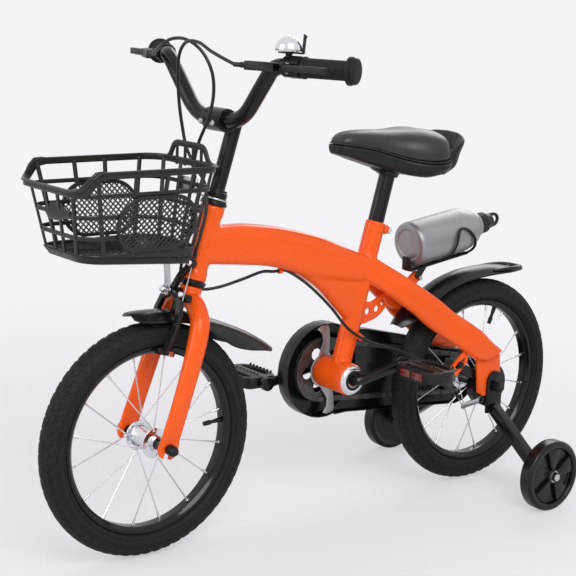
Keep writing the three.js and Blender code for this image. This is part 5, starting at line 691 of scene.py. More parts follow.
fork_shape = bmesh.new()
for side in (1, -1):
    centres = [
        steer_point(fork_crown * up_share, fork_offset * ahead_share, side * fork_half_spacing * side_share)
        for up_share, side_share, ahead_share, _, _ in leg_shares
    ]
    line = flow(centres, 6)
    sizes = flow([(ahead * fork_tube, across * fork_tube, 0) for _, _, _, ahead, across in leg_shares], 6)
    sweep(fork_shape, line, steer_ahead, [size.x for size in sizes], [size.y for size in sizes], 36, 2.3)
rod(fork_shape, steer_point(fork_crown - 0.004), steer_point(fork_crown + 0.019), 0.0166, sides=48)
rod(fork_shape, steer_point(fork_crown - 0.005), steer_point(steerer_top), steerer_radius, sides=36)
fork_skin = welded(fork_shape, "fork_tubes", 0.0013, 10)
shown("fork_blades", fork_skin, orange_paint, "steering", ["fork"], angle=70)

fork_plates = bmesh.new()
steer_frame = Matrix((
    (steer_ahead.x, 0, steer_up.x, steer_foot.x), (0, 1, 0, 0), (steer_ahead.z, 0, steer_up.z, steer_foot.z),
    (0, 0, 0, 1),
))
fork_end_radius = 0.0165
fork_end_inner = 0.0512
fork_end_outer = 0.0568
fork_end = [
    *circle_points(fork_offset, 0, fork_end_radius, 8, 180, 245), (0.0006, -0.0145),
    *circle_points(fork_offset, 0, axle_slot_radius, 10, 180, 0), (0.0104, -0.0145),
    *circle_points(fork_offset, 0, fork_end_radius, 8, 295, 360), (0.0190, 0.019), (0.0150, 0.0245),
    (-0.004, 0.0245), (-0.008, 0.019),
]
for side in (1, -1):
    near, far = side * fork_end_inner, side * fork_end_outer
    prism(fork_plates, fork_end, near, far, frame_of=steer_frame, bevel=0.0008)
shown("fork_ends", fork_plates, orange_paint, "steering", [])


def turned(shape, profile, place, axis, steps=64, closed=True):
    """A lathe form: the profile lists radius and distance along the axis."""
    axis = Vector(axis).normalized()
    hold = axis.orthogonal().normalized()
    part = bmesh.new()
    points = [part.verts.new(hold * radius + axis * along) for radius, along in profile]
    edges = [part.edges.new((points[i], points[i + 1])) for i in range(len(points) - 1)]
    if closed:
        edges.append(part.edges.new((points[-1], points[0])))
    bmesh.ops.spin(
        part, geom=points + edges, cent=(0, 0, 0), axis=axis, angle=2 * math.pi, steps=steps, use_merge=True,
    )
    bmesh.ops.remove_doubles(part, verts=part.verts, dist=1e-6)
    bmesh.ops.translate(part, verts=part.verts, vec=place)
    bmesh.ops.recalc_face_normals(part, faces=part.faces)
    made = bpy.data.meshes.new("lathe")
    part.to_mesh(made)
    part.free()
    shape.from_mesh(made)
    bpy.data.meshes.remove(made)


def rounded(profile, radius, steps=4, closed=True):
    """Rounds the corners of a lathe profile."""
    count = len(profile)
    made = []
    for i, (r, along) in enumerate(profile):
        if not closed and i in (0, count - 1) or r < 1e-5:
            made.append((r, along))
            continue
        here = Vector((r, along))
        before = Vector(profile[i - 1])
        after = Vector(profile[(i + 1) % count])
        reach = min(radius, (before - here).length * 0.45, (after - here).length * 0.45)
        start = here + (before - here).normalized() * reach
        end = here + (after - here).normalized() * reach
        for step in range(steps + 1):
            t = step / steps
            spot = start * (1 - t) ** 2 + here * 2 * t * (1 - t) + end * t ** 2
            made.append((max(spot.x, 0), spot.y))
    return made


cup_profile = [(0.0133, 0.0003), (0.0195, 0.0003), (0.0195, 0.0045), (0.0176, 0.008), (0.0133, 0.008)]
nut_profile = [(0.0130, 0), (0.0165, 0), (0.0165, 0.0088), (0.0150, 0.0096), (0.0150, 0.013), (0.0130, 0.013)]
washer_profile = [(0.0134, 0), (0.0158, 0), (0.0158, 0.0016), (0.0134, 0.0016)]
for level, height, away in (("upper", head_top, steer_up), ("lower", head_foot, -steer_up)):
    cup = bmesh.new()
    turned(cup, rounded(cup_profile, 0.0008), steer_point(height), away)
    shown(level + "_cup", cup, black_paint, "frame", ["headset_cup_" + level])
nut = bmesh.new()
turned(nut, rounded(nut_profile, 0.0007), steer_point(0.3596), steer_up, 56)
shown("headset_locknut", nut, black_paint, "steering", ["headset_nut"])
chrome = surface("bright_plating", (0.72, 0.73, 0.76), 0.14, metallic=1.0, tone=0.06, grain=0.03, scuff=0.15)
washer = bmesh.new()
turned(washer, rounded(washer_profile, 0.0004), steer_point(0.3574), steer_up, 48)
shown("headset_washer", washer, chrome, "steering", [])

# The stem and the bent handlebar: black painted steel. The quill goes down into the steerer and a split clamp
# at its top holds the bar, which rises on both sides and runs back into the grips.

bar_centre = steer_point(0.4686, 0.029)
quill_profile = [(0, 0.295), (0.0111, 0.295), (0.0111, 0.4797), (0.0083, 0.4836), (0, 0.4836)]
clamp_radius = 0.017
clamp_reach = Vector((0, 0.022, 0))
arm_half_height = 0.0118
arm_half_width = 0.0105
arm_flare = 0.008
stem = bmesh.new()
turned(stem, rounded(quill_profile, 0.0015, closed=False), steer_foot, steer_up, 56, closed=False)
arm_line = flow([
    steer_point(0.4646, -0.004), steer_point(0.4660, 0.008), bar_centre - steer_ahead * 0.008, bar_centre,
], 8)
arm_last = len(arm_line) - 1
arm_widths = [arm_half_width + arm_flare * (i / arm_last) ** 2 for i in range(arm_last + 1)]
sweep(stem, arm_line, steer_up, [arm_half_height] * (arm_last + 1), arm_widths, 32, 3.2)
rod(stem, bar_centre - clamp_reach, bar_centre + clamp_reach, clamp_radius, sides=64)
stem_skin = welded(stem, "stem_body", 0.0011, 8)
shown("stem_body", stem_skin, black_paint, "steering", ["stem"], angle=70)
zinc = surface(
    "zinc_plate", (0.56, 0.57, 0.59), 0.3, metallic=1.0, tone=0.14, tone_scale=120, grain=0.12,
    grain_scale=1900, scuff=0.2,
)


def hexagon_head(shape, place, axis, radius, height, dome=0.3):
    """A bolt head or nut: six flats with a turned chamfer."""
    axis = Vector(axis).normalized()
    hold = axis.orthogonal().normalized()
    other = axis.cross(hold)
    place = Vector(place)
    levels = [(0, radius), (height * (1 - dome), radius), (height, radius * 0.84)]
    skin(shape, [ring(shape, place + axis * along, hold, other, size, size, 6) for along, size in levels])
    rod(shape, place + axis * height * 0.98, place + axis * height * 1.04, radius * 0.8, sides=24)


clamp_bolts = bmesh.new()
for offset in (-0.014, 0.014):
    place = bar_centre + steer_ahead * 0.0185 - steer_up * 0.009 + Vector((0, offset, 0))
    hexagon_head(clamp_bolts, place, steer_ahead, 0.0042, 0.0035)
hexagon_head(clamp_bolts, steer_point(0.4833), steer_up, 0.0058, 0.004)
shown("stem_bolts", clamp_bolts, zinc, "steering", [])


def bent_line(corners, bends, steps=14):
    """Straight runs with rounded bends between them."""
    corners = [Vector(corner) for corner in corners]
    line = [corners[0]]
    for i, bend in enumerate(bends, start=1):
        start = corners[i] + (corners[i - 1] - corners[i]).normalized() * bend
        end = corners[i] + (corners[i + 1] - corners[i]).normalized() * bend
        for step in range(steps + 1):
            t = step / steps
            line.append(start * (1 - t) ** 2 + corners[i] * 2 * t * (1 - t) + end * t ** 2)
    line.append(corners[-1])
    return line


bar_high_x = bar_centre.x + 0.003
bar_high_z = bar_centre.z + 0.084
bar_radius = 0.0111
rise_foot_side = 0.054
rise_top_side = 0.128


def bar_corner(side):
    return Vector((bar_high_x, side * rise_top_side, bar_high_z))


def grip_axis(side):
    bar_tip = Vector((bar_centre.x - 0.05, side * 0.233, bar_high_z - 0.001))
    return (bar_tip - bar_corner(side)).normalized()


def bar_point(side, along):
    return bar_corner(side) + grip_axis(side) * along


tube_end = 0.1187
upper_bend = 0.016
lower_bend = 0.034
handlebar = bmesh.new()
bar_line = bent_line([
    bar_point(-1, tube_end), bar_corner(-1), (bar_centre.x, -rise_foot_side, bar_centre.z),
    (bar_centre.x, rise_foot_side, bar_centre.z), bar_corner(1), bar_point(1, tube_end),
], [upper_bend, lower_bend, lower_bend, upper_bend])
round_tube(handlebar, bar_line, bar_radius, 40)
shown("handlebar_tube", handlebar, black_paint, "steering", ["handlebar"], angle=60)

# The grips: soft black rubber sleeves with fine ribs round them, a ring at the inner end and a wide flange
# before the closed outer end.

grip_rubber = surface(
    "grip_rubber", (0.009, 0.009, 0.009), 0.6, tone=0.2, grain=0.3, grain_scale=1300, shine=0.25,
)
grip_start = 0.043
sleeve_radius = 0.0134
groove_radius = 0.0126
rib_count = 20
rib_pitch = 0.0029
grip_profile = [(0.0115, 0), (0.0150, 0.0002), (0.0150, 0.0048), (sleeve_radius, 0.0056)]
for i in range(rib_count):
    start = 0.0062 + i * rib_pitch
    grip_profile += [(groove_radius, start), (groove_radius, start + 0.0008)]
    grip_profile += [(sleeve_radius, start + 0.0012), (sleeve_radius, start + 0.0024)]
grip_profile += [
    (sleeve_radius, 0.0660), (0.0150, 0.0664), (0.0190, 0.0667), (0.0190, 0.0712), (0.0166, 0.0722),
    (0.0168, 0.0732), (0.0178, 0.0742), (0.0172, 0.0775), (0.0140, 0.0790), (0, 0.0790),
]
for side, node in ((1, "grip_left"), (-1, "grip_right")):
    grip = bmesh.new()
    sleeve = rounded(grip_profile, 0.0005, 2, closed=False)
    turned(grip, sleeve, bar_point(side, grip_start), grip_axis(side), 56, closed=False)
    shown(node + "_sleeve", grip, grip_rubber, "steering", [node], angle=60)

# The brake levers and the bell: black moulded perches with a bright pin and a curved blade, and a plated dome
# on its black base with a thumb lever.

satin_plastic = surface(
    "satin_plastic", (0.009, 0.009, 0.0095), 0.38, tone=0.2, grain=0.1, grain_scale=1700, scuff=0.08,
    shine=0.3,
)


def worked(node, name, material, bevel=0.0006, segments=2):
    """A finished copy of a plain CAD piece: its faces are merged and its edges rounded."""
    source = frame["nodes"][node]
    shape = bmesh.new()
    shape.from_mesh(source.data)
    bmesh.ops.remove_doubles(shape, verts=shape.verts, dist=1e-6)
    bmesh.ops.dissolve_limit(shape, angle_limit=math.radians(0.6), verts=shape.verts, edges=shape.edges)
    sharp_angle = math.radians(28)
    paired = [edge for edge in shape.edges if len(edge.link_faces) == 2]
    sharp = [edge for edge in paired if edge.calc_face_angle() > sharp_angle]
    bmesh.ops.bevel(
        shape, geom=sharp, offset=bevel, segments=segments, profile=0.5, affect="EDGES", material=-1,
        clamp_overlap=True,
    )
    shown(name, shape, material, source["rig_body"], [node], angle=40, turn_out=False)


for node in ("lever_perch_left", "lever_perch_right", "brake_lever_left", "brake_lever_right"):
    worked(node, node + "_finish", satin_plastic, 0.0011, segments=3)
lever_pin_radius = 0.0024
lever_pin_half = 0.0072


def grip_up(side):
    """The direction that is square to a grip and nearest to upright."""
    return Vector((-0.003831, side * 0.00759, 0.999964))


lever_pins = bmesh.new()
for side in (1, -1):
    pin = Vector((0.230129, side * 0.171423, 0.714692))
    reach = grip_up(side) * lever_pin_half
    rod(lever_pins, pin - reach, pin + reach, lever_pin_radius, sides=20)
shown("lever_pins", lever_pins, chrome, "steering", [])
worked("bell_base", "bell_base_finish", satin_plastic, 0.0005)
worked("bell_lever", "bell_lever_finish", satin_plastic, 0.0005)

bell_up = grip_up(1).normalized()
dome_radius = 0.019
dome_low, dome_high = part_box("bell_dome")
dome_foot = (Vector(dome_low) + Vector(dome_high)) / 2 - bell_up * dome_radius / 2
dome = bmesh.new()
dome_profile = [(0.0175, 0.0004), (0.0186, 0.0)]
for degrees in range(5, 90, 5):
    angle = math.radians(degrees)
    dome_profile.append((dome_radius * math.cos(angle) ** 0.82, dome_radius * math.sin(angle)))
dome_profile += [(0.0030, 0.01905), (0.0028, 0.0200), (0, 0.0203)]
turned(dome, dome_profile, dome_foot, bell_up, 72, closed=False)
shown("bell_dome_finish", dome, chrome, "steering", ["bell_dome"], angle=50)

# The wheels: black rubber tyres with a moulded block tread, black channel rims, plated hubs and sixteen
# tangential spokes each with a nipple at the rim.

tyre_rubber = surface("tyre_rubber", (0.011, 0.011, 0.0115), 0.62, tone=0.22, tone_scale=45, grain=0.25,
                      grain_scale=1600, scuff=0.06, shine=0.22)
gloss_black = surface(
    "gloss_black_lacquer", (0.004, 0.004, 0.0045), 0.16, tone=0.2, grain=0.02, grain_scale=500, coat=0.12,
    coat_roughness=0.05, shine=0.28,
)
front_axle = Vector((0.326, 0, 0.175))
bead_radius = 0.1336
tyre_side = [
    (bead_radius, 0.0100), (0.1385, 0.0101), (0.1402, 0.0128), (0.1412, 0.0150), (0.1421, 0.0158),
    (0.1430, 0.0170), (0.1450, 0.0184), (0.1475, 0.0194), (0.1500, 0.0198), (0.1525, 0.0198),
    (0.1550, 0.0193), (0.1580, 0.0182), (0.1612, 0.0172), (0.1648, 0.0150), (0.1680, 0.0122),
    (0.1706, 0.0088), (0.1724, 0.0052), (0.1733, 0.0018),
]
shoulder_angle = math.radians(68)
tread_middle_radius = 0.1521
tread_crown = 0.0213
tread_half_width = 0.0199


def tread_point(share):
    """Radius and side place on a tyre: share 0 is the middle of the tread and 1 its shoulder."""
    angle = share * shoulder_angle
    across = tread_half_width * math.sin(angle) ** 0.97 if angle else 0.0
    return tread_middle_radius + tread_crown * math.cos(angle), across


def tread_block(shape, centre_angle, share, corners, height, axle, turn_side):
    """One rubber block: an outline of angle and share steps raised from the tyre."""
    bottoms, tops = [], []
    top_size = 0.86
    for d_angle, d_share in corners:
        angle = math.radians(centre_angle + d_angle)
        place = min(max(share + d_share, -1.15), 1.15)
        radius, across = tread_point(abs(place))
        across = math.copysign(across, place)
        normal_lean = shoulder_angle * place
        out = Vector((math.cos(angle), 0, math.sin(angle)))
        lift = out * math.cos(normal_lean) + Vector((0, 1, 0)) * math.sin(normal_lean)
        spot = axle + out * radius + Vector((0, turn_side * across, 0))
        lift.y *= turn_side
        bottoms.append(shape.verts.new(spot - lift * 0.0008))
        tops.append(spot + lift * height)
    middle = sum(tops, Vector()) / len(tops)
    tops = [shape.verts.new(middle + (spot - middle) * top_size) for spot in tops]
    count = len(tops)
    for i in range(count):
        shape.faces.new((bottoms[i], bottoms[(i + 1) % count], tops[(i + 1) % count], tops[i]))
    shape.faces.new(tops)


block_count = 60
block_step = 360 / block_count
tread_rows = (
    (0, 0.5, 0.14, 0.0004, [(-0.48, -0.13), (-0.02, -0.13), (0.42, 0.10), (0.02, 0.13)]),
    (0.25, 0.75, 0.46, 0.0005, [
        (-0.46, -0.16), (-0.05, -0.19), (0.28, -0.08), (0.46, 0.12), (0.10, 0.18), (-0.22, 0.08),
    ]),
    (0, 0.5, 0.84, 0.0004, [
        (-0.44, -0.16), (0.02, -0.18), (0.34, -0.04), (0.44, 0.20), (0.02, 0.22), (-0.30, 0.06),
    ]),
)
rim_profile = rounded([
    (0.1386, -0.0128), (0.1340, -0.0126), (0.1286, -0.0077), (0.1286, 0.0077), (0.1340, 0.0126),
    (0.1386, 0.0128), (0.1386, 0.0103), (0.1333, 0.0103), (0.1333, -0.0103), (0.1386, -0.0103),
], 0.0009, 3)
drum_profile = rounded([
    (0.0100, 0.0292), (0.0300, 0.0292), (0.0300, 0.0444), (0.0272, 0.0444), (0.0272, 0.0320),
    (0.0100, 0.0320),
], 0.0006, 3)
wheel_sizes = (
    ("front", front_axle, {"valve": 176, "hub_left": 0.031, "hub_right": 0.031}),
    ("rear", rear_axle, {"valve": 112, "hub_left": 0.0445, "hub_right": 0.0435}),
)
valve_parts = (
    (0.1315, 0.1180, 0.0040, 0.0032, 24),
    (0.1190, 0.1080, 0.0028, 0.0028, 24),
    (0.1100, 0.0985, 0.0038, 0.0034, 16),
)
wall_ribs = ((0.1446, 0.0182), (0.1462, 0.0191), (0.1545, 0.0195), (0.1560, 0.0190))
wall_rib_half = 0.0005
spokes_per_side = 8
spoke_radius = 0.00095
rim_well_radius = 0.1288
spoke_crossing = math.radians(27)
flange_hole_radius = 0.0185
for wheel, axle, measures in wheel_sizes:
    tyre = bmesh.new()
    profile = tyre_side + [(radius, -across) for radius, across in reversed(tyre_side)]
    profile.append((bead_radius, -0.0100))
    turned(tyre, profile, axle, (0, 1, 0), 144)
    for rib, side_at in wall_ribs:
        for side in (1, -1):
            line = [
                axle + Vector((rib * math.cos(t), side * side_at, rib * math.sin(t)))
                for t in (math.radians(2.5 * i) for i in range(144))
            ]
            halves = [wall_rib_half] * len(line)
            sweep(tyre, line, (0, 1, 0), halves, halves, 6, closed=True)
    blocks = bmesh.new()
    for i in range(block_count):
        for side in (1, -1):
            for left_start, right_start, share, height, outline in tread_rows:
                start = block_step * (i + (left_start if side > 0 else right_start))
                corners = [(turn * block_step, outward) for turn, outward in outline]
                tread_block(blocks, start, share, corners, height, axle, side)
    mesh = bpy.data.meshes.new("blocks")
    bmesh.ops.recalc_face_normals(blocks, faces=blocks.faces)
    blocks.to_mesh(mesh)
    blocks.free()
    tyre.from_mesh(mesh)
    bpy.data.meshes.remove(mesh)
    body = wheel + "_wheel"
    shown(wheel + "_tyre_rubber", tyre, tyre_rubber, body, [wheel + "_tyre"], angle=32,
          turn_out=False)

    rim = bmesh.new()
    turned(rim, rim_profile, axle, (0, 1, 0), 144)
    valve_angle = math.radians(measures["valve"])
    valve = Vector((math.cos(valve_angle), 0, math.sin(valve_angle)))
    for start, end, radius, end_radius, sides in valve_parts:
        rod(rim, axle + valve * start, axle + valve * end, radius, end_radius, sides)
    shown(wheel + "_rim_lacquer", rim, gloss_black, body, [wheel + "_rim"], angle=40)

    hub = bmesh.new()
    left, right = measures["hub_left"], measures["hub_right"]
    turned(hub, rounded([
        (0.0052, -right), (0.0120, -right), (0.0120, -0.0262), (0.0128, -0.0230), (0.0225, -0.0230),
        (0.0225, -0.0202), (0.0158, -0.0200), (0.0140, -0.0150), (0.0124, -0.0060), (0.0124, 0.0060),
        (0.0140, 0.0150), (0.0158, 0.0200), (0.0225, 0.0202), (0.0225, 0.0230), (0.0128, 0.0230),
        (0.0120, 0.0262), (0.0120, left), (0.0052, left),
    ], 0.0007, 3), axle, (0, 1, 0), 72)
    if wheel == "rear":
        turned(hub, drum_profile, axle, (0, 1, 0), 72)
    shown(wheel + "_hub_shell", hub, chrome, body, [wheel + "_hub"], angle=40)

    spokes = bmesh.new()
    nipples = bmesh.new()
    for i in range(spokes_per_side * 2):
        side = 1 if i % 2 == 0 else -1
        lean = 1 if i % 4 < 2 else -1
        rim_angle = math.radians((i + 0.5) * 180 / spokes_per_side)
        hub_angle = rim_angle - lean * spoke_crossing
        face = 0.0233 if lean > 0 else 0.0199
        hub_out = Vector((math.cos(hub_angle), 0, math.sin(hub_angle)))
        rim_out = Vector((math.cos(rim_angle), 0, math.sin(rim_angle)))
        start = axle + hub_out * flange_hole_radius + Vector((0, side * face, 0))
        end = axle + rim_out * rim_well_radius + Vector((0, side * 0.0025, 0))
        run = (end - start).normalized()
        inward = Vector((0, -side if lean > 0 else side, 0))
        line = bent_line([start + inward * 0.0042, start, end], [0.0012], 5)
        round_tube(spokes, line, spoke_radius, 10)
        rod(spokes, start + inward * 0.0040, start + inward * 0.0050, 0.0019, sides=14)
        rod(nipples, end - run * 0.0115, end - run * 0.0005, 0.0017, 0.0021, 12)
        rod(nipples, end - run * 0.0035, end, 0.0026, sides=12)
    shown(wheel + "_spokes", spokes, chrome, body, [], angle=40)
    shown(wheel + "_nipples", nipples, chrome, body, [], angle=40)
    worked(wheel + "_axle", wheel + "_axle_finish", satin_plastic, 0.0005)

# The fenders: glossy black moulded blades, arched over each tyre. The front one flares at its rear end and
# hangs on the brake bolt by its tab. The rear one ends in a loop, and its lug meets the frame's bridge.

gloss_plastic = surface(
    "gloss_plastic", (0.005, 0.005, 0.0055), 0.26, tone=0.2, grain=0.02, grain_scale=300, coat=0.12,
    coat_roughness=0.08, scuff=0.04, shine=0.3,
)
front_fender_radius = 0.195
rear_fender_radius = 0.201
fender_half_width = 0.025
fender_crown = 0.013
fender_wall = 0.0018


def fender_blade(axle, radius, shares, columns=21, steps=6):
    """An arched blade: each row has its angle, its reach and width as shares, and how much it is crowned."""
    rows = flow([Vector((angle, reach, width)) for angle, reach, width, _ in shares], steps)
    crowns = [value.x for value in flow([(crown, 0, 0) for _, _, _, crown in shares], steps)]
    rings = []
    shape = bmesh.new()
    for row, crown in zip(rows, crowns):
        angle = math.radians(row.x)
        out = Vector((math.cos(angle), 0, math.sin(angle)))
        edge = max(row.z, 0.05)
        upper, under = [], []
        for i in range(columns):
            across = -1 + 2 * i / (columns - 1)
            fall = fender_crown * crown * abs(across) ** 2.3
            lip = 0.0009 * max(abs(across) - 0.9, 0) * 10
            spot = axle + out * (radius * row.y - fall) + Vector((0, across * fender_half_width * edge, 0))
            upper.append(shape.verts.new(spot + out * lip))
            under.append(shape.verts.new(spot - out * fender_wall))
        rings.append(upper + list(reversed(under)))
    skin(shape, rings)
    return shape


front_fender = fender_blade(front_axle, front_fender_radius, [
    (79, 0.992, 0.62, 0.5), (82, 0.988, 0.92, 0.8), (90, 0.978, 1, 1), (100, 0.978, 1, 1),
    (110, 0.986, 1, 1), (120, 1.005, 1, 1.3), (129, 1.045, 1.04, 1.9), (137, 1.1, 1.1, 2.3),
    (145, 1.17, 1.0, 1.9), (153, 1.25, 0.55, 0.6),
])
shown("front_fender_blade", front_fender, gloss_plastic, "steering", ["front_fender"],
      angle=45)
rear_fender = fender_blade(rear_axle, rear_fender_radius, [
    (32, 1.09, 0.5, 0.6), (36, 1.075, 0.85, 1), (44, 1.045, 1, 1), (54, 1.015, 1, 1), (64, 1, 1, 1),
    (75, 0.985, 1, 1), (87, 0.975, 1, 1), (98, 0.985, 1, 0.9), (107, 1, 1, 0.6), (114, 1.02, 0.8, 0.2),
    (118, 1.03, 0.45, 0),
])
bridge_aim = (bridge_place - rear_axle).normalized()
lug_start = rear_axle + bridge_aim * 0.205
rod(rear_fender, lug_start, bridge_place - bridge_aim * (bridge_radius + 0.0004), 0.0063, sides=32)
tail_side = [(96, 0.948, 0.84), (104, 0.975, 0.86), (111, 1.006, 0.82), (115.5, 1.030, 0.56)]
tail_rows = tail_side + [(117.5, 1.040, 0)]
tail_rows += [(degrees, reach, -across) for degrees, reach, across in reversed(tail_side)]
tail_loop = []
for degrees, reach, across in tail_rows:
    out = Vector((math.cos(math.radians(degrees)), 0, math.sin(math.radians(degrees))))
    aside = Vector((0, across * fender_half_width, 0))
    tail_loop.append(rear_axle + out * rear_fender_radius * reach + aside)
tail_line = flow(tail_loop, 5)
tail_sizes = [0.0018 + 0.0036 * math.sin(math.pi * i / (len(tail_line) - 1)) for i in range(len(tail_line))]
sweep(rear_fender, tail_line, (0, 0, 1), tail_sizes, tail_sizes, 16)
shown("rear_fender_blade", rear_fender, gloss_plastic, "frame", ["rear_fender"], angle=45)
fender_tab = bmesh.new()
tab_frame = Matrix((
    (0, steer_ahead.x, steer_up.x, 0), (1, 0, 0, 0), (0, steer_ahead.z, steer_up.z, 0), (0, 0, 0, 1),
))
tab_frame.translation = steer_point(0.216, 0.0169)
tab_half = 0.008
tab_outline = [(-tab_half, -0.0258), (tab_half, -0.0258), *circle_points(0, 0, tab_half, 16, 0, 180)]
prism(fender_tab, tab_outline, 0, 0.002, frame_of=tab_frame, bevel=0.0004)
shown("front_fender_tab", fender_tab, gloss_plastic, "steering", [])

# The front brake: two black pressed arms on one plated bolt. Each arm has its block beside the rim, held by a
# plated nut, and the left one has the plated clamp nuts for the cable.

worked("calliper_bolt", "brake_bolt_finish", chrome, 0.0005)
for side, hand in ((1, "left"), (-1, "right")):
    worked("calliper_arm_" + hand, hand + "_arm_finish", black_paint, 0.0012, segments=3)
    block_nut = bmesh.new()
    hexagon_head(block_nut, steer_point(0.130, 0.0245, side * 0.026), (0, side, 0), 0.0046, 0.004)
    body = hand + "_calliper"
    shown(body + "_block_nut", block_nut, chrome, body, [])
cable_clamps = bmesh.new()
for high, height in ((0.2155, 0.0040), (0.2615, 0.0036)):
    hexagon_head(cable_clamps, steer_point(high, 0.0360, 0.0324), steer_ahead, 0.0044, height)
shown("cable_clamps", cable_clamps, chrome, "left_calliper", [])

# The seat: a black post in the frame's clamp, a moulded base with its handle, and a cover of black vinyl over
# foam, drawn down over the base and piped along its lower edge.

post_radius = 0.0127
post_profile = [(0, 0.1555), (post_radius, 0.1555), (post_radius, 0.345), (0, 0.345)]
post = bmesh.new()
turned(post, rounded(post_profile, 0.0008, closed=False), crank_axis, seat_up, 64, closed=False)
shown("seat_post_tube", post, gloss_black, "seat", ["seat_post"], angle=60)
worked("seat_clamp_bolt", "seat_clamp_bolt_finish", chrome, 0.0006)

saddle_nose = -0.001
saddle_length = 0.245
saddle_level = 0.59601
saddle_half = 0.071
saddle_depth = 0.040
saddle_dish = 0.0015
saddle_crown = 0.0145
vinyl = surface(
    "saddle_vinyl", (0.016, 0.0155, 0.0165), 0.4, tone=0.12, tone_scale=60, grain=0.16, grain_scale=750,
    coat=0.2, coat_roughness=0.3, cells=True, shine=0.4,
)
pad_rows = [
    (0.002, 0.12, -0.1, 0.22), (0.02, 0.24, 0.3, 0.24), (0.07, 0.32, 0.74, 0.27), (0.15, 0.37, 0.92, 0.34),
    (0.25, 0.41, 0.92, 0.46), (0.34, 0.5, 0.84, 0.62), (0.44, 0.66, 0.83, 0.80), (0.53, 0.85, 0.9, 0.92),
    (0.61, 0.97, 0.98, 0.97), (0.69, 1, 0.93, 0.96), (0.75, 0.93, 0.7, 0.9), (0.785, 0.77, 0.3, 0.8),
    (0.805, 0.55, -0.2, 0.72),
]
pad_section = [
    (0.9, 0), (1, 0.2), (0.97, 0.48), (0.84, 0.76), (0.58, 0.93), (0.27, 0.99), (0, 0.97), (-0.27, 0.99),
    (-0.58, 0.93), (-0.84, 0.76), (-0.97, 0.48), (-1, 0.2), (-0.9, 0),
]


def saddle_point(along, y, z):
    return Vector((saddle_nose - along * saddle_length, y, z))


def swollen(shape, name, grid, cap, held_below):
    """Foam under a stretched cover: the form is remeshed, swollen a little as cloth and held at its foot."""
    bmesh.ops.recalc_face_normals(shape, faces=shape.faces)
    mesh = bpy.data.meshes.new(name)
    shape.to_mesh(mesh)
    shape.free()
    holder = bpy.data.objects.new(name, mesh)
    bpy.context.collection.objects.link(holder)
    remesh = holder.modifiers.new("even", "REMESH")
    remesh.mode = "VOXEL"
    remesh.voxel_size = grid
    soften = holder.modifiers.new("soften", "SMOOTH")
    soften.iterations = 4
    even = bpy.data.meshes.new_from_object(holder.evaluated_get(bpy.context.evaluated_depsgraph_get()))
    holder.modifiers.clear()
    holder.data = even
    starts = [vertex.co.copy() for vertex in even.vertices]
    held = holder.vertex_groups.new(name="held")
    held.add([i for i, point in enumerate(starts) if held_below(point)], 1.0, "REPLACE")
    cloth = holder.modifiers.new("swell", "CLOTH")
    cloth.settings.vertex_group_mass = "held"
    cloth.settings.use_pressure = True
    cloth.settings.uniform_pressure_force = 4
    cloth.settings.quality = 5
    cloth.settings.effector_weights.gravity = 0
    last_frame = 20
    cloth.point_cache.frame_start, cloth.point_cache.frame_end = 1, last_frame
    for step in range(1, last_frame + 1):
        bpy.context.scene.frame_set(step)
    blown = bpy.data.meshes.new_from_object(holder.evaluated_get(bpy.context.evaluated_depsgraph_get()))
    ends = [vertex.co.copy() for vertex in blown.vertices]
    for vertex, start, end in zip(even.vertices, starts, ends):
        move = end - start
        vertex.co = start + move * min(1, cap / max(move.length, 1e-9))
    holder.modifiers.clear()
    bpy.context.scene.frame_set(1)
    finer = holder.modifiers.new("finer", "SUBSURF")
    finer.levels = 1
    made = bmesh.new()
    made.from_object(holder, bpy.context.evaluated_depsgraph_get())
    bpy.data.objects.remove(holder)
    return made


pad_shape = bmesh.new()
row_values = flow([Vector((along, width, crown)) for along, width, crown, _ in pad_rows], 4)
row_seams = [value.x for value in flow([(seam, 0, 0) for _, _, _, seam in pad_rows], 4)]
pad_rings = []
seam_line = {1: [], -1: []}
for values, seam in zip(row_values, row_seams):
    top = saddle_level - saddle_dish + values.z * saddle_crown
    low = saddle_level - seam * saddle_depth
    section = flow([
        saddle_point(values.x, side * values.y * saddle_half * 0.975, low + rise * (top - low))
        for side, rise in pad_section
    ], 3)
    pad_rings.append([pad_shape.verts.new(point) for point in section])
    for side in (1, -1):
        seam_line[side].append(saddle_point(values.x, side * values.y * saddle_half * 0.955, low + 0.0022))
skin(pad_shape, pad_rings)


def near_pad_foot(point):
    along = min(max((saddle_nose - point.x) / saddle_length, 0), 0.78)
    share = along / 0.785 * (len(row_seams) - 1)
    return point.z < saddle_level - row_seams[int(share)] * saddle_depth + 0.006


pad_piece = shown(
    "saddle_cover", swollen(pad_shape, "saddle_cover_form", 0.0042, 0.0016, near_pad_foot), vinyl, "seat",
    ["saddle_pad"], angle=80,
)
piping = bmesh.new()
edge_line = [point for i, point in enumerate(reversed(seam_line[1])) if i % 2 == 0] + seam_line[-1][::2]
round_tube(piping, edge_line, 0.0012, 8)
shown("saddle_piping", piping, vinyl, "seat", [])

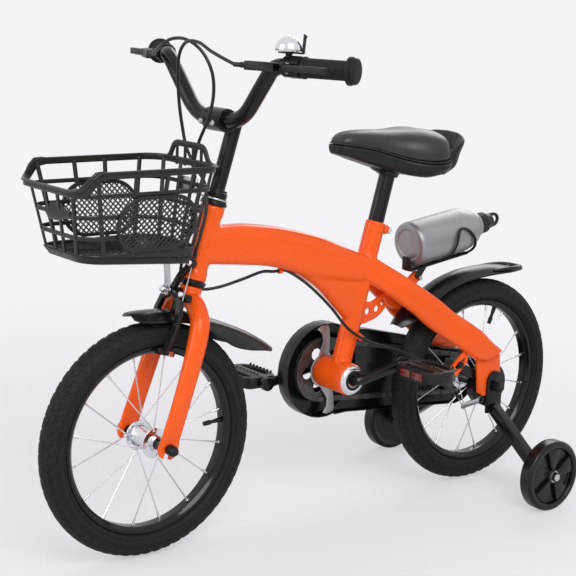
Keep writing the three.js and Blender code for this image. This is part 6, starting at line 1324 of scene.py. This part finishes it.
base_section = [
    (0.97, -0.03), (1, 0.12), (0.985, 0.45), (0.9, 0.8), (0.72, 1), (0, 1.04), (-0.72, 1), (-0.9, 0.8),
    (-0.985, 0.45), (-1, 0.12), (-0.97, -0.03), (0, -0.03),
]
base_rows = [
    (-0.002, 0.14, 0.20, 0.30), (0.015, 0.26, 0.22, 0.36), (0.07, 0.34, 0.25, 0.42), (0.15, 0.39, 0.33, 0.5),
    (0.25, 0.43, 0.45, 0.56), (0.34, 0.52, 0.61, 0.56), (0.44, 0.67, 0.79, 0.54), (0.53, 0.87, 0.91, 0.54),
    (0.61, 0.99, 0.96, 0.54), (0.70, 1.01, 0.95, 0.48), (0.77, 0.9, 0.88, 0.42), (0.81, 0.7, 0.82, 0.36),
]
base_shape = bmesh.new()
base_values = flow([Vector((along, width, seam)) for along, width, seam, _ in base_rows], 4)
base_depths = [value.x for value in flow([(depth, 0, 0) for _, _, _, depth in base_rows], 4)]
base_rings = []
for values, depth in zip(base_values, base_depths):
    top = saddle_level - values.z * saddle_depth - 0.0008
    half = values.y * saddle_half
    base_rings.append([
        base_shape.verts.new(saddle_point(values.x, side * half, top - drop * depth * saddle_depth))
        for side, drop in base_section
    ])
skin(base_shape, base_rings)
handle_half = saddle_half * 0.78
handle_side = [(0.70, 0.96, -1.12), (0.81, 1.0, -0.76), (0.89, 0.84, -0.42), (0.93, 0.48, -0.24)]
handle_rows = handle_side + [(0.94, 0, -0.20)]
handle_rows += [(along, -side, rise) for along, side, rise in reversed(handle_side)]
handle_line = flow([
    saddle_point(along, side * handle_half, saddle_level + rise * saddle_depth)
    for along, side, rise in handle_rows
], 6)
count = len(handle_line)
sweep(base_shape, handle_line, (-0.45, 0, 0.9), [0.0150] * count, [0.0048] * count, 24, 2.6)
hump = flow([saddle_point(0.30, 0, 0.5700), saddle_point(0.36, 0, 0.5530), saddle_point(0.43, 0, 0.5480)], 4)
sweep(base_shape, hump, (0, 1, 0), [0.016] * len(hump), [0.011] * len(hump), 24)
rod(base_shape, seat_point(0.3235), seat_point(0.3560), 0.0172, sides=40)
base_skin = welded(base_shape, "saddle_base_form", 0.0017, 5)
shown("saddle_base_moulding", base_skin, satin_plastic, "seat", ["saddle_base"], angle=70)

# The bottle: brushed grey aluminium with a shoulder drawn in to its neck, and a black screw cap with grip
# ribs round it and a carrying loop on its end.

brushed = surface(
    "brushed_aluminium", (0.33, 0.33, 0.34), 0.42, metallic=0.75, tone=0.07, tone_scale=40, grain=0.3,
    grain_scale=420, stretch=(0.12, 1.6, 1.6), scuff=0.1,
)
bottle_aim = Vector((-0.989016, 0, 0.147809))
bottle_foot = Vector((-0.164, 0, 0.419))
bottle_up = Vector((0.147809, 0, 0.989016))
bottle_radius = 0.0365
bottle_profile = [
    (0, 0.0030), (0.0240, 0.0030), (0.0262, 0.0002), (0.0345, 0.0016), (bottle_radius, 0.0075),
    (bottle_radius, 0.1080), (0.0352, 0.1190), (0.0290, 0.1370), (0.0216, 0.1460), (0.0208, 0.1500),
    (0.0208, 0.1520), (0, 0.1520),
]
bottle = bmesh.new()
turned(bottle, rounded(bottle_profile, 0.0030, 5, closed=False), bottle_foot, bottle_aim, 96, closed=False)
shown("bottle_shell", bottle, brushed, "flask", ["bottle"], angle=50)

cap_profile = [
    (0, 0.1523), (0.0168, 0.1523), (0.0170, 0.1720), (0.0150, 0.1735), (0.0128, 0.1780), (0.0122, 0.1855),
    (0, 0.1863),
]
grip_rib_start = bottle_foot + bottle_aim * 0.1545
grip_rib_end = bottle_foot + bottle_aim * 0.1708
grip_rib_count = 36
loop_start = 0.1860
loop_length = 0.0185
loop_half_width = 0.0098
loop_steps = 24
cap = bmesh.new()
turned(cap, rounded(cap_profile, 0.0012, 4, closed=False), bottle_foot, bottle_aim, 64, closed=False)
for i in range(grip_rib_count):
    angle = math.radians(360 / grip_rib_count * i)
    out = (bottle_up * math.cos(angle) + Vector((0, 1, 0)) * math.sin(angle)) * 0.0166
    rod(cap, grip_rib_start + out, grip_rib_end + out, 0.0008, sides=8)
loop_line = []
for i in range(loop_steps + 1):
    angle = math.radians(-90 + 180 * i / loop_steps)
    along = loop_start + loop_length * max(math.cos(angle), 0) ** 0.6
    loop_line.append(bottle_foot + bottle_aim * along + bottle_up * loop_half_width * math.sin(angle))
sweep(cap, loop_line, (0, 1, 0), [0.0024] * len(loop_line), [0.0027] * len(loop_line), 16, 3)
shown("bottle_cap_moulding", cap, satin_plastic, "flask_cap", ["bottle_cap"], angle=40)

# The bottle cage: black plastic, with a flat spine under the bottle, a lip before its foot, a tab that bolts
# to the frame's ear, and an oval arm that rises over each side and comes back to the spine.


def bottle_point(along, radius, degrees):
    """A point beside the bottle: along it, out from its axis, and turned round it from underneath."""
    turn = math.radians(degrees)
    down = -bottle_up * radius * math.cos(turn)
    return bottle_foot + bottle_aim * along + down + Vector((0, radius * math.sin(turn), 0))


cage_radius = 0.0394
arm_bends = (
    (0.050, 4), (0.060, 22), (0.067, 48), (0.072, 76), (0.0765, 98), (0.084, 110), (0.094, 108),
    (0.104, 96), (0.113, 76), (0.1175, 52), (0.1150, 28), (0.1060, 4),
)
spine_half_width = 0.0112
spine_end_half_width = 0.0085
cage = bmesh.new()
for side in (1, -1):
    arm = flow([bottle_point(along, cage_radius + 0.0004, side * degrees) for along, degrees in arm_bends], 5)
    sweep(cage, arm, (0, 0, 1), [0.0021] * len(arm), [0.0026] * len(arm), 14)
spine = flow([
    bottle_point(along, cage_radius + 0.0012, 0) for along in (-0.0052, 0.010, 0.060, 0.112, 0.124)
], 4)
spine_widths = [spine_half_width] * (len(spine) - 1) + [spine_end_half_width]
sweep(cage, spine, (0, 1, 0), spine_widths, [0.0020] * len(spine), 20, 4)
lip = flow([
    bottle_point(-0.0046, cage_radius + 0.001, 0), bottle_point(-0.0048, 0.032, 0),
    bottle_point(-0.0044, 0.0185, 0),
], 4)
lip_widths = [0.0125 - 0.0004 * i for i in range(len(lip))]
sweep(cage, lip, (0, 1, 0), lip_widths, [0.0017] * len(lip), 20, 3)
tab_foot = Vector((-0.1836, 0.0048, 0.3640))
tab_head = bottle_point(0.027, cage_radius, 0) + Vector((0, 0.0048, 0))
tab_line = [tab_foot, tab_foot.lerp(tab_head, 0.5), tab_head]
sweep(cage, tab_line, (0, 1, 0), [0.0016] * 3, [0.0068, 0.0068, 0.0080], 20, 3.4)
cage_skin = welded(cage, "bottle_cage_form", 0.0009, 3)
shown("bottle_cage_moulding", cage_skin, satin_plastic, "frame", ["bottle_cage"], angle=60)
ear_bolt = bmesh.new()
hexagon_head(ear_bolt, (-0.1896, 0.0050, 0.3638), (0, 1, 0), 0.0044, 0.0032)
shown("cage_bolt", ear_bolt, zinc, "frame", [])

# The basket: a black moulded lattice with a thick rim band, rows and columns of ribs, a round-ended panel of
# crossed strands on each side and a slotted arch at the back. A plated bracket holds it to the handlebar and
# a plated stay to the front axle.

basket_plastic = surface(
    "basket_plastic", (0.009, 0.009, 0.0095), 0.32, tone=0.15, tone_scale=50, grain=0.08, grain_scale=700,
    coat=0.2, coat_roughness=0.2, scuff=0.06, shine=0.35,
)
basket_centre = 0.378
basket_floor = 0.446
basket_rise = 0.131
tub_half_length = 0.114
tub_half_width = 0.0845
tub_corner = 0.030
tub_taper_long = 0.0225
tub_taper_wide = 0.022
floor_shift = 0.0005
floor_slope = math.tan(math.radians(4.4))


def tub_ring(share, inset):
    """One outline of the wall: front left corner, left side, back, right side and front."""
    middle = basket_centre - floor_shift * (1 - share)
    half_length = tub_half_length - tub_taper_long * (1 - share) - inset
    half_width = tub_half_width - tub_taper_wide * (1 - share) - inset
    corner = tub_corner - inset
    run_long, run_wide = half_length - corner, half_width - corner
    points = []
    for quarter, (ahead, left) in enumerate(((1, 1), (-1, 1), (-1, -1), (1, -1))):
        hub = Vector((middle + ahead * run_long, left * run_wide, 0))
        for i in range(7):
            angle = math.radians(90 * quarter + 15 * i)
            points.append(hub + Vector((math.cos(angle), math.sin(angle), 0)) * corner)
        along_side = quarter % 2 == 0
        steps, run = (20, run_long) if along_side else (12, run_wide)
        heading = Vector((-ahead if along_side else 0, 0 if along_side else -left, 0))
        last = points[-1].copy()
        points += [last + heading * 2 * run * i / steps for i in range(1, steps)]
    for point in points:
        slope = 0 if share > 0.5 else floor_slope * (point.x - middle)
        point.z = basket_floor + basket_rise * share + slope
    return points


rib_half, wall_half = 0.0031, 0.0015
tub_low, tub_rim = tub_ring(0.07, wall_half), tub_ring(1, wall_half)
tub_steps = len(tub_rim)


def wall_at(i, height):
    """A point of the wall at one of its steps round and a height."""
    low, rim = tub_low[i % tub_steps], tub_rim[i % tub_steps]
    return low.lerp(rim, (height - low.z) / (rim.z - low.z))


def rim_height(x):
    """The rim is level at the back and dips before the front corners."""
    share = min(max((x - 0.4585) / 0.027, 0), 1)
    return 0.5722 - 0.0238 * share * share * (3 - 2 * share)


def side_wall(side, x, height):
    """A point on the left or the right wall."""
    low = basket_floor + basket_rise * 0.07 + floor_slope * (x - basket_centre - 0.005)
    share = (height - low) / (basket_floor + basket_rise - low)
    return Vector((x, side * (0.0675 + 0.0205 * share - wall_half), height))


def row(shape, height, first, last):
    """A level rib along the wall, from one step round it to another, or all the way round."""
    line = [wall_at(i, height) for i in range(first, last + 1)]
    whole = last - first + 1 == tub_steps
    sweep(shape, line, (0, 0, 1), [rib_half] * len(line), [wall_half] * len(line), 12, 4, closed=whole)


def column(shape, i, bottom, top):
    """An upright rib at one step round the wall."""
    line = [wall_at(i, bottom + (top - bottom) * step / 6) for step in range(7)]
    hold = wall_at(i + 1, top) - wall_at(i - 1, top)
    sweep(shape, line, hold, [rib_half] * 7, [wall_half * 1.15] * 7, 12, 4)


def net(shape, half_u, half_v, corner, pitch, strand, place):
    """Crossed strands inside a field with rounded corners."""
    reach = half_u + half_v
    slant = 0.7071
    for lean in (1, -1):
        for k in range(-int(reach / pitch), int(reach / pitch) + 1):
            inside = []
            for step in range(-200, 201):
                along, off = reach * step / 200, k * pitch
                u, v = (along + off * lean) * slant, (along * lean - off) * slant
                beyond = math.hypot(max(abs(u) - half_u + corner, 0), max(abs(v) - half_v + corner, 0))
                if beyond < corner:
                    inside.append((u, v))
            if len(inside) > 3:
                rod(shape, place(*inside[0]), place(*inside[-1]), strand, sides=6)


rim_bead = bmesh.new()
rim_line = [Vector((point.x, point.y, rim_height(point.x))) for point in tub_rim]
rim_halves = []
for point in tub_rim:
    ramp_up = min(max((point.x - 0.445) / 0.02, 0), 1)
    ramp_down = min(max((0.491 - point.x) / 0.01, 0), 1)
    rim_halves.append(0.0048 + 0.0030 * (ramp_up * ramp_down))
sweep(rim_bead, rim_line, (0, 0, 1), rim_halves, [0.0021] * tub_steps, 16, 3.2, closed=True)
lip_line = []
for point in rim_line:
    outward = Vector((point.x - basket_centre, point.y, 0)) * 0.012
    lip_line.append(point + Vector((0, 0, 0.0032)) + outward)
sweep(rim_bead, lip_line, (0, 0, 1), [0.0018] * tub_steps, [0.0034] * tub_steps, 12, 2.4, closed=True)
arch_x = 0.2652
arch_half = [(-0.0640, 0.5712), (-0.0490, 0.5740), (-0.0370, 0.5968)]
arch_corners = [(arch_x, y, z) for y, z in arch_half] + [(arch_x, -y, z) for y, z in reversed(arch_half)]
arch = bent_line(arch_corners, [0.010] * 4, 8)
sweep(rim_bead, arch, (1, 0, 0), [0.0018] * len(arch), [0.0046] * len(arch), 14, 3.2)
for across in (-0.0300, -0.0100, 0.0100, 0.0300):
    bar = [Vector((arch_x, across, 0.5660)), Vector((arch_x, across, 0.5950))]
    sweep(rim_bead, bar, (1, 0, 0), [0.0014] * 2, [0.0026] * 2, 12, 4)
shown("basket_rim", rim_bead, basket_plastic, "steering", ["basket"], angle=50)

whole_columns = (1, 31, 36, 40, 45, 75, 80, 84, 6, 26, 50, 70)
split_columns = (13, 19, 57, 63)
panel_x = 0.364
panel_z = 0.503
panel_half_u = 0.061
panel_half_v = 0.036
bottom_row = 0.4605
top_row = 0.5443
lattice = bmesh.new()
for height in (bottom_row, top_row):
    row(lattice, height, 0, tub_steps - 1)
for height in (0.5155, 0.4867):
    row(lattice, height, 65, tub_steps + 11)
    row(lattice, height, 25, 51)
for i in whole_columns:
    column(lattice, i, tub_low[i].z, rim_height(wall_at(i, 0.55).x))
for i in split_columns:
    sideways = max(abs(wall_at(i, 0.5).x - panel_x) - (panel_half_u - panel_half_v), 0)
    tall = math.sqrt(panel_half_v ** 2 - sideways ** 2)
    column(lattice, i, tub_low[i].z, panel_z - tall)
    column(lattice, i, panel_z + tall, rim_height(0.4))
front_plate = flow([wall_at(i, 0.5170) for i in range(79, 89)], 2)
plate_shares = [0.0050, 0.0110, 0.0120, 0.0122, 0.0120, 0.0110, 0.0085, 0.0068, 0.0058, 0.0050]
plate_halves = [value.x for value in flow([(half, 0, 0) for half in plate_shares], 2)]
sweep(lattice, front_plate, (0, 0, 1), plate_halves, [0.0019] * len(front_plate), 16, 3.2)
shown("basket_ribs", lattice, basket_plastic, "steering", [], angle=50)

for side, piece in ((1, "basket_net_left"), (-1, "basket_net_right")):
    panel = bmesh.new()
    net(panel, panel_half_u, panel_half_v, panel_half_v, 0.0060, 0.00122,
        lambda u, v: side_wall(side, panel_x + u, panel_z + v))
    run = panel_half_u - panel_half_v
    border = [
        side_wall(side, panel_x + lead * run + panel_half_v * math.cos(math.radians(angle + turn)),
                  panel_z + panel_half_v * math.sin(math.radians(angle + turn)))
        for lead, turn in ((1, -90), (-1, 90)) for angle in range(0, 181, 12)
    ]
    sweep(panel, border, (0, side, 0), [0.0017] * len(border), [0.0028] * len(border), 12, 3.2, closed=True)
    shown(piece, panel, basket_plastic, "steering", [], angle=50)

tub_floor = bmesh.new()
outer_low, outer_mid = tub_ring(0, 0.0055), tub_ring(0.07, 0)
inner_low, inner_mid = tub_ring(0, 0.0081), tub_ring(0.07, 0.0026)
stations = []
for i in range(tub_steps):
    top = wall_at(i, bottom_row)
    aside = (top - Vector((basket_centre, 0, top.z))).normalized() * wall_half
    section = [
        outer_low[i], outer_low[i].lerp(outer_mid[i], 0.6) + aside * 0.6, outer_mid[i], top + aside,
        top - aside, inner_mid[i], inner_low[i] + Vector((0, 0, 0.0026)),
    ]
    stations.append([tub_floor.verts.new(point) for point in section])
skin(tub_floor, stations, closed=True)
hatch = 3
for i in range(tub_steps):
    for step in range(hatch):
        start = outer_low[i].lerp(outer_low[(i + 1) % tub_steps], step / hatch)
        end = outer_mid[(i + 1) % tub_steps].lerp(outer_mid[(i + 2) % tub_steps], step / hatch)
        aside = Vector((start.x - basket_centre, start.y, 0)).normalized() * 0.0005
        rod(tub_floor, start + aside * 2, end + aside, 0.0012, sides=6)
floor_middle = basket_centre - floor_shift


def floor_at(u, v, above):
    return Vector((floor_middle + u, v, basket_floor + floor_slope * u + above))


net(tub_floor, 0.0865, 0.0575, 0.025, 0.0080, 0.0013, lambda u, v: floor_at(u, v, 0.0014))
for across in (-0.0319, 0.0, 0.0319):
    rail = [floor_at(u, across, 0.0018) for u in (-0.084, 0, 0.084)]
    sweep(tub_floor, rail, (0, 0, 1), [0.0018] * 3, [0.0028] * 3, 12, 3)
shown("basket_floor", tub_floor, basket_plastic, "steering", [], angle=50)
worked("basket_bracket", "basket_bracket_finish", zinc, 0.0008)
worked("basket_stay", "basket_stay_finish", zinc, 0.0007)

# The drive: a one-piece forged crank in its pressed cups, a steel chainring and sprocket, and a glossy black
# guard disc with its tail, bolted to the frame by a grey plate.

grey_plate = surface(
    "grey_plate", (0.42, 0.42, 0.43), 0.42, metallic=0.75, tone=0.1, tone_scale=50, grain=0.1,
)
chain_steel = surface(
    "chain_steel", (0.09, 0.086, 0.082), 0.36, metallic=0.75, tone=0.25, tone_scale=120, grain=0.2, scuff=0.2,
)
for node, finish, slot, edge in (
    ("bottom_bracket_cup_left", chrome, "bright_steel", 0.0004),
    ("bottom_bracket_cup_right", chrome, "bright_steel", 0.0004),
    ("crank", black_paint, "black_paint", 0.0008),
    ("sprocket", chain_steel, "chain_steel", 0.0004),
    ("chain_guard", gloss_plastic, "gloss_plastic", 0.0004),
    ("chain_guard_bracket", grey_plate, "grey_plate", 0.0004),
):
    worked(node, node + "_finish", finish, edge)
seal_profile = [(0.0112, 0.0376), (0.0160, 0.0376), (0.0160, 0.0388), (0.0112, 0.0388)]
seal = bmesh.new()
turned(seal, rounded(seal_profile, 0.0004), crank_axis, (0, 1, 0), 48)
shown("bearing_seal", seal, grip_rubber, "frame", [])

tooth_count = 24
tooth_root = 0.0450
tooth_tip = 0.0505
window_count = 5
window_reach = 0.0285
ring_outline = []
for tooth in range(tooth_count):
    for turn, reach in ((-5.4, tooth_root), (-2.2, tooth_tip), (2.2, tooth_tip), (5.4, tooth_root)):
        angle = math.radians(tooth * 360 / tooth_count + turn)
        ring_outline.append((crank_axis.x + reach * math.cos(angle), crank_axis.z + reach * math.sin(angle)))
ring_holes = [circle_points(crank_axis.x, crank_axis.z, 0.0096, 24)]
for window in range(window_count):
    angle = math.radians(window * 360 / window_count + 66)
    window_x = crank_axis.x + window_reach * math.cos(angle)
    window_z = crank_axis.z + window_reach * math.sin(angle)
    ring_holes.append(circle_points(window_x, window_z, 0.0098, 28))
chainring = bmesh.new()
prism(chainring, ring_outline, -0.0432, -0.0408, ring_holes, bevel=0.0003)
chainring_body = frame["nodes"]["chainring"]["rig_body"]
shown("chainring_plate", chainring, chain_steel, chainring_body, ["chainring"])

# The roller chain: outer and inner steel side plates in turn on riveted pins, with rollers where it runs free
# of the teeth. It runs round the chainring and the sprocket.

chainring_pitch_radius = 0.04865
sprocket_pitch_radius = 0.03255
wrap = math.asin((chainring_pitch_radius - sprocket_pitch_radius) / (crank_axis - rear_axle).length)
lean = math.atan2(crank_axis.z - rear_axle.z, crank_axis.x - rear_axle.x)
top_turn = lean + math.pi / 2 + wrap
low_turn = lean - math.pi / 2 - wrap
arc_steps = 60
loop = []
for centre, radius, first, last in (
    (crank_axis, chainring_pitch_radius, low_turn, top_turn),
    (rear_axle, sprocket_pitch_radius, top_turn, low_turn + 2 * math.pi),
):
    for step in range(arc_steps + 1):
        turn = first + (last - first) * step / arc_steps
        loop.append(centre + Vector((math.cos(turn), 0, math.sin(turn))) * radius)
loop.append(loop[0])
reached = [0.0]
for i in range(1, len(loop)):
    reached.append(reached[-1] + (loop[i] - loop[i - 1]).length)


def chain_spot(along):
    """The point at a length along the chain's loop."""
    i = max(j for j in range(len(reached) - 1) if reached[j] <= along + 1e-9)
    share = (along - reached[i]) / (reached[i + 1] - reached[i])
    return loop[i].lerp(loop[i + 1], share)


link_count = 68
chain_y = -0.042
plate_thickness = 0.0009
spots = [chain_spot(reached[-1] * i / link_count) for i in range(link_count)]
chain = bmesh.new()
for i, spot in enumerate(spots):
    run = spots[(i + 1) % link_count] - spot
    centre = spot + run / 2
    tilt = math.degrees(math.atan2(run.z, run.x))
    plate = slot_points(centre.x, centre.z, run.length / 2 + 0.0040, 0.0040, tilt)
    inner_face = 0.0026 if i % 2 else 0.0016
    pin = spot + Vector((0, chain_y, 0))
    for face in (1, -1):
        near = chain_y + face * inner_face
        prism(chain, plate, near, near + face * plate_thickness, bevel=0.0002)
        rod(chain, pin + Vector((0, face * 0.0018, 0)), pin + Vector((0, face * 0.0039, 0)), 0.0018, sides=12)
    if (spot - crank_axis).length > 0.057 and (spot - rear_axle).length > 0.042:
        rod(chain, pin - Vector((0, 0.0016, 0)), pin + Vector((0, 0.0016, 0)), 0.0038, sides=16)
shown("roller_chain", chain, chain_steel, frame["nodes"]["chain"]["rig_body"], ["chain"])

# The pedals: black moulded frames round a barrel, open on both sides of it, with rows of studs underfoot and
# two red reflectors let into each of the front and back edges.

reflector = surface(
    "reflector", (0.15, 0.018, 0.008), 0.12, tone=0.2, cells=True, grain=0.4, grain_scale=400, coat=0.8,
)
stud_rows = ((0.0292, 0.018, 0.072, 7), (-0.0292, 0.018, 0.072, 7), (0, 0.014, 0.078, 8))
barrel_profile = rounded([
    (0.0052, 0), (0.0088, 0), (0.0104, 0.004), (0.0104, 0.084), (0.0084, 0.0872), (0.0052, 0.0872),
], 0.001)
pedal_edge = [(20, 0), (26, 4), (30, 14), (32, 30), (33, 46), (32, 62), (29, 74), (23, 83), (14, 87)]
pedal_outline = pedal_edge + [(-x, y) for x, y in reversed(pedal_edge)]
pedal_window = [(12.5, 13), (20, 12), (25, 22), (26.5, 38), (26.5, 52), (25, 66), (20, 76), (12.5, 76)]
pedal_places = ((1, "pedal_left", (-0.117, 0.064, 0.2397)), (-1, "pedal_right", (0.059, -0.080, 0.2023)))
for side, name, place in pedal_places:
    turn_plan = Matrix(((1, 0, 0, place[0]), (0, 0, side, place[1]), (0, 1, 0, place[2]), (0, 0, 0, 1)))
    pedal = bmesh.new()
    prism(
        pedal, [(x / 1000, y / 1000) for x, y in pedal_outline], -0.0092, 0.0092,
        [[(sign * x / 1000, y / 1000) for x, y in pedal_window] for sign in (1, -1)], turn_plan, 0.0020,
    )
    middle = Vector(place)
    outward = Vector((0, side, 0))
    turned(pedal, barrel_profile, middle, outward, 40)
    for face in (1, -1):
        stud_foot = Vector((0, 0, face * 0.0085))
        stud_top = Vector((0, 0, face * 0.0116))
        for x, first, last, count in stud_rows:
            for i in range(count):
                spot = middle + Vector((x, 0, 0)) + outward * (first + (last - first) * i / (count - 1))
                rod(pedal, spot + stud_foot, spot + stud_top, 0.0022, 0.0016, 12)
    body = frame["nodes"][name]["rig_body"]
    shown(name + "_moulding", pedal, satin_plastic, body, [name])
    glass = bmesh.new()
    for end in (1, -1):
        for low, high in ((0.020, 0.042), (0.046, 0.068)):
            box = [(end * 0.0305, low), (end * 0.0338, low), (end * 0.0338, high), (end * 0.0305, high)]
            prism(glass, box, -0.0055, 0.0055, (), turn_plan, 0.0008)
    shown(name + "_reflector", glass, reflector, body, [])

# The training wheels: black moulded wheels with five raised wedges between their pockets, each on a plated
# bolt in a pressed black bracket.

training_radius = 0.0582
training_side = 0.191
training_profile = rounded([
    (0.0056, -0.0122), (0.0125, -0.0122), (0.0125, -0.0075), (0.0455, -0.0070), (0.0478, -0.0115),
    (0.0535, -0.0124), (training_radius, -0.0092), (training_radius, 0.0092), (0.0535, 0.0124),
    (0.0478, 0.0118), (0.0462, 0.0082), (0.0452, 0.0035), (0.0125, 0.0035), (0.0118, 0.0112),
    (0.0056, 0.0112),
], 0.0016)
bolt_washer_profile = rounded([(0.0044, 0), (0.0092, 0), (0.0092, 0.0012), (0.0044, 0.0012)], 0.0003)
wedge_count = 5
wedge_half_angle = 19
for side, hand in ((1, "left"), (-1, "right")):
    centre = Vector((rear_axle.x, side * training_side, training_radius))
    outside = Vector((0, side, 0))
    wheel_form = bmesh.new()
    turned(wheel_form, training_profile, centre, outside, 96)
    for wedge in range(wedge_count):
        aim = 90 + wedge * 360 / wedge_count
        first, last = aim - wedge_half_angle, aim + wedge_half_angle
        outline = circle_points(centre.x, centre.z, 0.0455, 12, first, last)
        outline += list(reversed(circle_points(centre.x, centre.z, 0.0105, 4, first, last)))
        prism(wheel_form, outline, centre.y + side * 0.0030, centre.y + side * 0.0092, bevel=0.0009)
    node = "training_wheel_" + hand
    body = frame["nodes"][node]["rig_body"]
    shown("training_wheel_moulding_" + hand, wheel_form, gloss_plastic, body, [node])
    node = "training_bracket_" + hand
    worked(node, "training_bracket_finish_" + hand, black_paint, 0.0006)
    bolt = bmesh.new()
    turned(bolt, bolt_washer_profile, centre + outside * 0.0116, outside, 36)
    hexagon_head(bolt, centre + outside * 0.0126, outside, 0.0070, 0.0056)
    shown("training_wheel_bolt_" + hand, bolt, zinc, frame["nodes"][node]["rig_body"], [])

# The band brake: a black pressed cover on the left of the rear hub, with its plated arm.

worked("band_brake_cover", "band_brake_finish", black_paint, 0.0008, segments=3)
worked("band_brake_arm", "band_brake_arm_finish", zinc, 0.0004)

low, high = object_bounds()
